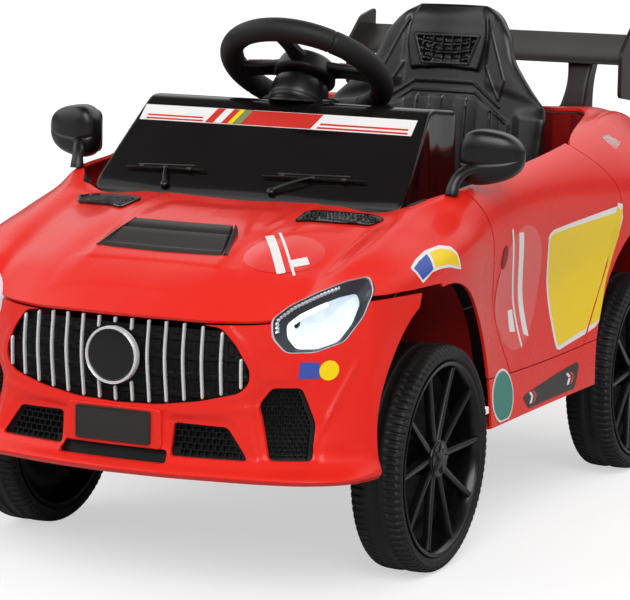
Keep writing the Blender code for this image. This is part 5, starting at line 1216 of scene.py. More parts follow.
class RIDEON_OT_headlights(bpy.types.Operator):
    """Makes the headlights: bezel, pale bowl, bright band, small lamp, cut strip and clear cover"""
    bl_idname = "ride_on.headlights"
    bl_label = "Headlights"

    def execute(self, context):
        looks = finishes(context)
        clear = finish("Clear cover", (0.97, 0.98, 1.0), 0.03, relief=0.01, grain=60.0, drift=0.05,
                       spread=0.02, more={"Transmission Weight": 1.0, "IOR": 1.12})
        # The bowl glows a little, though no lamp is lit, to stand in for the light that the clear cover holds back:
        # painted light.
        bowl = finish("Bright bowl", (0.6, 0.7, 0.78), 0.16, relief=0.01, drift=0.5, glow=0.32,
                      other=(0.9, 0.95, 1.0), wide=60.0)
        # The band glows strongly, though no lamp is lit: painted light.
        band = finish("Bright band", (0.93, 0.97, 1.0), 0.2, relief=0.004, drift=0.1, glow=0.8)
        smoke = finish("Smoked surround", (0.022, 0.026, 0.034), 0.14, relief=0.01, drift=0.5)
        edge = finish("Pale lens edge", (0.72, 0.7, 0.74), 0.2, relief=0.004, coat=0.3)
        pieces = {
            "bezel": (lamp_rings(((0.995, -0.0165), (0.995, 0.0), (0.986, 0.0009), (0.972, 0.0006),
                                  (0.962, -0.0012), (0.962, -0.0165))), edge, True),
            "surround": (offset_rings(((0.96, 0.0, -0.003), (0.9, 0.25, -0.0042), (0.8, 0.8, -0.006),
                                       (0.71, 1.25, -0.0085), (0.7, 1.25, -0.013), (0.955, 0.0, -0.015))),
                         smoke, True),
            "bowl": (offset_rings(((0.02, 1.2, -0.0125), (0.42, 1.2, -0.0125), (0.66, 1.25, -0.0118),
                                        (0.715, 1.25, -0.0088), (0.725, 1.25, -0.01), (0.94, 0.0, -0.0158),
                                        (0.5, 0.0, -0.016), (0.02, 0.0, -0.016))), bowl, False),
            "cover": (lamp_rings(((0.02, 0.0048), (0.35, 0.0045), (0.62, 0.0036), (0.82, 0.0024),
                                  (0.925, 0.001), (0.958, 0.0002), (0.956, -0.0006), (0.8, 0.0012),
                                  (0.6, 0.0024), (0.35, 0.0033), (0.02, 0.0036))), clear, False),
        }
        for name, (rings, material, ring_only) in pieces.items():
            add_pair(f"headlight_{name}", body_of(loft(rings, closed=ring_only)), material,
                     stands_for="headlight" if name == "bowl" else "",
                     slot="white_lens" if name in ("bowl", "cover") else None)
        add_lamp_details(looks, band)
        return {"FINISHED"}


SCREEN_ROWS = ((0.0345, 0.376, 0.186), (0.068, 0.4065, 0.182), (0.102, 0.438, 0.177), (0.132, 0.4655, 0.172),
               (0.146, 0.4705, 0.171))
DASH_BACK = 0.205
DASH_FACE = FRONT + DASH_BACK + 0.006
STEERING_CENTRE = np.array((0.0, FRONT + 0.182, 0.502))
TILT = math.radians(34.2)
STEERING_AXIS = np.array((0.0, math.sin(TILT), math.cos(TILT)))


def dash_height(back):
    return SCREEN_ROWS[-1][1] - (back - SCREEN_ROWS[-1][0]) * 0.099


def rod_between(start, end, radius, sides=32):
    """A plain round cutter between two points."""
    return body_of(tube(np.linspace(start, end, 3), radius, sides, (1, 0, 0)))


def add_wipers(looks):
    """Each wiper is an arm and a blade, thin sections carried along lines laid on the screen at a
    share of its slope."""
    (first_back, first_up, half), (last_back, last_up, _) = SCREEN_ROWS[0], SCREEN_ROWS[3]
    rise = np.array((0.0, last_back - first_back, last_up - first_up))
    away = np.array((0.0, -rise[2], rise[1])) / np.linalg.norm(rise)
    base = np.array((0.0, FRONT + first_back, first_up))

    def lay(x, share, off):
        x, share, off = np.broadcast_arrays(np.asarray(x, float), share, off)
        bow = joined(x, -0.003 * (x / half) ** 2, np.zeros_like(x))
        return base + rise * share[:, None] + away * off[:, None] + bow
    for (left, right, foot), word in (((0.012, 0.135, 0.03), "left"), ((-0.155, -0.058, -0.1), "right")):
        t = np.linspace(0, 1, 40)
        blade = tube(lay(left + (right - left) * t, 0.2 + 0.02 * t, 0.003 + 0.0004 * np.sin(np.pi * t)),
                     0.0019 * (0.55 + 0.45 * np.sin(np.pi * t) ** 0.4), 10, away, 1.25)
        spine = tube(lay(left + (right - left) * (0.15 + 0.7 * t), 0.225 + 0.02 * t, 0.005), 0.0011, 8, away)
        middle = (left + right) / 2
        arm = tube(lay(foot + (middle - foot) * t, 0.05 + 0.17 * t, 0.0034 + 0.003 * np.sin(np.pi * t * 0.8)),
                   0.0024 - 0.0008 * t, 10, away, 0.8)
        knob = tube(lay(np.full(9, foot), 0.045, np.linspace(0.0012, 0.0062, 9)),
                    0.0046 * np.sqrt(np.clip(1 - np.linspace(-0.2, 0.98, 9) ** 4, 0.05, 1)), 18, (1, 0, 0))
        pieces = [blade, spine, arm, knob]
        for share in (0.2, 0.5, 0.8):
            x = left + (right - left) * share
            pieces.append(tube(lay(x + np.linspace(-0.003, 0.003, 5), 0.21, 0.0042), 0.0022, 8, away))
        add(f"wiper_arm_{word}", body_of(*pieces), looks["satin"], "body", [f"wiper_{word}"])


class RIDEON_OT_screen(bpy.types.Operator):
    """Makes the windscreen and dashboard in one moulding, and the wipers"""
    bl_idname = "ride_on.screen"
    bl_label = "Windscreen"

    def execute(self, context):
        looks = finishes(context)
        spread = np.array((0, 0.2, 0.4, 0.6, 0.78, 0.9, 0.965, 1.0))
        rows = []
        lip = np.array((0, 0.7, 1.3, 1.9, 2.5, 2.9, 3.0, 3.05, 3.1, 3.15))
        for back in (0.01, 0.022, 0.0305):
            station = FRONT + back
            strip = skin(np.repeat([[station - 0.004], [station], [station + 0.004]], 9, axis=1),
                         np.broadcast_to(lip, (3, 10)))
            outward = normals(strip)
            rows.append((strip - outward * 0.0048)[1])
        path = list(SCREEN_ROWS[:4])
        path += [(0.1395, 0.4697, 0.1715), (0.15, 0.4705, 0.171)]
        path += [(back, dash_height(back), 0.17) for back in (0.165, DASH_BACK - 0.01, DASH_BACK)]
        edge = dash_height(DASH_BACK)
        path += [(DASH_BACK + 0.0055, edge - 0.003, 0.169), (DASH_BACK + 0.006, edge - 0.02, 0.168),
                 (DASH_BACK + 0.006, edge - 0.045, 0.167), (DASH_BACK + 0.006, edge - 0.09, 0.166),
                 (DASH_BACK + 0.006, edge - 0.13, 0.165)]
        for number, (back, height, half) in enumerate(path):
            bow = 0.003 if number < 6 else 0.0
            foot = height - 0.01 if number == 0 else min(0.352, height - 0.012)
            row = [(half * share, FRONT + back - bow * share**2, height) for share in spread]
            row.append((half + 0.0013, FRONT + back - bow, height - 0.06 * (height - foot)))
            row.append((half + 0.002, FRONT + back - bow, foot))
            rows.append(np.array(row))
        grid = spline(spline(mirrored(np.stack(rows)), 0, 7), 1, 5)
        outward = normals(grid)
        made = add("screen_and_dash", shell(grid, 0.0028, outward), looks["gloss"], "body", ["windscreen"])
        start = STEERING_CENTRE - STEERING_AXIS * 0.02
        holes = [rod_between(start, STEERING_CENTRE - STEERING_AXIS * 0.09, 0.01),
                 rod_between((0.09, DASH_FACE - 0.01, 0.405), (0.09, DASH_FACE + 0.01, 0.405), 0.0108)]
        box = ((-0.0986, 0.3918), (-0.0814, 0.3918), (-0.0814, 0.4182), (-0.0986, 0.4182))
        holes.append(prism(box, 1, DASH_FACE - 0.01, DASH_FACE + 0.01))
        carve(made, holes)
        add_wipers(looks)
        return {"FINISHED"}


def steering_place():
    """Matrix whose Z is the steering axis and whose X stays level."""
    return Matrix.Translation(Vector(STEERING_CENTRE)) @ Matrix.Rotation(-TILT, 4, "X")


def add_grip(looks, place):
    """Grip: a circle round the ring whose radius swells 0.7 mm at the hands and sinks at the stitched
    bands, where small stitches stand up."""
    around, section = 320, 28
    a = full_turn(around)[:, None]
    b = full_turn(section)[None]
    seams = np.array((0.42, 1.02, 2.12, 2.72, 4.0, 5.42))
    near = np.min(np.abs((a[:, 0, None] - seams + np.pi) % (2 * np.pi) - np.pi), axis=1)[:, None]
    swell = 0.0006 * np.cos(2 * a) ** 2 - 0.0009 * np.exp(-((near / 0.012) ** 2))
    stitch = 0.0005 * (np.sin(9 * b) > 0.2) * np.exp(-(((near - 0.022) / 0.007) ** 2))
    finger = 0.0004 * np.cos(24 * a) * (np.abs(np.sin(a)) < 0.75) * np.clip(-np.cos(b), 0, 1)
    radius = 0.0127 + swell + stitch + finger
    ring = 0.087 + radius * np.cos(b)
    points = joined(ring * np.cos(a), ring * np.sin(a), radius * np.sin(b))
    verts, faces = loft(points, closed=True)
    piece = body_of((moved(verts, place), faces))
    add("wheel_grip", piece, looks["leather"], "steering", ["steering_wheel"])


def add_spoke(looks, place, half, word):
    """Spoke: a rounded slab that narrows at its middle, with a red inlay and buttons on the broad
    ones."""
    r = np.linspace(0.029, 0.0815, 26)
    waist = half * (0.92 - 0.22 * np.sin(np.pi * (r - 0.029) / 0.0525))
    angle = full_turn(28)
    c, s = np.cos(angle), np.sin(angle)
    y = np.sign(c) * np.abs(c) ** 0.45 * waist[:, None]
    z = np.sign(s) * np.abs(s) ** 0.6 * 0.0048 + 0.0016 * np.cos(np.pi * (r[:, None] - 0.029) / 0.0525)
    rings = joined(r[:, None], y, z)
    verts, faces = loft(rings)
    add(f"wheel_spoke_{word}", body_of((moved(verts, place), faces)), looks["satin"], "steering")
    if word == "low":
        return
    inlay = rounded(((0.04, -0.0085), (0.072, -0.0105), (0.072, 0.0105), (0.04, 0.0085)), 0.004)
    inlay = resampled(inlay, 60)

    def spot(flat, rise):
        lean = 0.0016 * np.cos(np.pi * (flat[:, 0] - 0.029) / 0.0525)
        return moved(np.column_stack([flat, np.full(len(flat), rise) + lean]), place)
    add(f"spoke_inlay_{word}", body_of(slab(inlay, spot, 0.002, 0.0058, 0.0006)), looks["accent"], "steering")
    dots = []
    for x, y, size in ((0.047, 0.0, 0.0036), (0.0575, 0.0048, 0.0026), (0.0575, -0.0048, 0.0026),
                       (0.066, 0.0, 0.003)):
        dots.append(slab(ellipse((x, y), (size, size), 28), spot, 0.003, 0.0074, 0.0007))
    add(f"spoke_buttons_{word}", body_of(*dots), looks["satin"], "steering")


def add_column(looks):
    """Column: a turned collar with three steps, cut by the dashboard's top, on a flared oval foot."""
    place = steering_place()
    turn = place @ Matrix.Rotation(-math.pi / 2, 4, "Y")
    profile = np.array(((-0.0745, 0.0068), (-0.0745, 0.031), (-0.066, 0.0332), (-0.052, 0.0336), (-0.0505, 0.0318),
                        (-0.044, 0.0314), (-0.0425, 0.033), (-0.03, 0.0326), (-0.022, 0.0318),
                        (-0.0165, 0.029), (-0.016, 0.02), (-0.016, 0.0068)))
    outline = np.concatenate([profile[:1], spline(profile[1:-1], 0, 4), profile[-1:]])
    made = add("column_collar", body_of(turned(outline, 72, turn)), looks["satin"], "body",
               ["steering_column"])
    floor = ((FRONT + 0.05, dash_height(0.05) + 0.0006), (FRONT + 0.3, dash_height(0.3) + 0.0006),
             (FRONT + 0.3, 0.3), (FRONT + 0.05, 0.3))
    carve(made, [prism(floor, 0, -0.1, 0.1)])
    outline = ellipse((0.0, FRONT + 0.1695), (0.046, 0.0205), 80)

    def spot(flat, rise):
        return np.column_stack([flat, dash_height(flat[:, 1] - FRONT) + rise])
    made = add("column_foot", body_of(slab(outline, spot, 0.0004, 0.005, 0.0032, 6)), looks["satin"], "body")
    start = STEERING_CENTRE - STEERING_AXIS * 0.01
    carve(made, [rod_between(start, STEERING_CENTRE - STEERING_AXIS * 0.1, 0.0335, 48)])


class RIDEON_OT_steering(bpy.types.Operator):
    """Makes the steering wheel with its grip, spokes and buttons, the column and the horn"""
    bl_idname = "ride_on.steering"
    bl_label = "Steering wheel"

    def execute(self, context):
        looks = finishes(context)
        place = steering_place()
        add_grip(looks, place)
        rows = []
        for radius, z in ((0.0, 0.0092), (0.0196, 0.0092), (0.02, 0.01), (0.0262, 0.0118), (0.03, 0.01),
                          (0.0325, 0.004), (0.0345, -0.004), (0.0358, -0.0112), (0.03, -0.0122), (0.0, -0.0122)):
            rows.append((z, radius))
        hub = lathe(spline(np.array(rows[1:-1]), 0, 5), 72, place @ Matrix.Rotation(-math.pi / 2, 4, "Y"))
        add("wheel_hub", body_of(hub), looks["satin"], "steering")
        for angle, half, word in ((0, 0.016, "left"), (180, 0.016, "right"), (270, 0.012, "low")):
            add_spoke(looks, place @ Matrix.Rotation(math.radians(angle), 4, "Z"), half, word)
        cap = np.array(((0.0086, 0.018), (0.012, 0.0188), (0.0136, 0.018), (0.0146, 0.015), (0.015, 0.007),
                        (0.015, 0.0006)))
        cap = np.concatenate([[(0.0086, 0.0006)], cap])
        button = lathe(spline(cap, 0, 5), 64, place @ Matrix.Rotation(-math.pi / 2, 4, "Y"))
        add("horn_cap", body_of(button), looks["accent"], "horn", ["horn_button"])
        add_column(looks)
        return {"FINISHED"}


TYRE_HALF = 0.0285


def wheel_places():
    for side, word in SIDES:
        yield f"front_{word}", (side * 0.2285, FRONT, AXLE), side, f"wheel_front_{word}"
        yield f"rear_{word}", (side * 0.2345, REAR, AXLE), side, f"wheel_rear_{word}"


def wheel_dish():
    """Dark wall behind the spokes: a thin shallow cone turned about X, from the hub to the barrel,
    with three stiffening rings in it."""
    face = TYRE_HALF - 0.008
    t = np.linspace(0, 1, 60)
    radius = 0.019 + (0.0945 - 0.019) * t
    front = face - 0.03 + 0.003 * t**2 + 0.0012 * np.cos(6 * np.pi * t)
    outline = np.concatenate([np.stack([front, radius], 1), np.stack([front - 0.0022, radius], 1)[::-1]])
    return body_of(turned(outline, 120))


def wheel_tyre(grooves):
    """Tyre: its section turned about X, with the shoulder's radius lowered 2 mm in each cross
    groove and the middle sunk by one round groove. The side wall carries a raised ring."""
    half = TYRE_HALF
    control = np.array((
        (-half + 0.004, 0.103), (-half + 0.0015, 0.1062), (-half + 0.0006, 0.1085), (-half + 0.0012, 0.1098),
        (-half + 0.0002, 0.111), (-half + 0.0008, 0.115), (-half + 0.004, 0.1185), (-half + 0.008, 0.1196),
        (-0.01, 0.12), (-0.0045, 0.12), (-0.0036, 0.1184), (0.0036, 0.1184), (0.0045, 0.12),
        (0.01, 0.12), (half - 0.008, 0.1196), (half - 0.004, 0.1185), (half - 0.0008, 0.115),
        (half - 0.0002, 0.111), (half - 0.0012, 0.1098), (half - 0.0006, 0.1085), (half - 0.0015, 0.1062),
        (half - 0.004, 0.103)))
    section = spline(control, 0, 3)
    count = grooves * 4
    phase = np.arange(count) % 4
    cut = np.array((0.0, 1.0, 1.0, 0.0))[phase][:, None]
    x, r = section[None, :, 0], section[None, :, 1]
    shoulder = smooth(0.011, 0.0122, np.abs(x)) * smooth(0.1135, 0.115, r)
    radius = r - 0.002 * cut * shoulder
    across_x = x - 0.0012 * cut * np.sign(x) * smooth(0.112, 0.114, r) * smooth(0.0255, 0.027, np.abs(x))
    angle = (np.arange(count) + 0.35 * (phase == 0) - 0.35 * (phase == 3)) * 2 * np.pi / count
    angle = angle[:, None] + 0.01 * np.sign(x) * smooth(0.005, 0.028, np.abs(x))
    rings = joined(across_x, radius * np.cos(angle), radius * np.sin(angle))
    return body_of(loft(rings, closed=True))


def wheel_rim():
    """Rim: a stepped barrel with a lip, a hub with a bore, and five Y-shaped spokes, each of two
    ridged arms that part as they reach the barrel."""
    half = TYRE_HALF - 0.002
    barrel = np.array((
        (-half, 0.1024), (-half, 0.0985), (-half + 0.01, 0.0945), (0.0, 0.0925), (half - 0.01, 0.0945),
        (half - 0.0035, 0.0962), (half - 0.0015, 0.0975), (half + 0.0008, 0.099), (half + 0.0012, 0.101),
        (half + 0.0004, 0.1024)))
    barrel = np.concatenate([barrel[:1], spline(barrel[1:-1], 0, 4), barrel[-1:]])
    face = TYRE_HALF - 0.008
    hub = np.array(((face - 0.038, 0.0195), (face - 0.004, 0.0198), (face - 0.001, 0.0205), (face + 0.0012, 0.019),
                    (face + 0.0016, 0.015), (face + 0.001, 0.012), (face + 0.0002, 0.006)))
    hub = np.concatenate([hub[:1], spline(hub, 0, 3)[1:]])
    bore = np.array(((face - 0.006, 0.0068), (face - 0.038, 0.0068)))
    pieces = [turned(barrel, 160), turned(np.concatenate([bore[::-1], hub]), 72)]
    for number in range(5):
        middle = 2 * math.pi * (number + 0.03) / 5
        for lean in (-1, 1):
            pieces.append(spoke_arm(face, middle, lean))
    verts, faces = body_of(*pieces)
    return verts, faces


def spoke_arm(face, middle, lean):
    """One arm of a spoke: a ridged section carried from the hub to the barrel. It starts beside the
    spoke's middle line and parts from it evenly, so the ten arms stand evenly at the barrel."""
    t = np.linspace(0, 1, 26)
    r = 0.013 + (0.0918 - 0.013) * t
    part = lean * (0.0028 + 0.027 * t)
    half = 0.0047 - 0.0014 * t
    depth = 0.0095 - 0.0015 * t
    front = face - 0.0006 + 0.0052 * t**1.5
    profile = np.array(((-1.0, -1.0), (-1.0, -0.3), (-0.82, -0.12), (-0.45, -0.05), (-0.12, 0.0), (0.12, 0.0),
                        (0.45, -0.05), (0.82, -0.12), (1.0, -0.3), (1.0, -1.0), (0.4, -1.05), (-0.4, -1.05)))
    x = front[:, None] + depth[:, None] * profile[None, :, 1]
    y = part[:, None] + half[:, None] * profile[None, :, 0]
    rings = joined(x, y, r[:, None])
    verts, faces = loft(rings)
    return moved(verts, Matrix.Rotation(middle, 4, "X")), faces


def hub_star():
    """Hub cap with a five-armed star: a disc whose height rises along five rays."""
    face = TYRE_HALF - 0.008
    around, steps = 120, 18
    a = full_turn(around)[None]
    r = np.linspace(0.019, 0.0004, steps)[:, None]
    ray = np.abs((a / (2 * np.pi / 5) + 0.5) % 1 - 0.5) * 2 * np.pi / 5
    width = 0.0048 * (1 - r / 0.026)
    rise = 0.003 * smooth(1.25, 0.75, r * np.sin(np.clip(ray, 0, 1.5)) / width) * smooth(0.0186, 0.016, r)
    top = face + 0.002 + rise * (1 - 0.3 * r / 0.019)
    skirt = joined(np.full((1, around), face - 0.001), 0.019 * np.cos(a), 0.019 * np.sin(a))
    rings = joined(top, r * np.cos(a), r * np.sin(a))
    return body_of(loft(np.concatenate([skirt, rings])))


class RIDEON_OT_wheels(bpy.types.Operator):
    """Makes the four tyres and their rims with five double spokes before a dark ribbed dish"""
    bl_idname = "ride_on.wheels"
    bl_label = "Wheels"

    def execute(self, context):
        looks = finishes(context)
        tyre = wheel_tyre(context.scene.ride_on_sizes.tread_grooves)
        rim = wheel_rim()
        star = hub_star()
        dish = wheel_dish()
        for name, centre, side, body in wheel_places():
            place = Matrix.Translation(centre) @ Matrix.Rotation(0 if side > 0 else math.pi, 4, "Z")
            add(f"tread_{name}", (moved(tyre[0], place), tyre[1]), looks["tyre"], body, [f"tyre_{name}"], sharp=50)
            add(f"spokes_{name}", (moved(rim[0], place), rim[1]), looks["rim"], body, [f"rim_{name}"])
            add(f"hub_star_{name}", (moved(star[0], place), star[1]), looks["rim"], body)
            add(f"wheel_dish_{name}", (moved(dish[0], place), dish[1]), looks["black deep"], body)
        return {"FINISHED"}


def seat_back():
    """Back: at each height a closed ring of a front and a rear line that meet in a rounded edge. The
    front bows towards the sitter at its sides. It carries a raised headrest with a louvred vent, a
    shoulder panel with a piped border at each side, two piped folds and upright seams."""
    knots = np.array((0.267, 0.33, 0.4, 0.435, 0.462, 0.49, 0.53, 0.552, 0.558))
    values = np.array(((0.126, -0.051), (0.136, -0.042), (0.147, -0.033), (0.145, -0.027), (0.12, -0.02),
                       (0.096, -0.013), (0.078, -0.003), (0.056, 0.006), (0.044, 0.011)))
    z = np.concatenate([np.linspace(0.267, 0.4, 70), np.linspace(0.4012, 0.545, 124),
                        np.linspace(0.5465, 0.5578, 12)])
    read = curve(knots, values, z)
    half, front = read[:, :1], REAR + read[:, 1:]
    thin = np.clip(np.sqrt(np.clip(1 - ((z - 0.54) / 0.0182).clip(0, 1) ** 2, 0.004, 1)), 0.06, 1)[:, None]
    depth = 0.03 * thin
    u = np.linspace(-1, 1, 220)[None]
    round_off = 1 - np.sqrt(np.clip(1 - np.abs(u) ** 7, 0, 1))
    x, zz = np.broadcast_arrays(half * u, z[:, None])
    side = np.abs(x)

    def ridge(points, wide):
        """1 on a broken line through points, falling to 0 over its width."""
        points = np.asarray(points, float)
        near = np.full(x.shape, 1.0)
        for start, end in zip(points[:-1], points[1:]):
            way = end - start
            at = np.clip(((side - start[0]) * way[0] + (zz - start[1]) * way[1]) / (way @ way), 0, 1)
            near = np.minimum(near, np.hypot(side - start[0] - way[0] * at, zz - start[1] - way[1] * at))
        return np.exp(-((near / wide) ** 2))
    rest_half = 0.047 + 0.004 * np.cos((zz - 0.517) * 60)
    rest = smooth(0.0022, -0.0012, side - rest_half) * smooth(0.48, 0.485, zz + 0.06 * side)
    vent_half = 0.029 + 0.36 * (zz - 0.489)
    vent = smooth(0.001, -0.001, side - vent_half) * smooth(0.4885, 0.49, zz) * smooth(0.5205, 0.519, zz)
    rim = smooth(0.0045, 0.003, side - vent_half) * smooth(0.485, 0.4865, zz) * smooth(0.524, 0.5225, zz)
    cells = np.maximum(smooth(0.8, 0.9, 2 * np.abs((x / 0.0125 + 0.5) % 1 - 0.5)),
                       0.75 * smooth(0.45, 0.8, 2 * np.abs(((zz - 4.0 * x**2) / 0.0098) % 1 - 0.5)))
    piping = np.maximum(ridge(((0.054, 0.54), (0.084, 0.47), (0.077, 0.446), (0.056, 0.485)), 0.0016),
                        ridge(((0.0, 0.464), (0.04, 0.464), (0.079, 0.438)), 0.0014))
    piping = np.maximum(piping, ridge(((0.0, 0.453), (0.042, 0.453), (0.09, 0.42)), 0.0014))
    shoulder = smooth(0.052, 0.06, side) * smooth(0.45, 0.464, zz + 0.2 * (side - 0.08))
    below = smooth(0.45, 0.444, zz + 0.5 * np.clip(side - 0.042, 0, 1))
    seams = ridge(((0.0, 0.27), (0.0, 0.449)), 0.0012) + ridge(((0.033, 0.27), (0.033, 0.447)), 0.0012) \
        + ridge(((0.066, 0.27), (0.068, 0.43)), 0.0012)
    quilt = 0.0022 * np.abs(np.cos(np.pi * x / 0.033)) ** 0.5 * below * smooth(0.1, 0.094, side)
    bolster = 0.007 * smooth(0.098, 0.118, side) * smooth(0.44, 0.425, zz)
    relief = 0.006 * rest + 0.0016 * rim - 0.0068 * vent * (1 - cells) + 0.0016 * piping \
        + 0.0022 * shoulder * (1 - rest) + bolster + quilt - 0.0022 * seams * below
    wrap = 0.24 * half * u**2
    y_front = front - wrap - relief * thin + depth * 0.5 * round_off
    w = np.linspace(1, -1, 60)[None]
    round_off = 1 - np.sqrt(np.clip(1 - np.abs(w) ** 7, 0, 1))
    x_rear = half * w * (1 - 0.03 * (1 - np.abs(w) ** 6))
    panel = 0.002 * smooth(0.62, 0.7, np.abs(w)) * smooth(0.52, 0.5, z[:, None])
    y_rear = front + depth - 0.9 * 0.24 * half * w**2 - depth * 0.5 * round_off - panel * thin
    rings = np.concatenate([joined(x, y_front, zz),
                            joined(x_rear, y_rear, z[:, None])[:, 1:-1]], axis=1)
    return body_of(loft(rings))


def seat_pan():
    """Pan: a height over its plan, with raised borders at the sides, shallow cross ribs and a
    front edge that rolls down."""
    floor = 0.2553
    x = np.linspace(-0.14, 0.14, 96)[None]
    y = np.linspace(REAR - 0.191, REAR - 0.024, 70)[:, None]
    u = np.abs(x) / 0.14
    back = (y - REAR + 0.191) / 0.167
    rise = 0.017 + 0.007 * smooth(0, 0.2, back) + 0.003 * back
    border = 0.013 * smooth(0.62, 0.84, u)
    ribs = 0.0014 * smooth(0.3, 0.7, 0.5 + 0.5 * np.cos(2 * np.pi * y / 0.021)) * smooth(0.58, 0.52, u) \
        * smooth(0.1, 0.16, back)
    roll = 0.01 * (1 - smooth(0, 0.1, back)) + 0.006 * smooth(0.955, 1.0, u)
    top = np.stack(np.broadcast_arrays(x, y, floor + rise + border + ribs - roll), axis=2)
    bottom = np.stack(np.broadcast_arrays(x, y, floor + 0 * x), axis=2)
    return closed(top, bottom)


class RIDEON_OT_seat(bpy.types.Operator):
    """Makes the moulded seat: its back with borders, ribs and a vented headrest, and its pan"""
    bl_idname = "ride_on.seat"
    bl_label = "Seat"

    def execute(self, context):
        looks = finishes(context)
        add("seat_back", seat_back(), looks["vinyl"], "body", ["seat"], sharp=40)
        add("seat_pan", seat_pan(), looks["vinyl"], "body", sharp=40)
        return {"FINISHED"}


def add_posts(brown, lead, rise):
    """Each post blends between a rounded rectangle on the deck and one under the blade."""
    near, far = 0.1275 - 0.017, 0.1275 + 0.017
    foot, top = (soft_outline(((near, start), (far, start), (far, end), (near, end)), radius, 64)
                 for start, end, radius in ((REAR + 0.084, REAR + 0.122, 0.006), (lead + 0.008, lead + 0.046, 0.005)))
    base, _ = on_top(foot[:, 0], foot[:, 1])
    low = np.column_stack([foot, base[:, 2] + 0.0012])
    high = np.column_stack([top, 0.482 + (top[:, 1] - lead) * rise - 0.0006])
    t = np.linspace(0, 1, 16)[:, None, None]
    middle = low.mean(0) * (1 - t) + high.mean(0) * t
    rings = low * (1 - t) + high * t
    rings = middle + (rings - middle) * np.array((1, 1, 0)) * (1 - 0.18 * np.sin(np.pi * t)) \
        + (rings - middle) * np.array((0, 0, 1))
    flare = rings[:1] + (rings[:1] - rings[:1].mean(1, keepdims=True)) * np.array((0.1, 0.1, 0))
    piece = body_of(loft(np.concatenate([flare, rings[1:]])))
    add_pair("wing_foot", piece, brown, stands_for="wing_post")


class RIDEON_OT_wing(bpy.types.Operator):
    """Makes the rear wing with its end plates and two posts"""
    bl_idname = "ride_on.wing"
    bl_label = "Rear wing"

    def execute(self, context):
        lead, pitch = REAR + 0.104, math.radians(27.0)
        run = 0.074
        t = full_turn(44)
        along = 0.5 - 0.5 * np.cos(t)
        thick = 0.0095 * (np.sqrt(np.clip(along, 0, 1)) * (1 - along) * 1.55 + 0.09 * along)
        lift = np.where(np.sin(t) >= 0, thick, -0.18 * thick) - 0.0035 * np.sin(np.pi * along)
        section = joined(along * run, lift + 0.003)
        turn = np.array(((math.cos(pitch), -math.sin(pitch)), (math.sin(pitch), math.cos(pitch))))
        section = section @ turn.T + (lead, 0.4825)
        x = np.linspace(-0.1868, 0.1868, 30)
        rings = np.stack([np.column_stack([np.full(44, at), section]) for at in x])
        brown = finish("Wing plastic", (0.018, 0.0125, 0.012), 0.34, relief=0.06, grain=900.0, spread=0.08,
                       specular=0.3)
        add("wing_blade", body_of(loft(rings)), brown, "body", ["rear_wing"])
        low, high = 0.437, 0.54
        plate = rounded(((lead - 0.01, low + 0.008), (lead + 0.05, low), (lead + 0.071, low + 0.013),
                         (lead + 0.072, high), (lead + 0.03, high - 0.008), (lead - 0.01, high - 0.04)), 0.007)
        plate = resampled(plate, 120)

        def spot(flat, out):
            return np.column_stack([np.full(len(flat), out), flat])
        add_pair("wing_end", body_of(slab(plate, spot, 0.185, 0.1899, 0.0012, 4)), brown)
        add_posts(brown, lead, math.tan(pitch))
        return {"FINISHED"}


def add_quarter_plates(looks):
    """Small black triangles ahead of the mirrors, laid on the skin as thin raised plates."""
    outline = soft_outline(((0.189, -0.223), (0.199, -0.223), (0.209, -0.202), (0.2, -0.208)), 0.003, 60)
    add_pair("quarter_plate", body_of(film(outline, on_top, 0.0003, 0.0016, 8)), looks["gloss"])


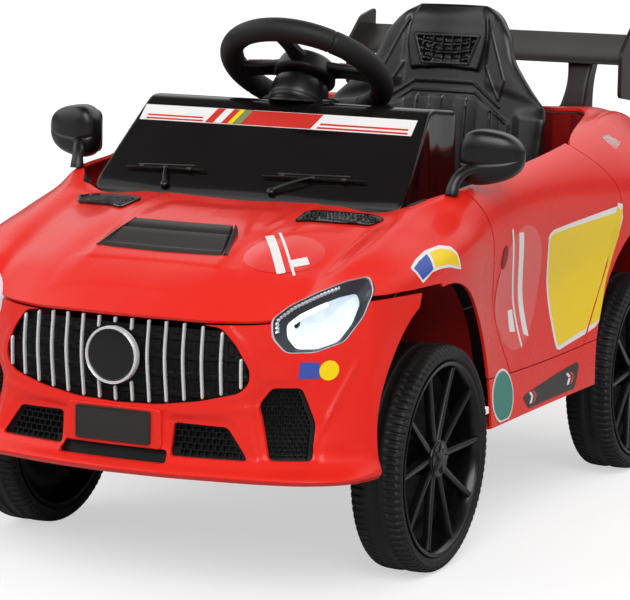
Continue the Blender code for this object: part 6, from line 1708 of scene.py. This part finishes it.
class RIDEON_OT_mirrors(bpy.types.Operator):
    """Makes the door mirrors: housing, glass, arm and foot"""
    bl_idname = "ride_on.mirrors"
    bl_label = "Mirrors"

    def execute(self, context):
        looks = finishes(context)
        x, y = HALF - 0.034, FRONT + 0.066
        base, _ = on_top(np.array((x,)), np.array((y,)))
        foot = base[0] + (0, 0, 0.0009)
        t = np.linspace(-1, 1, 60)
        share = 0.5 + 0.5 * np.sign(t) * (1 - (1 - np.abs(t)) ** 1.7)
        taper = 1 - 0.36 * share**1.6
        swell = (1 - np.abs(2 * share - 1) ** 3.0).clip(0.0005, 1) ** 0.4 * taper
        across_x = HALF + 0.028 - 0.068 * (1 - share)
        angle = full_turn(84)
        c, s = np.cos(angle), np.sin(angle)
        square = (np.abs(c) ** 3.4 + np.abs(s) ** 3.4) ** (-1 / 3.4)
        crease = 1 - 0.075 * np.exp(-(((s * square + 0.22) / 0.06) ** 2)) * (c < 0)
        dy = np.minimum(0.0215 * swell[:, None] * c * square * crease, 0.016)
        dz = 0.0322 * swell[:, None] * s * square
        middle_y, middle_z = foot[1] + 0.038, foot[2] + 0.037
        rings = joined(across_x[:, None], middle_y + 0.012 * share[:, None] + dy,
                       middle_z + 0.002 * share[:, None] + dz)
        housing = loft(rings)
        glass_outline = soft_outline(((-0.029, -0.0255), (0.027, -0.0175), (0.027, 0.0175), (-0.029, 0.0255)),
                                     0.011, 80)
        middle = np.array((HALF - 0.006, middle_y + 0.0215, middle_z))

        def spot(flat, rise):
            return middle + np.column_stack([flat[:, 0], rise + flat[:, 0] * 0.176, flat[:, 1]])
        bezel = slab(glass_outline, spot, -0.005, 0.0014, 0.0007)
        glass = slab(inset(glass_outline, 0.003), spot, 0.0015, 0.0021, 0.0003)
        t = np.linspace(0, 1, 30)[:, None]
        start, bend, end = foot + (0, 0, 0.0003), foot + (0.001, 0.004, 0.026), foot + (0.015, 0.03, 0.026)
        line = (1 - t) ** 2 * start + 2 * t * (1 - t) * bend + t**2 * end
        arm = tube(line, 0.0068 - 0.0012 * smooth(0, 0.3, t[:, 0]) + 0.0012 * smooth(0.7, 1, t[:, 0]), 24,
                   (1, 0, 0), 1.15)
        mirror_glass = finish("Mirror glass", (0.72, 0.75, 0.78), 0.04, metallic=1.0, relief=0.003, drift=0.1,
                              spread=0.03)
        add_pair("mirror_shell", body_of(housing, bezel, arm), looks["satin"], rider="mirror", stands_for="mirror")
        add_pair("mirror_glass", body_of(glass), mirror_glass, rider="mirror")
        add_quarter_plates(looks)
        return {"FINISHED"}


class RIDEON_OT_tail(bpy.types.Operator):
    """Makes the rear bumper with its plate's recess and the tail lights"""
    bl_idname = "ride_on.tail"
    bl_label = "Rear bumper"

    def execute(self, context):
        looks = finishes(context)
        wall = context.scene.ride_on_sizes.shell
        points = mirrored(fascia_grid(TAIL_FASCIA, (0, 5), (0, 5), 110, 84))
        outward = normals(points)
        flat = joined(np.abs(points[..., 0]), points[..., 2]).reshape(-1, 2)
        recess = distance_to(flat, ((-0.01, 0.236), (0.064, 0.236), (0.058, 0.3), (-0.01, 0.3)))
        lower = distance_to(flat, ((-0.01, 0.142), (0.15, 0.142), (0.135, 0.196), (-0.01, 0.196)))
        step = -0.0022 * smooth(0.004, -0.001, recess) - 0.003 * smooth(0.007, -0.001, lower)
        z = points[..., 2]
        crease = 0.0012 * np.exp(-(((z - 0.318) / 0.005) ** 2)) * smooth(0.02, 0.08, np.abs(points[..., 0]))
        points = points + outward * (step.reshape(z.shape) + crease)[..., None]
        made = add("tail_skin", shell(points, wall, outward), looks["paint"], "body", ["rear_bumper"], sharp=28)
        carve(made, arches(rear_arch), sharp=28)
        lamp = finish("Red lens", (0.26, 0.004, 0.004), 0.1, coat=0.4, relief=0.02, grain=300.0)
        grid = fascia_grid(TAIL_FASCIA, (1.42, 4.48), (2.37, 2.84), 150, 40)
        away = normals(grid)
        ribs = 0.0007 * np.abs(np.sin(np.pi * grid[..., 0] / 0.006))
        v = np.linspace(-1, 1, 40)[:, None]
        u = np.linspace(-1, 1, 150)[None]
        crown = 0.0026 * np.clip(1 - np.abs(v) ** 6, 0, 1) * np.clip(1 - np.abs(u) ** 14, 0, 1)
        top = grid + away * (0.0008 + (crown + ribs * (crown > 0.002))[..., None])
        piece = closed(top, grid + away * 0.0005)
        add_pair("tail_lens", piece, lamp, stands_for="tail_light", slot="red_lens")
        return {"FINISHED"}


class RIDEON_OT_bonnet_trim(bpy.types.Operator):
    """Makes the black scoop on the bonnet and the two meshed vents"""
    bl_idname = "ride_on.bonnet_trim"
    bl_label = "Scoop and vents"

    def execute(self, context):
        looks = finishes(context)
        v = np.array((0.0, 0.012, 0.04, 0.08, 0.11, 0.14, 0.17, 0.24, 0.34, 0.46, 0.58, 0.61, 0.63, 0.69, 0.71,
                      0.74, 0.8, 0.9, 0.97, 1.0))
        rise = np.array((0.0004, 0.0024, 0.0034, 0.0036, 0.0034, 0.0022, 0.0024, 0.0034, 0.0048, 0.0064, 0.008,
                         0.0078, 0.0026, 0.0026, 0.0088, 0.0096, 0.01, 0.0102, 0.0098, 0.0082))
        u = np.linspace(-1, 1, 81)
        y = NOSE + 0.116 + 0.052 * v
        half = 0.0765 - 0.015 * v
        x = half[:, None] * u[None]
        base, _ = on_top(x, np.broadcast_to(y[:, None], x.shape).copy())
        lift = base[..., 2] + 0.0006
        level = (lift.max(axis=1, keepdims=True) - lift) * (0.35 + 0.5 * v[:, None])
        wall = smooth(0.925, 0.945, np.abs(u)) * (1 - 0.55 * smooth(0.965, 1.0, np.abs(u)))
        height = np.where(np.abs(u) > 0.925, 0.0036 + 0.0066 * v[:, None], 0) * wall
        height = np.maximum(height, rise[:, None] * (1 - smooth(0.9, 0.92, np.abs(u))))
        top = joined(x, base[..., 1], lift + level + np.maximum(height, 0.0004))
        bottom = joined(x, top[..., 1], lift)
        add("bonnet_intake", closed(top, bottom), looks["grey"], "body", ["bonnet_scoop"], sharp=25)
        # A black sheet on the floor of the scoop's slot, under its rear rim, stands for the shade there: painted
        # shade.
        line = joined(half[11:16, None] * np.linspace(-0.915, 0.915, 60), y[11:16, None] + np.zeros(60))
        base, _ = on_top(line[..., 0], line[..., 1])
        cavity = base + (0, 0, 0.0036)
        cavity[..., 2] += (base[..., 2].max(axis=1, keepdims=True) - base[..., 2]) * 0.7
        add("bonnet_intake_slot", closed(cavity[1:4], cavity[1:4] - (0, 0, 0.0006)), looks["black deep"], "body")
        outline = soft_outline(((0.1033, -0.3078), (0.0992, -0.2664), (0.1617, -0.2463), (0.185, -0.2574),
                                (0.175, -0.275)), 0.006, 180)

        def net(flat):
            a, b = flat[:, 0] + 0.45 * flat[:, 1], flat[:, 1] - 0.45 * flat[:, 0]
            bars = np.maximum(np.abs((a / 0.0046) % 1 - 0.5), np.abs((b / 0.0034) % 1 - 0.5)) * 2
            rim = distance_to(flat, outline)
            return 0.001 * np.maximum(smooth(0.62, 0.78, bars), smooth(-0.0034, -0.0026, rim)) \
                + 0.0007 * smooth(-0.003, -0.0022, rim)
        piece = body_of(film(outline, on_top, 0.0003, 0.0003, 46, net))
        add_pair("vent_net", piece, looks["gloss"], stands_for="bonnet_vent", sharp=50)
        return {"FINISHED"}


def bar(start, end, half):
    """Outline of a straight bar between two points of a projection."""
    start, end = np.asarray(start, float), np.asarray(end, float)
    way = (end - start) / np.linalg.norm(end - start)
    side = np.array((-way[1], way[0])) * half
    return np.array((start + side, end + side, end - side, start - side))


def door_seam(shift):
    """Curve (y, z) of the door's rear seam, moved along Y."""
    table = np.array(DOOR_REAR)[None]
    points = skin(table, np.linspace(CREST, SEAM_COLUMN, 120)[None])[0]
    return points[:, 1] + shift, points[:, 2]


def seam_at(z, shift):
    y, height = door_seam(shift)
    return np.interp(-np.asarray(z, float), -height, y)


def lay_doors(lay):
    rider = "door"
    oval = ellipse((-0.039, 0.273), (0.064, 0.07), 120, 0.15)
    lay("door_clear", oval, on_side, "clear film", rider, 0.0001, 140, 0.0001, 22)
    lay("door_line", bar((-0.0811, 0.343), (-0.0232, 0.204), 0.0019), on_side, "white film", rider, 0.0004,
        80, 0.0004, 6)
    lay("door_bar", ((-0.061, 0.3363), (-0.0477, 0.3361), (-0.0015, 0.2125), (-0.0159, 0.2172)), on_side,
        "white film", rider, 0.0012, 100, 0.0004)
    lay("door_block", ((-0.06, 0.2498), (-0.0475, 0.2492), (-0.0395, 0.2232), (-0.0551, 0.2253)), on_side,
        "white film", rider, 0.0012, 60, 0.0004)
    z = np.linspace(0.3385, 0.1935, 40)
    seam = np.column_stack([seam_at(z, -0.003), z])
    edge = ((0.0305, 0.3205), (0.0335, 0.325), (0.0425, 0.3284))
    inner = ((0.035, 0.3185), (0.0372, 0.3212), (0.045, 0.324))
    outline = np.concatenate([edge, seam, ((0.086, 0.1846), (0.079, 0.1862), (0.075, 0.192))])
    lay("door_panel_border", resampled(outline, 220), on_side, "white film", rider, 0.0004, 220, 0.0001, 34)
    middle = seam[(z < 0.3345) & (z > 0.1975)]
    outline = np.concatenate([inner, middle, ((0.086, 0.1896), (0.083, 0.1902), (0.08, 0.1935))])
    lay("door_panel", resampled(outline, 220), on_side, "yellow film", rider, 0.0004, 220, 0.0005, 34)
    z = np.linspace(0.1945, 0.339, 40)
    seam = np.column_stack([seam_at(z, 0.0016), z])
    right = np.array(((0.2154, 0.342), (0.2262, 0.3375), (0.233, 0.324), (0.227, 0.302), (0.2165, 0.277),
                      (0.204, 0.25), (0.196, 0.22), (0.1905, 0.204), (0.18, 0.1985)))
    lay("quarter_panel_border", resampled(np.concatenate([seam, right]), 200), on_side, "white film",
        corner=0.0004, points=200, rings=26)
    kept = seam[(z > 0.199) & (z < 0.334)]
    outline = np.concatenate([kept, ((0.214, 0.3375), (0.223, 0.3335), (0.2285, 0.3225)), right[3:6],
                              right[6:8] + (0, 0.002)])
    lay("quarter_panel", resampled(outline, 200), on_side, "yellow film", corner=0.0004, points=200, rings=26,
        lift=0.0006)
    # A dark red oval where the door pull's hollow lies in shade: painted shade.
    lay("door_shade", ellipse((-0.0935, 0.313), (0.0075, 0.013), 48), on_side, "liner", rider, 0.0001, 48,
        0.0005)


def lay_wings(lay):
    arc = np.array(((-0.3362, 0.3309), (-0.3198, 0.3378), (-0.2969, 0.3438), (-0.2705, 0.3468),
                    (-0.2529, 0.344), (-0.2434, 0.3362), (-0.2375, 0.3185), (-0.2663, 0.3245),
                    (-0.286, 0.325), (-0.3038, 0.3235), (-0.3244, 0.3148)))
    blue = ((-0.3318, 0.3303), (-0.318, 0.3356), (-0.2985, 0.3408), (-0.3005, 0.3262), (-0.324, 0.3182))
    yellow = ((-0.293, 0.341), (-0.284, 0.343), (-0.27, 0.3432), (-0.2535, 0.34), (-0.2462, 0.334),
              (-0.242, 0.3222), (-0.266, 0.3275), (-0.286, 0.328), (-0.296, 0.327))
    lay("wing_arc_border", arc, on_side, "white film", corner=0.0015, rings=12)
    lay("wing_arc_blue", blue, on_side, "blue film", corner=0.0008, rings=8, lift=0.0005)
    lay("wing_arc_yellow", yellow, on_side, "yellow film", corner=0.0008, rings=8, lift=0.0005)
    louvre = ((0.236, 0.4152), (0.2586, 0.4156), (0.284, 0.4052), (0.256, 0.399))

    def fins(flat):
        return 0.0011 * smooth(0.35, 0.65, 0.5 + 0.5 * np.sin(2 * np.pi * (flat[:, 0] + flat[:, 1]) / 0.0068))
    lay("haunch_louvre", louvre, on_side, "chrome", corner=0.0015, rings=26, relief=fins, points=140)


def lay_bonnet(lay):
    """Films on the bonnet's left half alone, as in the photograph."""
    left = {"sides": SIDES[:1]}
    oval = ellipse((0.127, -0.377), (0.043, 0.033), 120, 0.9)
    lay("bonnet_clear", oval, on_top, "clear film", corner=0.0001, points=140, lift=0.0001, rings=18,
        **left)
    lay("bonnet_line", bar((0.104, -0.342), (0.1534, -0.4075), 0.0014), on_top, "white film", corner=0.0004,
        lift=0.0004, rings=6, **left)
    lay("bonnet_bar", ((0.0923, -0.3525), (0.1005, -0.3486), (0.1438, -0.4074), (0.137, -0.414)), on_top,
        "white film", corner=0.001, lift=0.0004, **left)
    lay("bonnet_block", ((0.138, -0.386), (0.1493, -0.371), (0.1573, -0.3805), (0.1455, -0.3955)), on_top,
        "white film", corner=0.0008, lift=0.0004, **left)


def lay_nose(lay):
    lay("nose_patch", ((0.1822, 0.2458), (0.1979, 0.2455), (0.1991, 0.2296), (0.1811, 0.2298)), on_front,
        "blue film", corner=0.0008, points=64)
    lay("nose_dot", ellipse((0.2058, 0.2376), (0.0078, 0.0098), 64), on_front, "yellow film", corner=0.0001,
        points=64, lift=0.0005)


def lay_sills(lay):
    disc = ellipse((-0.0891, 0.16), (0.0318, 0.0295), 90)
    cut = disc[disc[:, 1] > 0.1325]
    lay("sill_disc_border", cut, on_side, "white film", corner=0.0002, points=120, rings=16)
    disc = ellipse((-0.0891, 0.16), (0.029, 0.0268), 90)
    lay("sill_disc", disc[disc[:, 1] > 0.1345], on_side, "green film", corner=0.0002, points=120, rings=16,
        lift=0.0006)
    plate = ((-0.0301, 0.147), (-0.0227, 0.1509), (0.131, 0.164), (0.1365, 0.16), (0.1281, 0.144),
             (0.118, 0.135), (-0.018, 0.1345))
    lay("sill_plate", resampled(plate, 200), on_side, "black film", corner=0.0004, points=200, rings=14)
    for name, shift, look in (("white", 0.0, "white film"), ("red", 0.01, "red film")):
        first = np.array(((-0.014, 0.138), (-0.008, 0.138), (-0.001, 0.145), (-0.007, 0.1505),
                          (-0.013, 0.15), (-0.007, 0.145)))
        lay(f"sill_chevron_front_{name}", first[[0, 1, 2, 5]] + (shift, 0.0008), on_side, look, corner=0.0003,
            points=48, lift=0.0005, rings=5)
        lay(f"sill_chevron_upper_{name}", first[[5, 2, 3, 4]] + (shift, 0.001), on_side, look, corner=0.0003,
            points=48, lift=0.0005, rings=5)
        last = first + (0.112, 0.004)
        lay(f"sill_chevron_rear_{name}", last[[0, 1, 2, 5]] + (shift, 0), on_side, look, corner=0.0003,
            points=48, lift=0.0005, rings=5)
        lay(f"sill_chevron_high_{name}", last[[5, 2, 3, 4]] + (shift, 0.001), on_side, look, corner=0.0003,
            points=48, lift=0.0005, rings=5)


def lay_screen(looks):
    """Band across the top of the windscreen, white with thin red lines and one red block whose ends
    and stripes are slanted: x = place + slant * (share of the height - 1/2)."""
    def patch(left, right, low, high, lift, slant=0.0):
        x, z = np.meshgrid(np.linspace(left, right, 24), np.linspace(low, high, 6))
        x = x + slant * ((z - 0.4435) / 0.0155 - 0.5)
        back = 0.102 + (z - 0.438) / 0.0275 * 0.03
        half = 0.177 - (back - 0.102) / 0.03 * 0.005
        slope = np.array((0.0, -0.6757, 0.7372))
        place = joined(x, FRONT + back - 0.003 * (x / half) ** 2, z)
        return closed(place + slope * (lift + 0.00035), place + slope * lift)
    low, high = 0.444, 0.4585
    runs = {
        "white": ((-0.17, 0.163, 0.4435, 0.459, 0.0004), (-0.0735, -0.064, low, high, 0.0012, 0.009)),
        "red": ((-0.084, 0.0455, low, high, 0.0008, 0.009), (-0.162, -0.0915, 0.4446, 0.446, 0.0008),
                (-0.162, -0.093, 0.4478, 0.4492, 0.0008), (0.049, 0.158, 0.4446, 0.4462, 0.0008),
                (0.051, 0.157, 0.4482, 0.4498, 0.0008)),
        "yellow": ((-0.056, -0.05, low, high, 0.0012, 0.009),),
        "olive": ((-0.05, -0.04, low, high, 0.0012, 0.009),),
    }
    for name, spans in runs.items():
        add(f"screen_band_{name}", body_of(*[patch(*span) for span in spans]), looks[f"{name} film"], "body")


class RIDEON_OT_films(bpy.types.Operator):
    """Lays the coloured films on the doors, wings, bonnet, nose, sills and windscreen"""
    bl_idname = "ride_on.films"
    bl_label = "Films"

    def execute(self, context):
        looks = finishes(context)
        thick = context.scene.ride_on_sizes.film

        def lay(name, outline, surface, look, rider="", corner=0.002, points=96, lift=0.0002, rings=12,
                relief=None, sides=SIDES):
            outline = resampled(rounded(np.asarray(outline, float), corner, 6), points)
            piece = body_of(film(outline, surface, lift, thick, rings, relief))
            add_pair(name, piece, looks[look], rider, sides=sides)
        lay_doors(lay)
        lay_wings(lay)
        lay_bonnet(lay)
        lay_nose(lay)
        lay_sills(lay)
        lay_screen(looks)
        return {"FINISHED"}


class RIDEON_OT_running_gear(bpy.types.Operator):
    """Gives the frame's own pieces, under the body and in the cockpit, their finishes"""
    bl_idname = "ride_on.running_gear"
    bl_label = "Running gear"

    def execute(self, context):
        looks = finishes(context)
        given = {
            "grained": ("chassis", "cockpit_tub", "seat_base", "battery", "direction_switch"),
            "satin": ("knuckle_left", "knuckle_right", "tie_rod"),
            "steel": ("steering_shaft", "rear_axle"),
            "grey": ("gearbox_left", "gearbox_right", "accelerator_pedal"),
            # The cockpit's rear wall takes the red in painted shade.
            "liner": ("cockpit_rear_wall",),
            "button": ("start_button",),
        }
        looks["button"] = finish("Red button", (0.5, 0.015, 0.012), 0.25, relief=0.02)
        for look, names in given.items():
            for name in names:
                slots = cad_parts[name].data.materials
                for number in range(len(slots)):
                    slots[number] = looks[look]
                if not len(slots):
                    slots.append(looks[look])
        return {"FINISHED"}


def aim(spot, yaw, pitch, roll):
    """Camera matrix: it looks along a heading and a downward pitch, and is rolled about that line."""
    ahead = np.array((-math.sin(yaw) * math.cos(pitch), math.cos(yaw) * math.cos(pitch), -math.sin(pitch)))
    right = np.cross(ahead, (0, 0, 1))
    right /= np.linalg.norm(right)
    up = np.cross(right, ahead)
    right, up = right * math.cos(roll) + up * math.sin(roll), up * math.cos(roll) - right * math.sin(roll)
    return Matrix([(*row, at) for row, at in zip(joined(right, up, -ahead), spot)] + [(0, 0, 0, 1)])


def set_background(scene):
    """White where the camera looks at it, straight or through a clear piece, even as a lamp, and in
    reflections a bright belt: smooth from z 0.05 to 0.45 times smooth from z 0.9 to 0.7."""
    scene.world = scene.world or bpy.data.worlds.new("World")
    scene.world.use_nodes = True
    tree = scene.world.node_tree
    tree.nodes.clear()
    rays, sky, parts = node(tree, "LightPath"), node(tree, "TexCoord"), node(tree, "SeparateXYZ")
    shine = node(tree, "Math", operation="MULTIPLY")
    wire(tree, (sky, "Generated", parts, 0))
    for number, belt in enumerate(((0.05, 0.45, 0.1, 1.05), (0.9, 0.68, 0.12, 1.05))):
        values = dict(zip(("From Min", "From Max", "To Min", "To Max"), belt))
        step = node(tree, "MapRange", values, interpolation_type="SMOOTHSTEP")
        wire(tree, (parts, "Z", step, "Value"), (step, 0, shine, number))
    even = node(tree, "Mix", {"A": 0.5}, data_type="FLOAT")
    seen, strength = (node(tree, "Math", operation="MAXIMUM") for _ in range(2))
    shader = node(tree, "Background", {"Color": (1, 1, 1, 1)})
    wire(tree, (shine, 0, even, "B"), (rays, "Is Glossy Ray", even, "Factor"), (rays, "Is Camera Ray", seen, 0),
         (rays, "Is Transmission Ray", seen, 1), (seen, 0, strength, 0), (even, 0, strength, 1),
         (strength, 0, shader, "Strength"), (shader, 0, node(tree, "OutputWorld"), "Surface"))


class RIDEON_OT_stage(bpy.types.Operator):
    """Sets the pale floor, the studio lamps, the background and the camera"""
    bl_idname = "ride_on.stage"
    bl_label = "Stage"

    def execute(self, context):
        scene = context.scene
        size, floor_z = 30.0, -0.0004
        x, y = np.meshgrid(np.linspace(-size, size, 9), np.linspace(-size, size, 9))
        points = joined(x, y, np.full_like(x, floor_z))
        mesh = bpy.data.meshes.new("floor")
        mesh.from_pydata(points.reshape(-1, 3).tolist(), [], grid_faces(9, 9)[:, ::-1].tolist())
        floor = bpy.data.objects.new("floor", mesh)
        bpy.context.collection.objects.link(floor)
        look = finish("Pale floor", (0.55, 0.55, 0.55), 0.9, relief=0.0, drift=0.02, specular=0.0)
        mesh.materials.append(look)
        tree = look.node_tree
        shader = next(one for one in tree.nodes if one.type == "BSDF_PRINCIPLED")
        rays = node(tree, "LightPath")
        glow = node(tree, "Math", {1: 0.55}, operation="MULTIPLY")
        wire(tree, (rays, "Is Camera Ray", glow, 0), (glow, 0, shader, "Emission Strength"))
        shader.inputs["Emission Color"].default_value = (1, 1, 1, 1)
        power = scene.ride_on_sizes.lamp_power
        for name, spot, strength, wide in (("key", (1.2, -2.2, 1.9), 1.7, 40),
                                           ("fill", (-3.0, -1.5, 2.0), 0.6, 60),
                                           ("back", (1.5, 3.0, 2.5), 0.2, 60)):
            lamp = bpy.data.lights.new(name, "SUN")
            lamp.energy, lamp.angle = strength * power, math.radians(wide)
            made = bpy.data.objects.new(name, lamp)
            bpy.context.collection.objects.link(made)
            made.location = spot
            made.rotation_euler = (-Vector(spot)).to_track_quat("-Z", "Y").to_euler()
        set_background(scene)
        camera = bpy.data.objects.new("camera", bpy.data.cameras.new("camera"))
        bpy.context.collection.objects.link(camera)
        camera.matrix_world = aim((1.398, -2.955, 0.747), 0.46, 0.155, 0.016)
        camera.data.sensor_width, camera.data.sensor_fit = 36.0, "HORIZONTAL"
        camera.data.lens = 2868.4 / 630 * 36.0
        camera.data.shift_x, camera.data.shift_y = (315 - 278.26) / 630, -(300 - 296.03) / 630
        scene.camera = camera
        scene.view_settings.view_transform = "Standard"
        return {"FINISHED"}


OPERATORS = (
    RIDEON_OT_bodywork, RIDEON_OT_nose, RIDEON_OT_grille, RIDEON_OT_headlights, RIDEON_OT_bonnet_trim,
    RIDEON_OT_screen, RIDEON_OT_steering, RIDEON_OT_wheels, RIDEON_OT_seat, RIDEON_OT_wing, RIDEON_OT_mirrors,
    RIDEON_OT_tail, RIDEON_OT_films, RIDEON_OT_running_gear, RIDEON_OT_stage,
)


class RIDEON_PT_panel(bpy.types.Panel):
    """Lists the car's sizes, colours and pieces"""
    bl_idname = "RIDEON_PT_panel"
    bl_label = "Ride-on car"
    bl_space_type = "VIEW_3D"
    bl_region_type = "UI"
    bl_category = "Ride-on car"

    def draw(self, context):
        layout = self.layout
        for settings in (context.scene.ride_on_sizes, context.scene.ride_on_colours):
            box = layout.box()
            for name in settings.__annotations__:
                box.prop(settings, name)
        for operator in OPERATORS:
            layout.operator(operator.bl_idname)


CLASSES = (RideOnSizes, RideOnColours, *OPERATORS, RIDEON_PT_panel)


def register():
    for cls in CLASSES:
        bpy.utils.register_class(cls)
    bpy.types.Scene.ride_on_sizes = PointerProperty(type=RideOnSizes)
    bpy.types.Scene.ride_on_colours = PointerProperty(type=RideOnColours)


def unregister():
    del bpy.types.Scene.ride_on_colours
    del bpy.types.Scene.ride_on_sizes
    for cls in reversed(CLASSES):
        bpy.utils.unregister_class(cls)


def main():
    register()
    for operator in OPERATORS:
        group_name, name = operator.bl_idname.split(".")
        getattr(getattr(bpy.ops, group_name), name)()


if __name__ == "__main__":
    main()
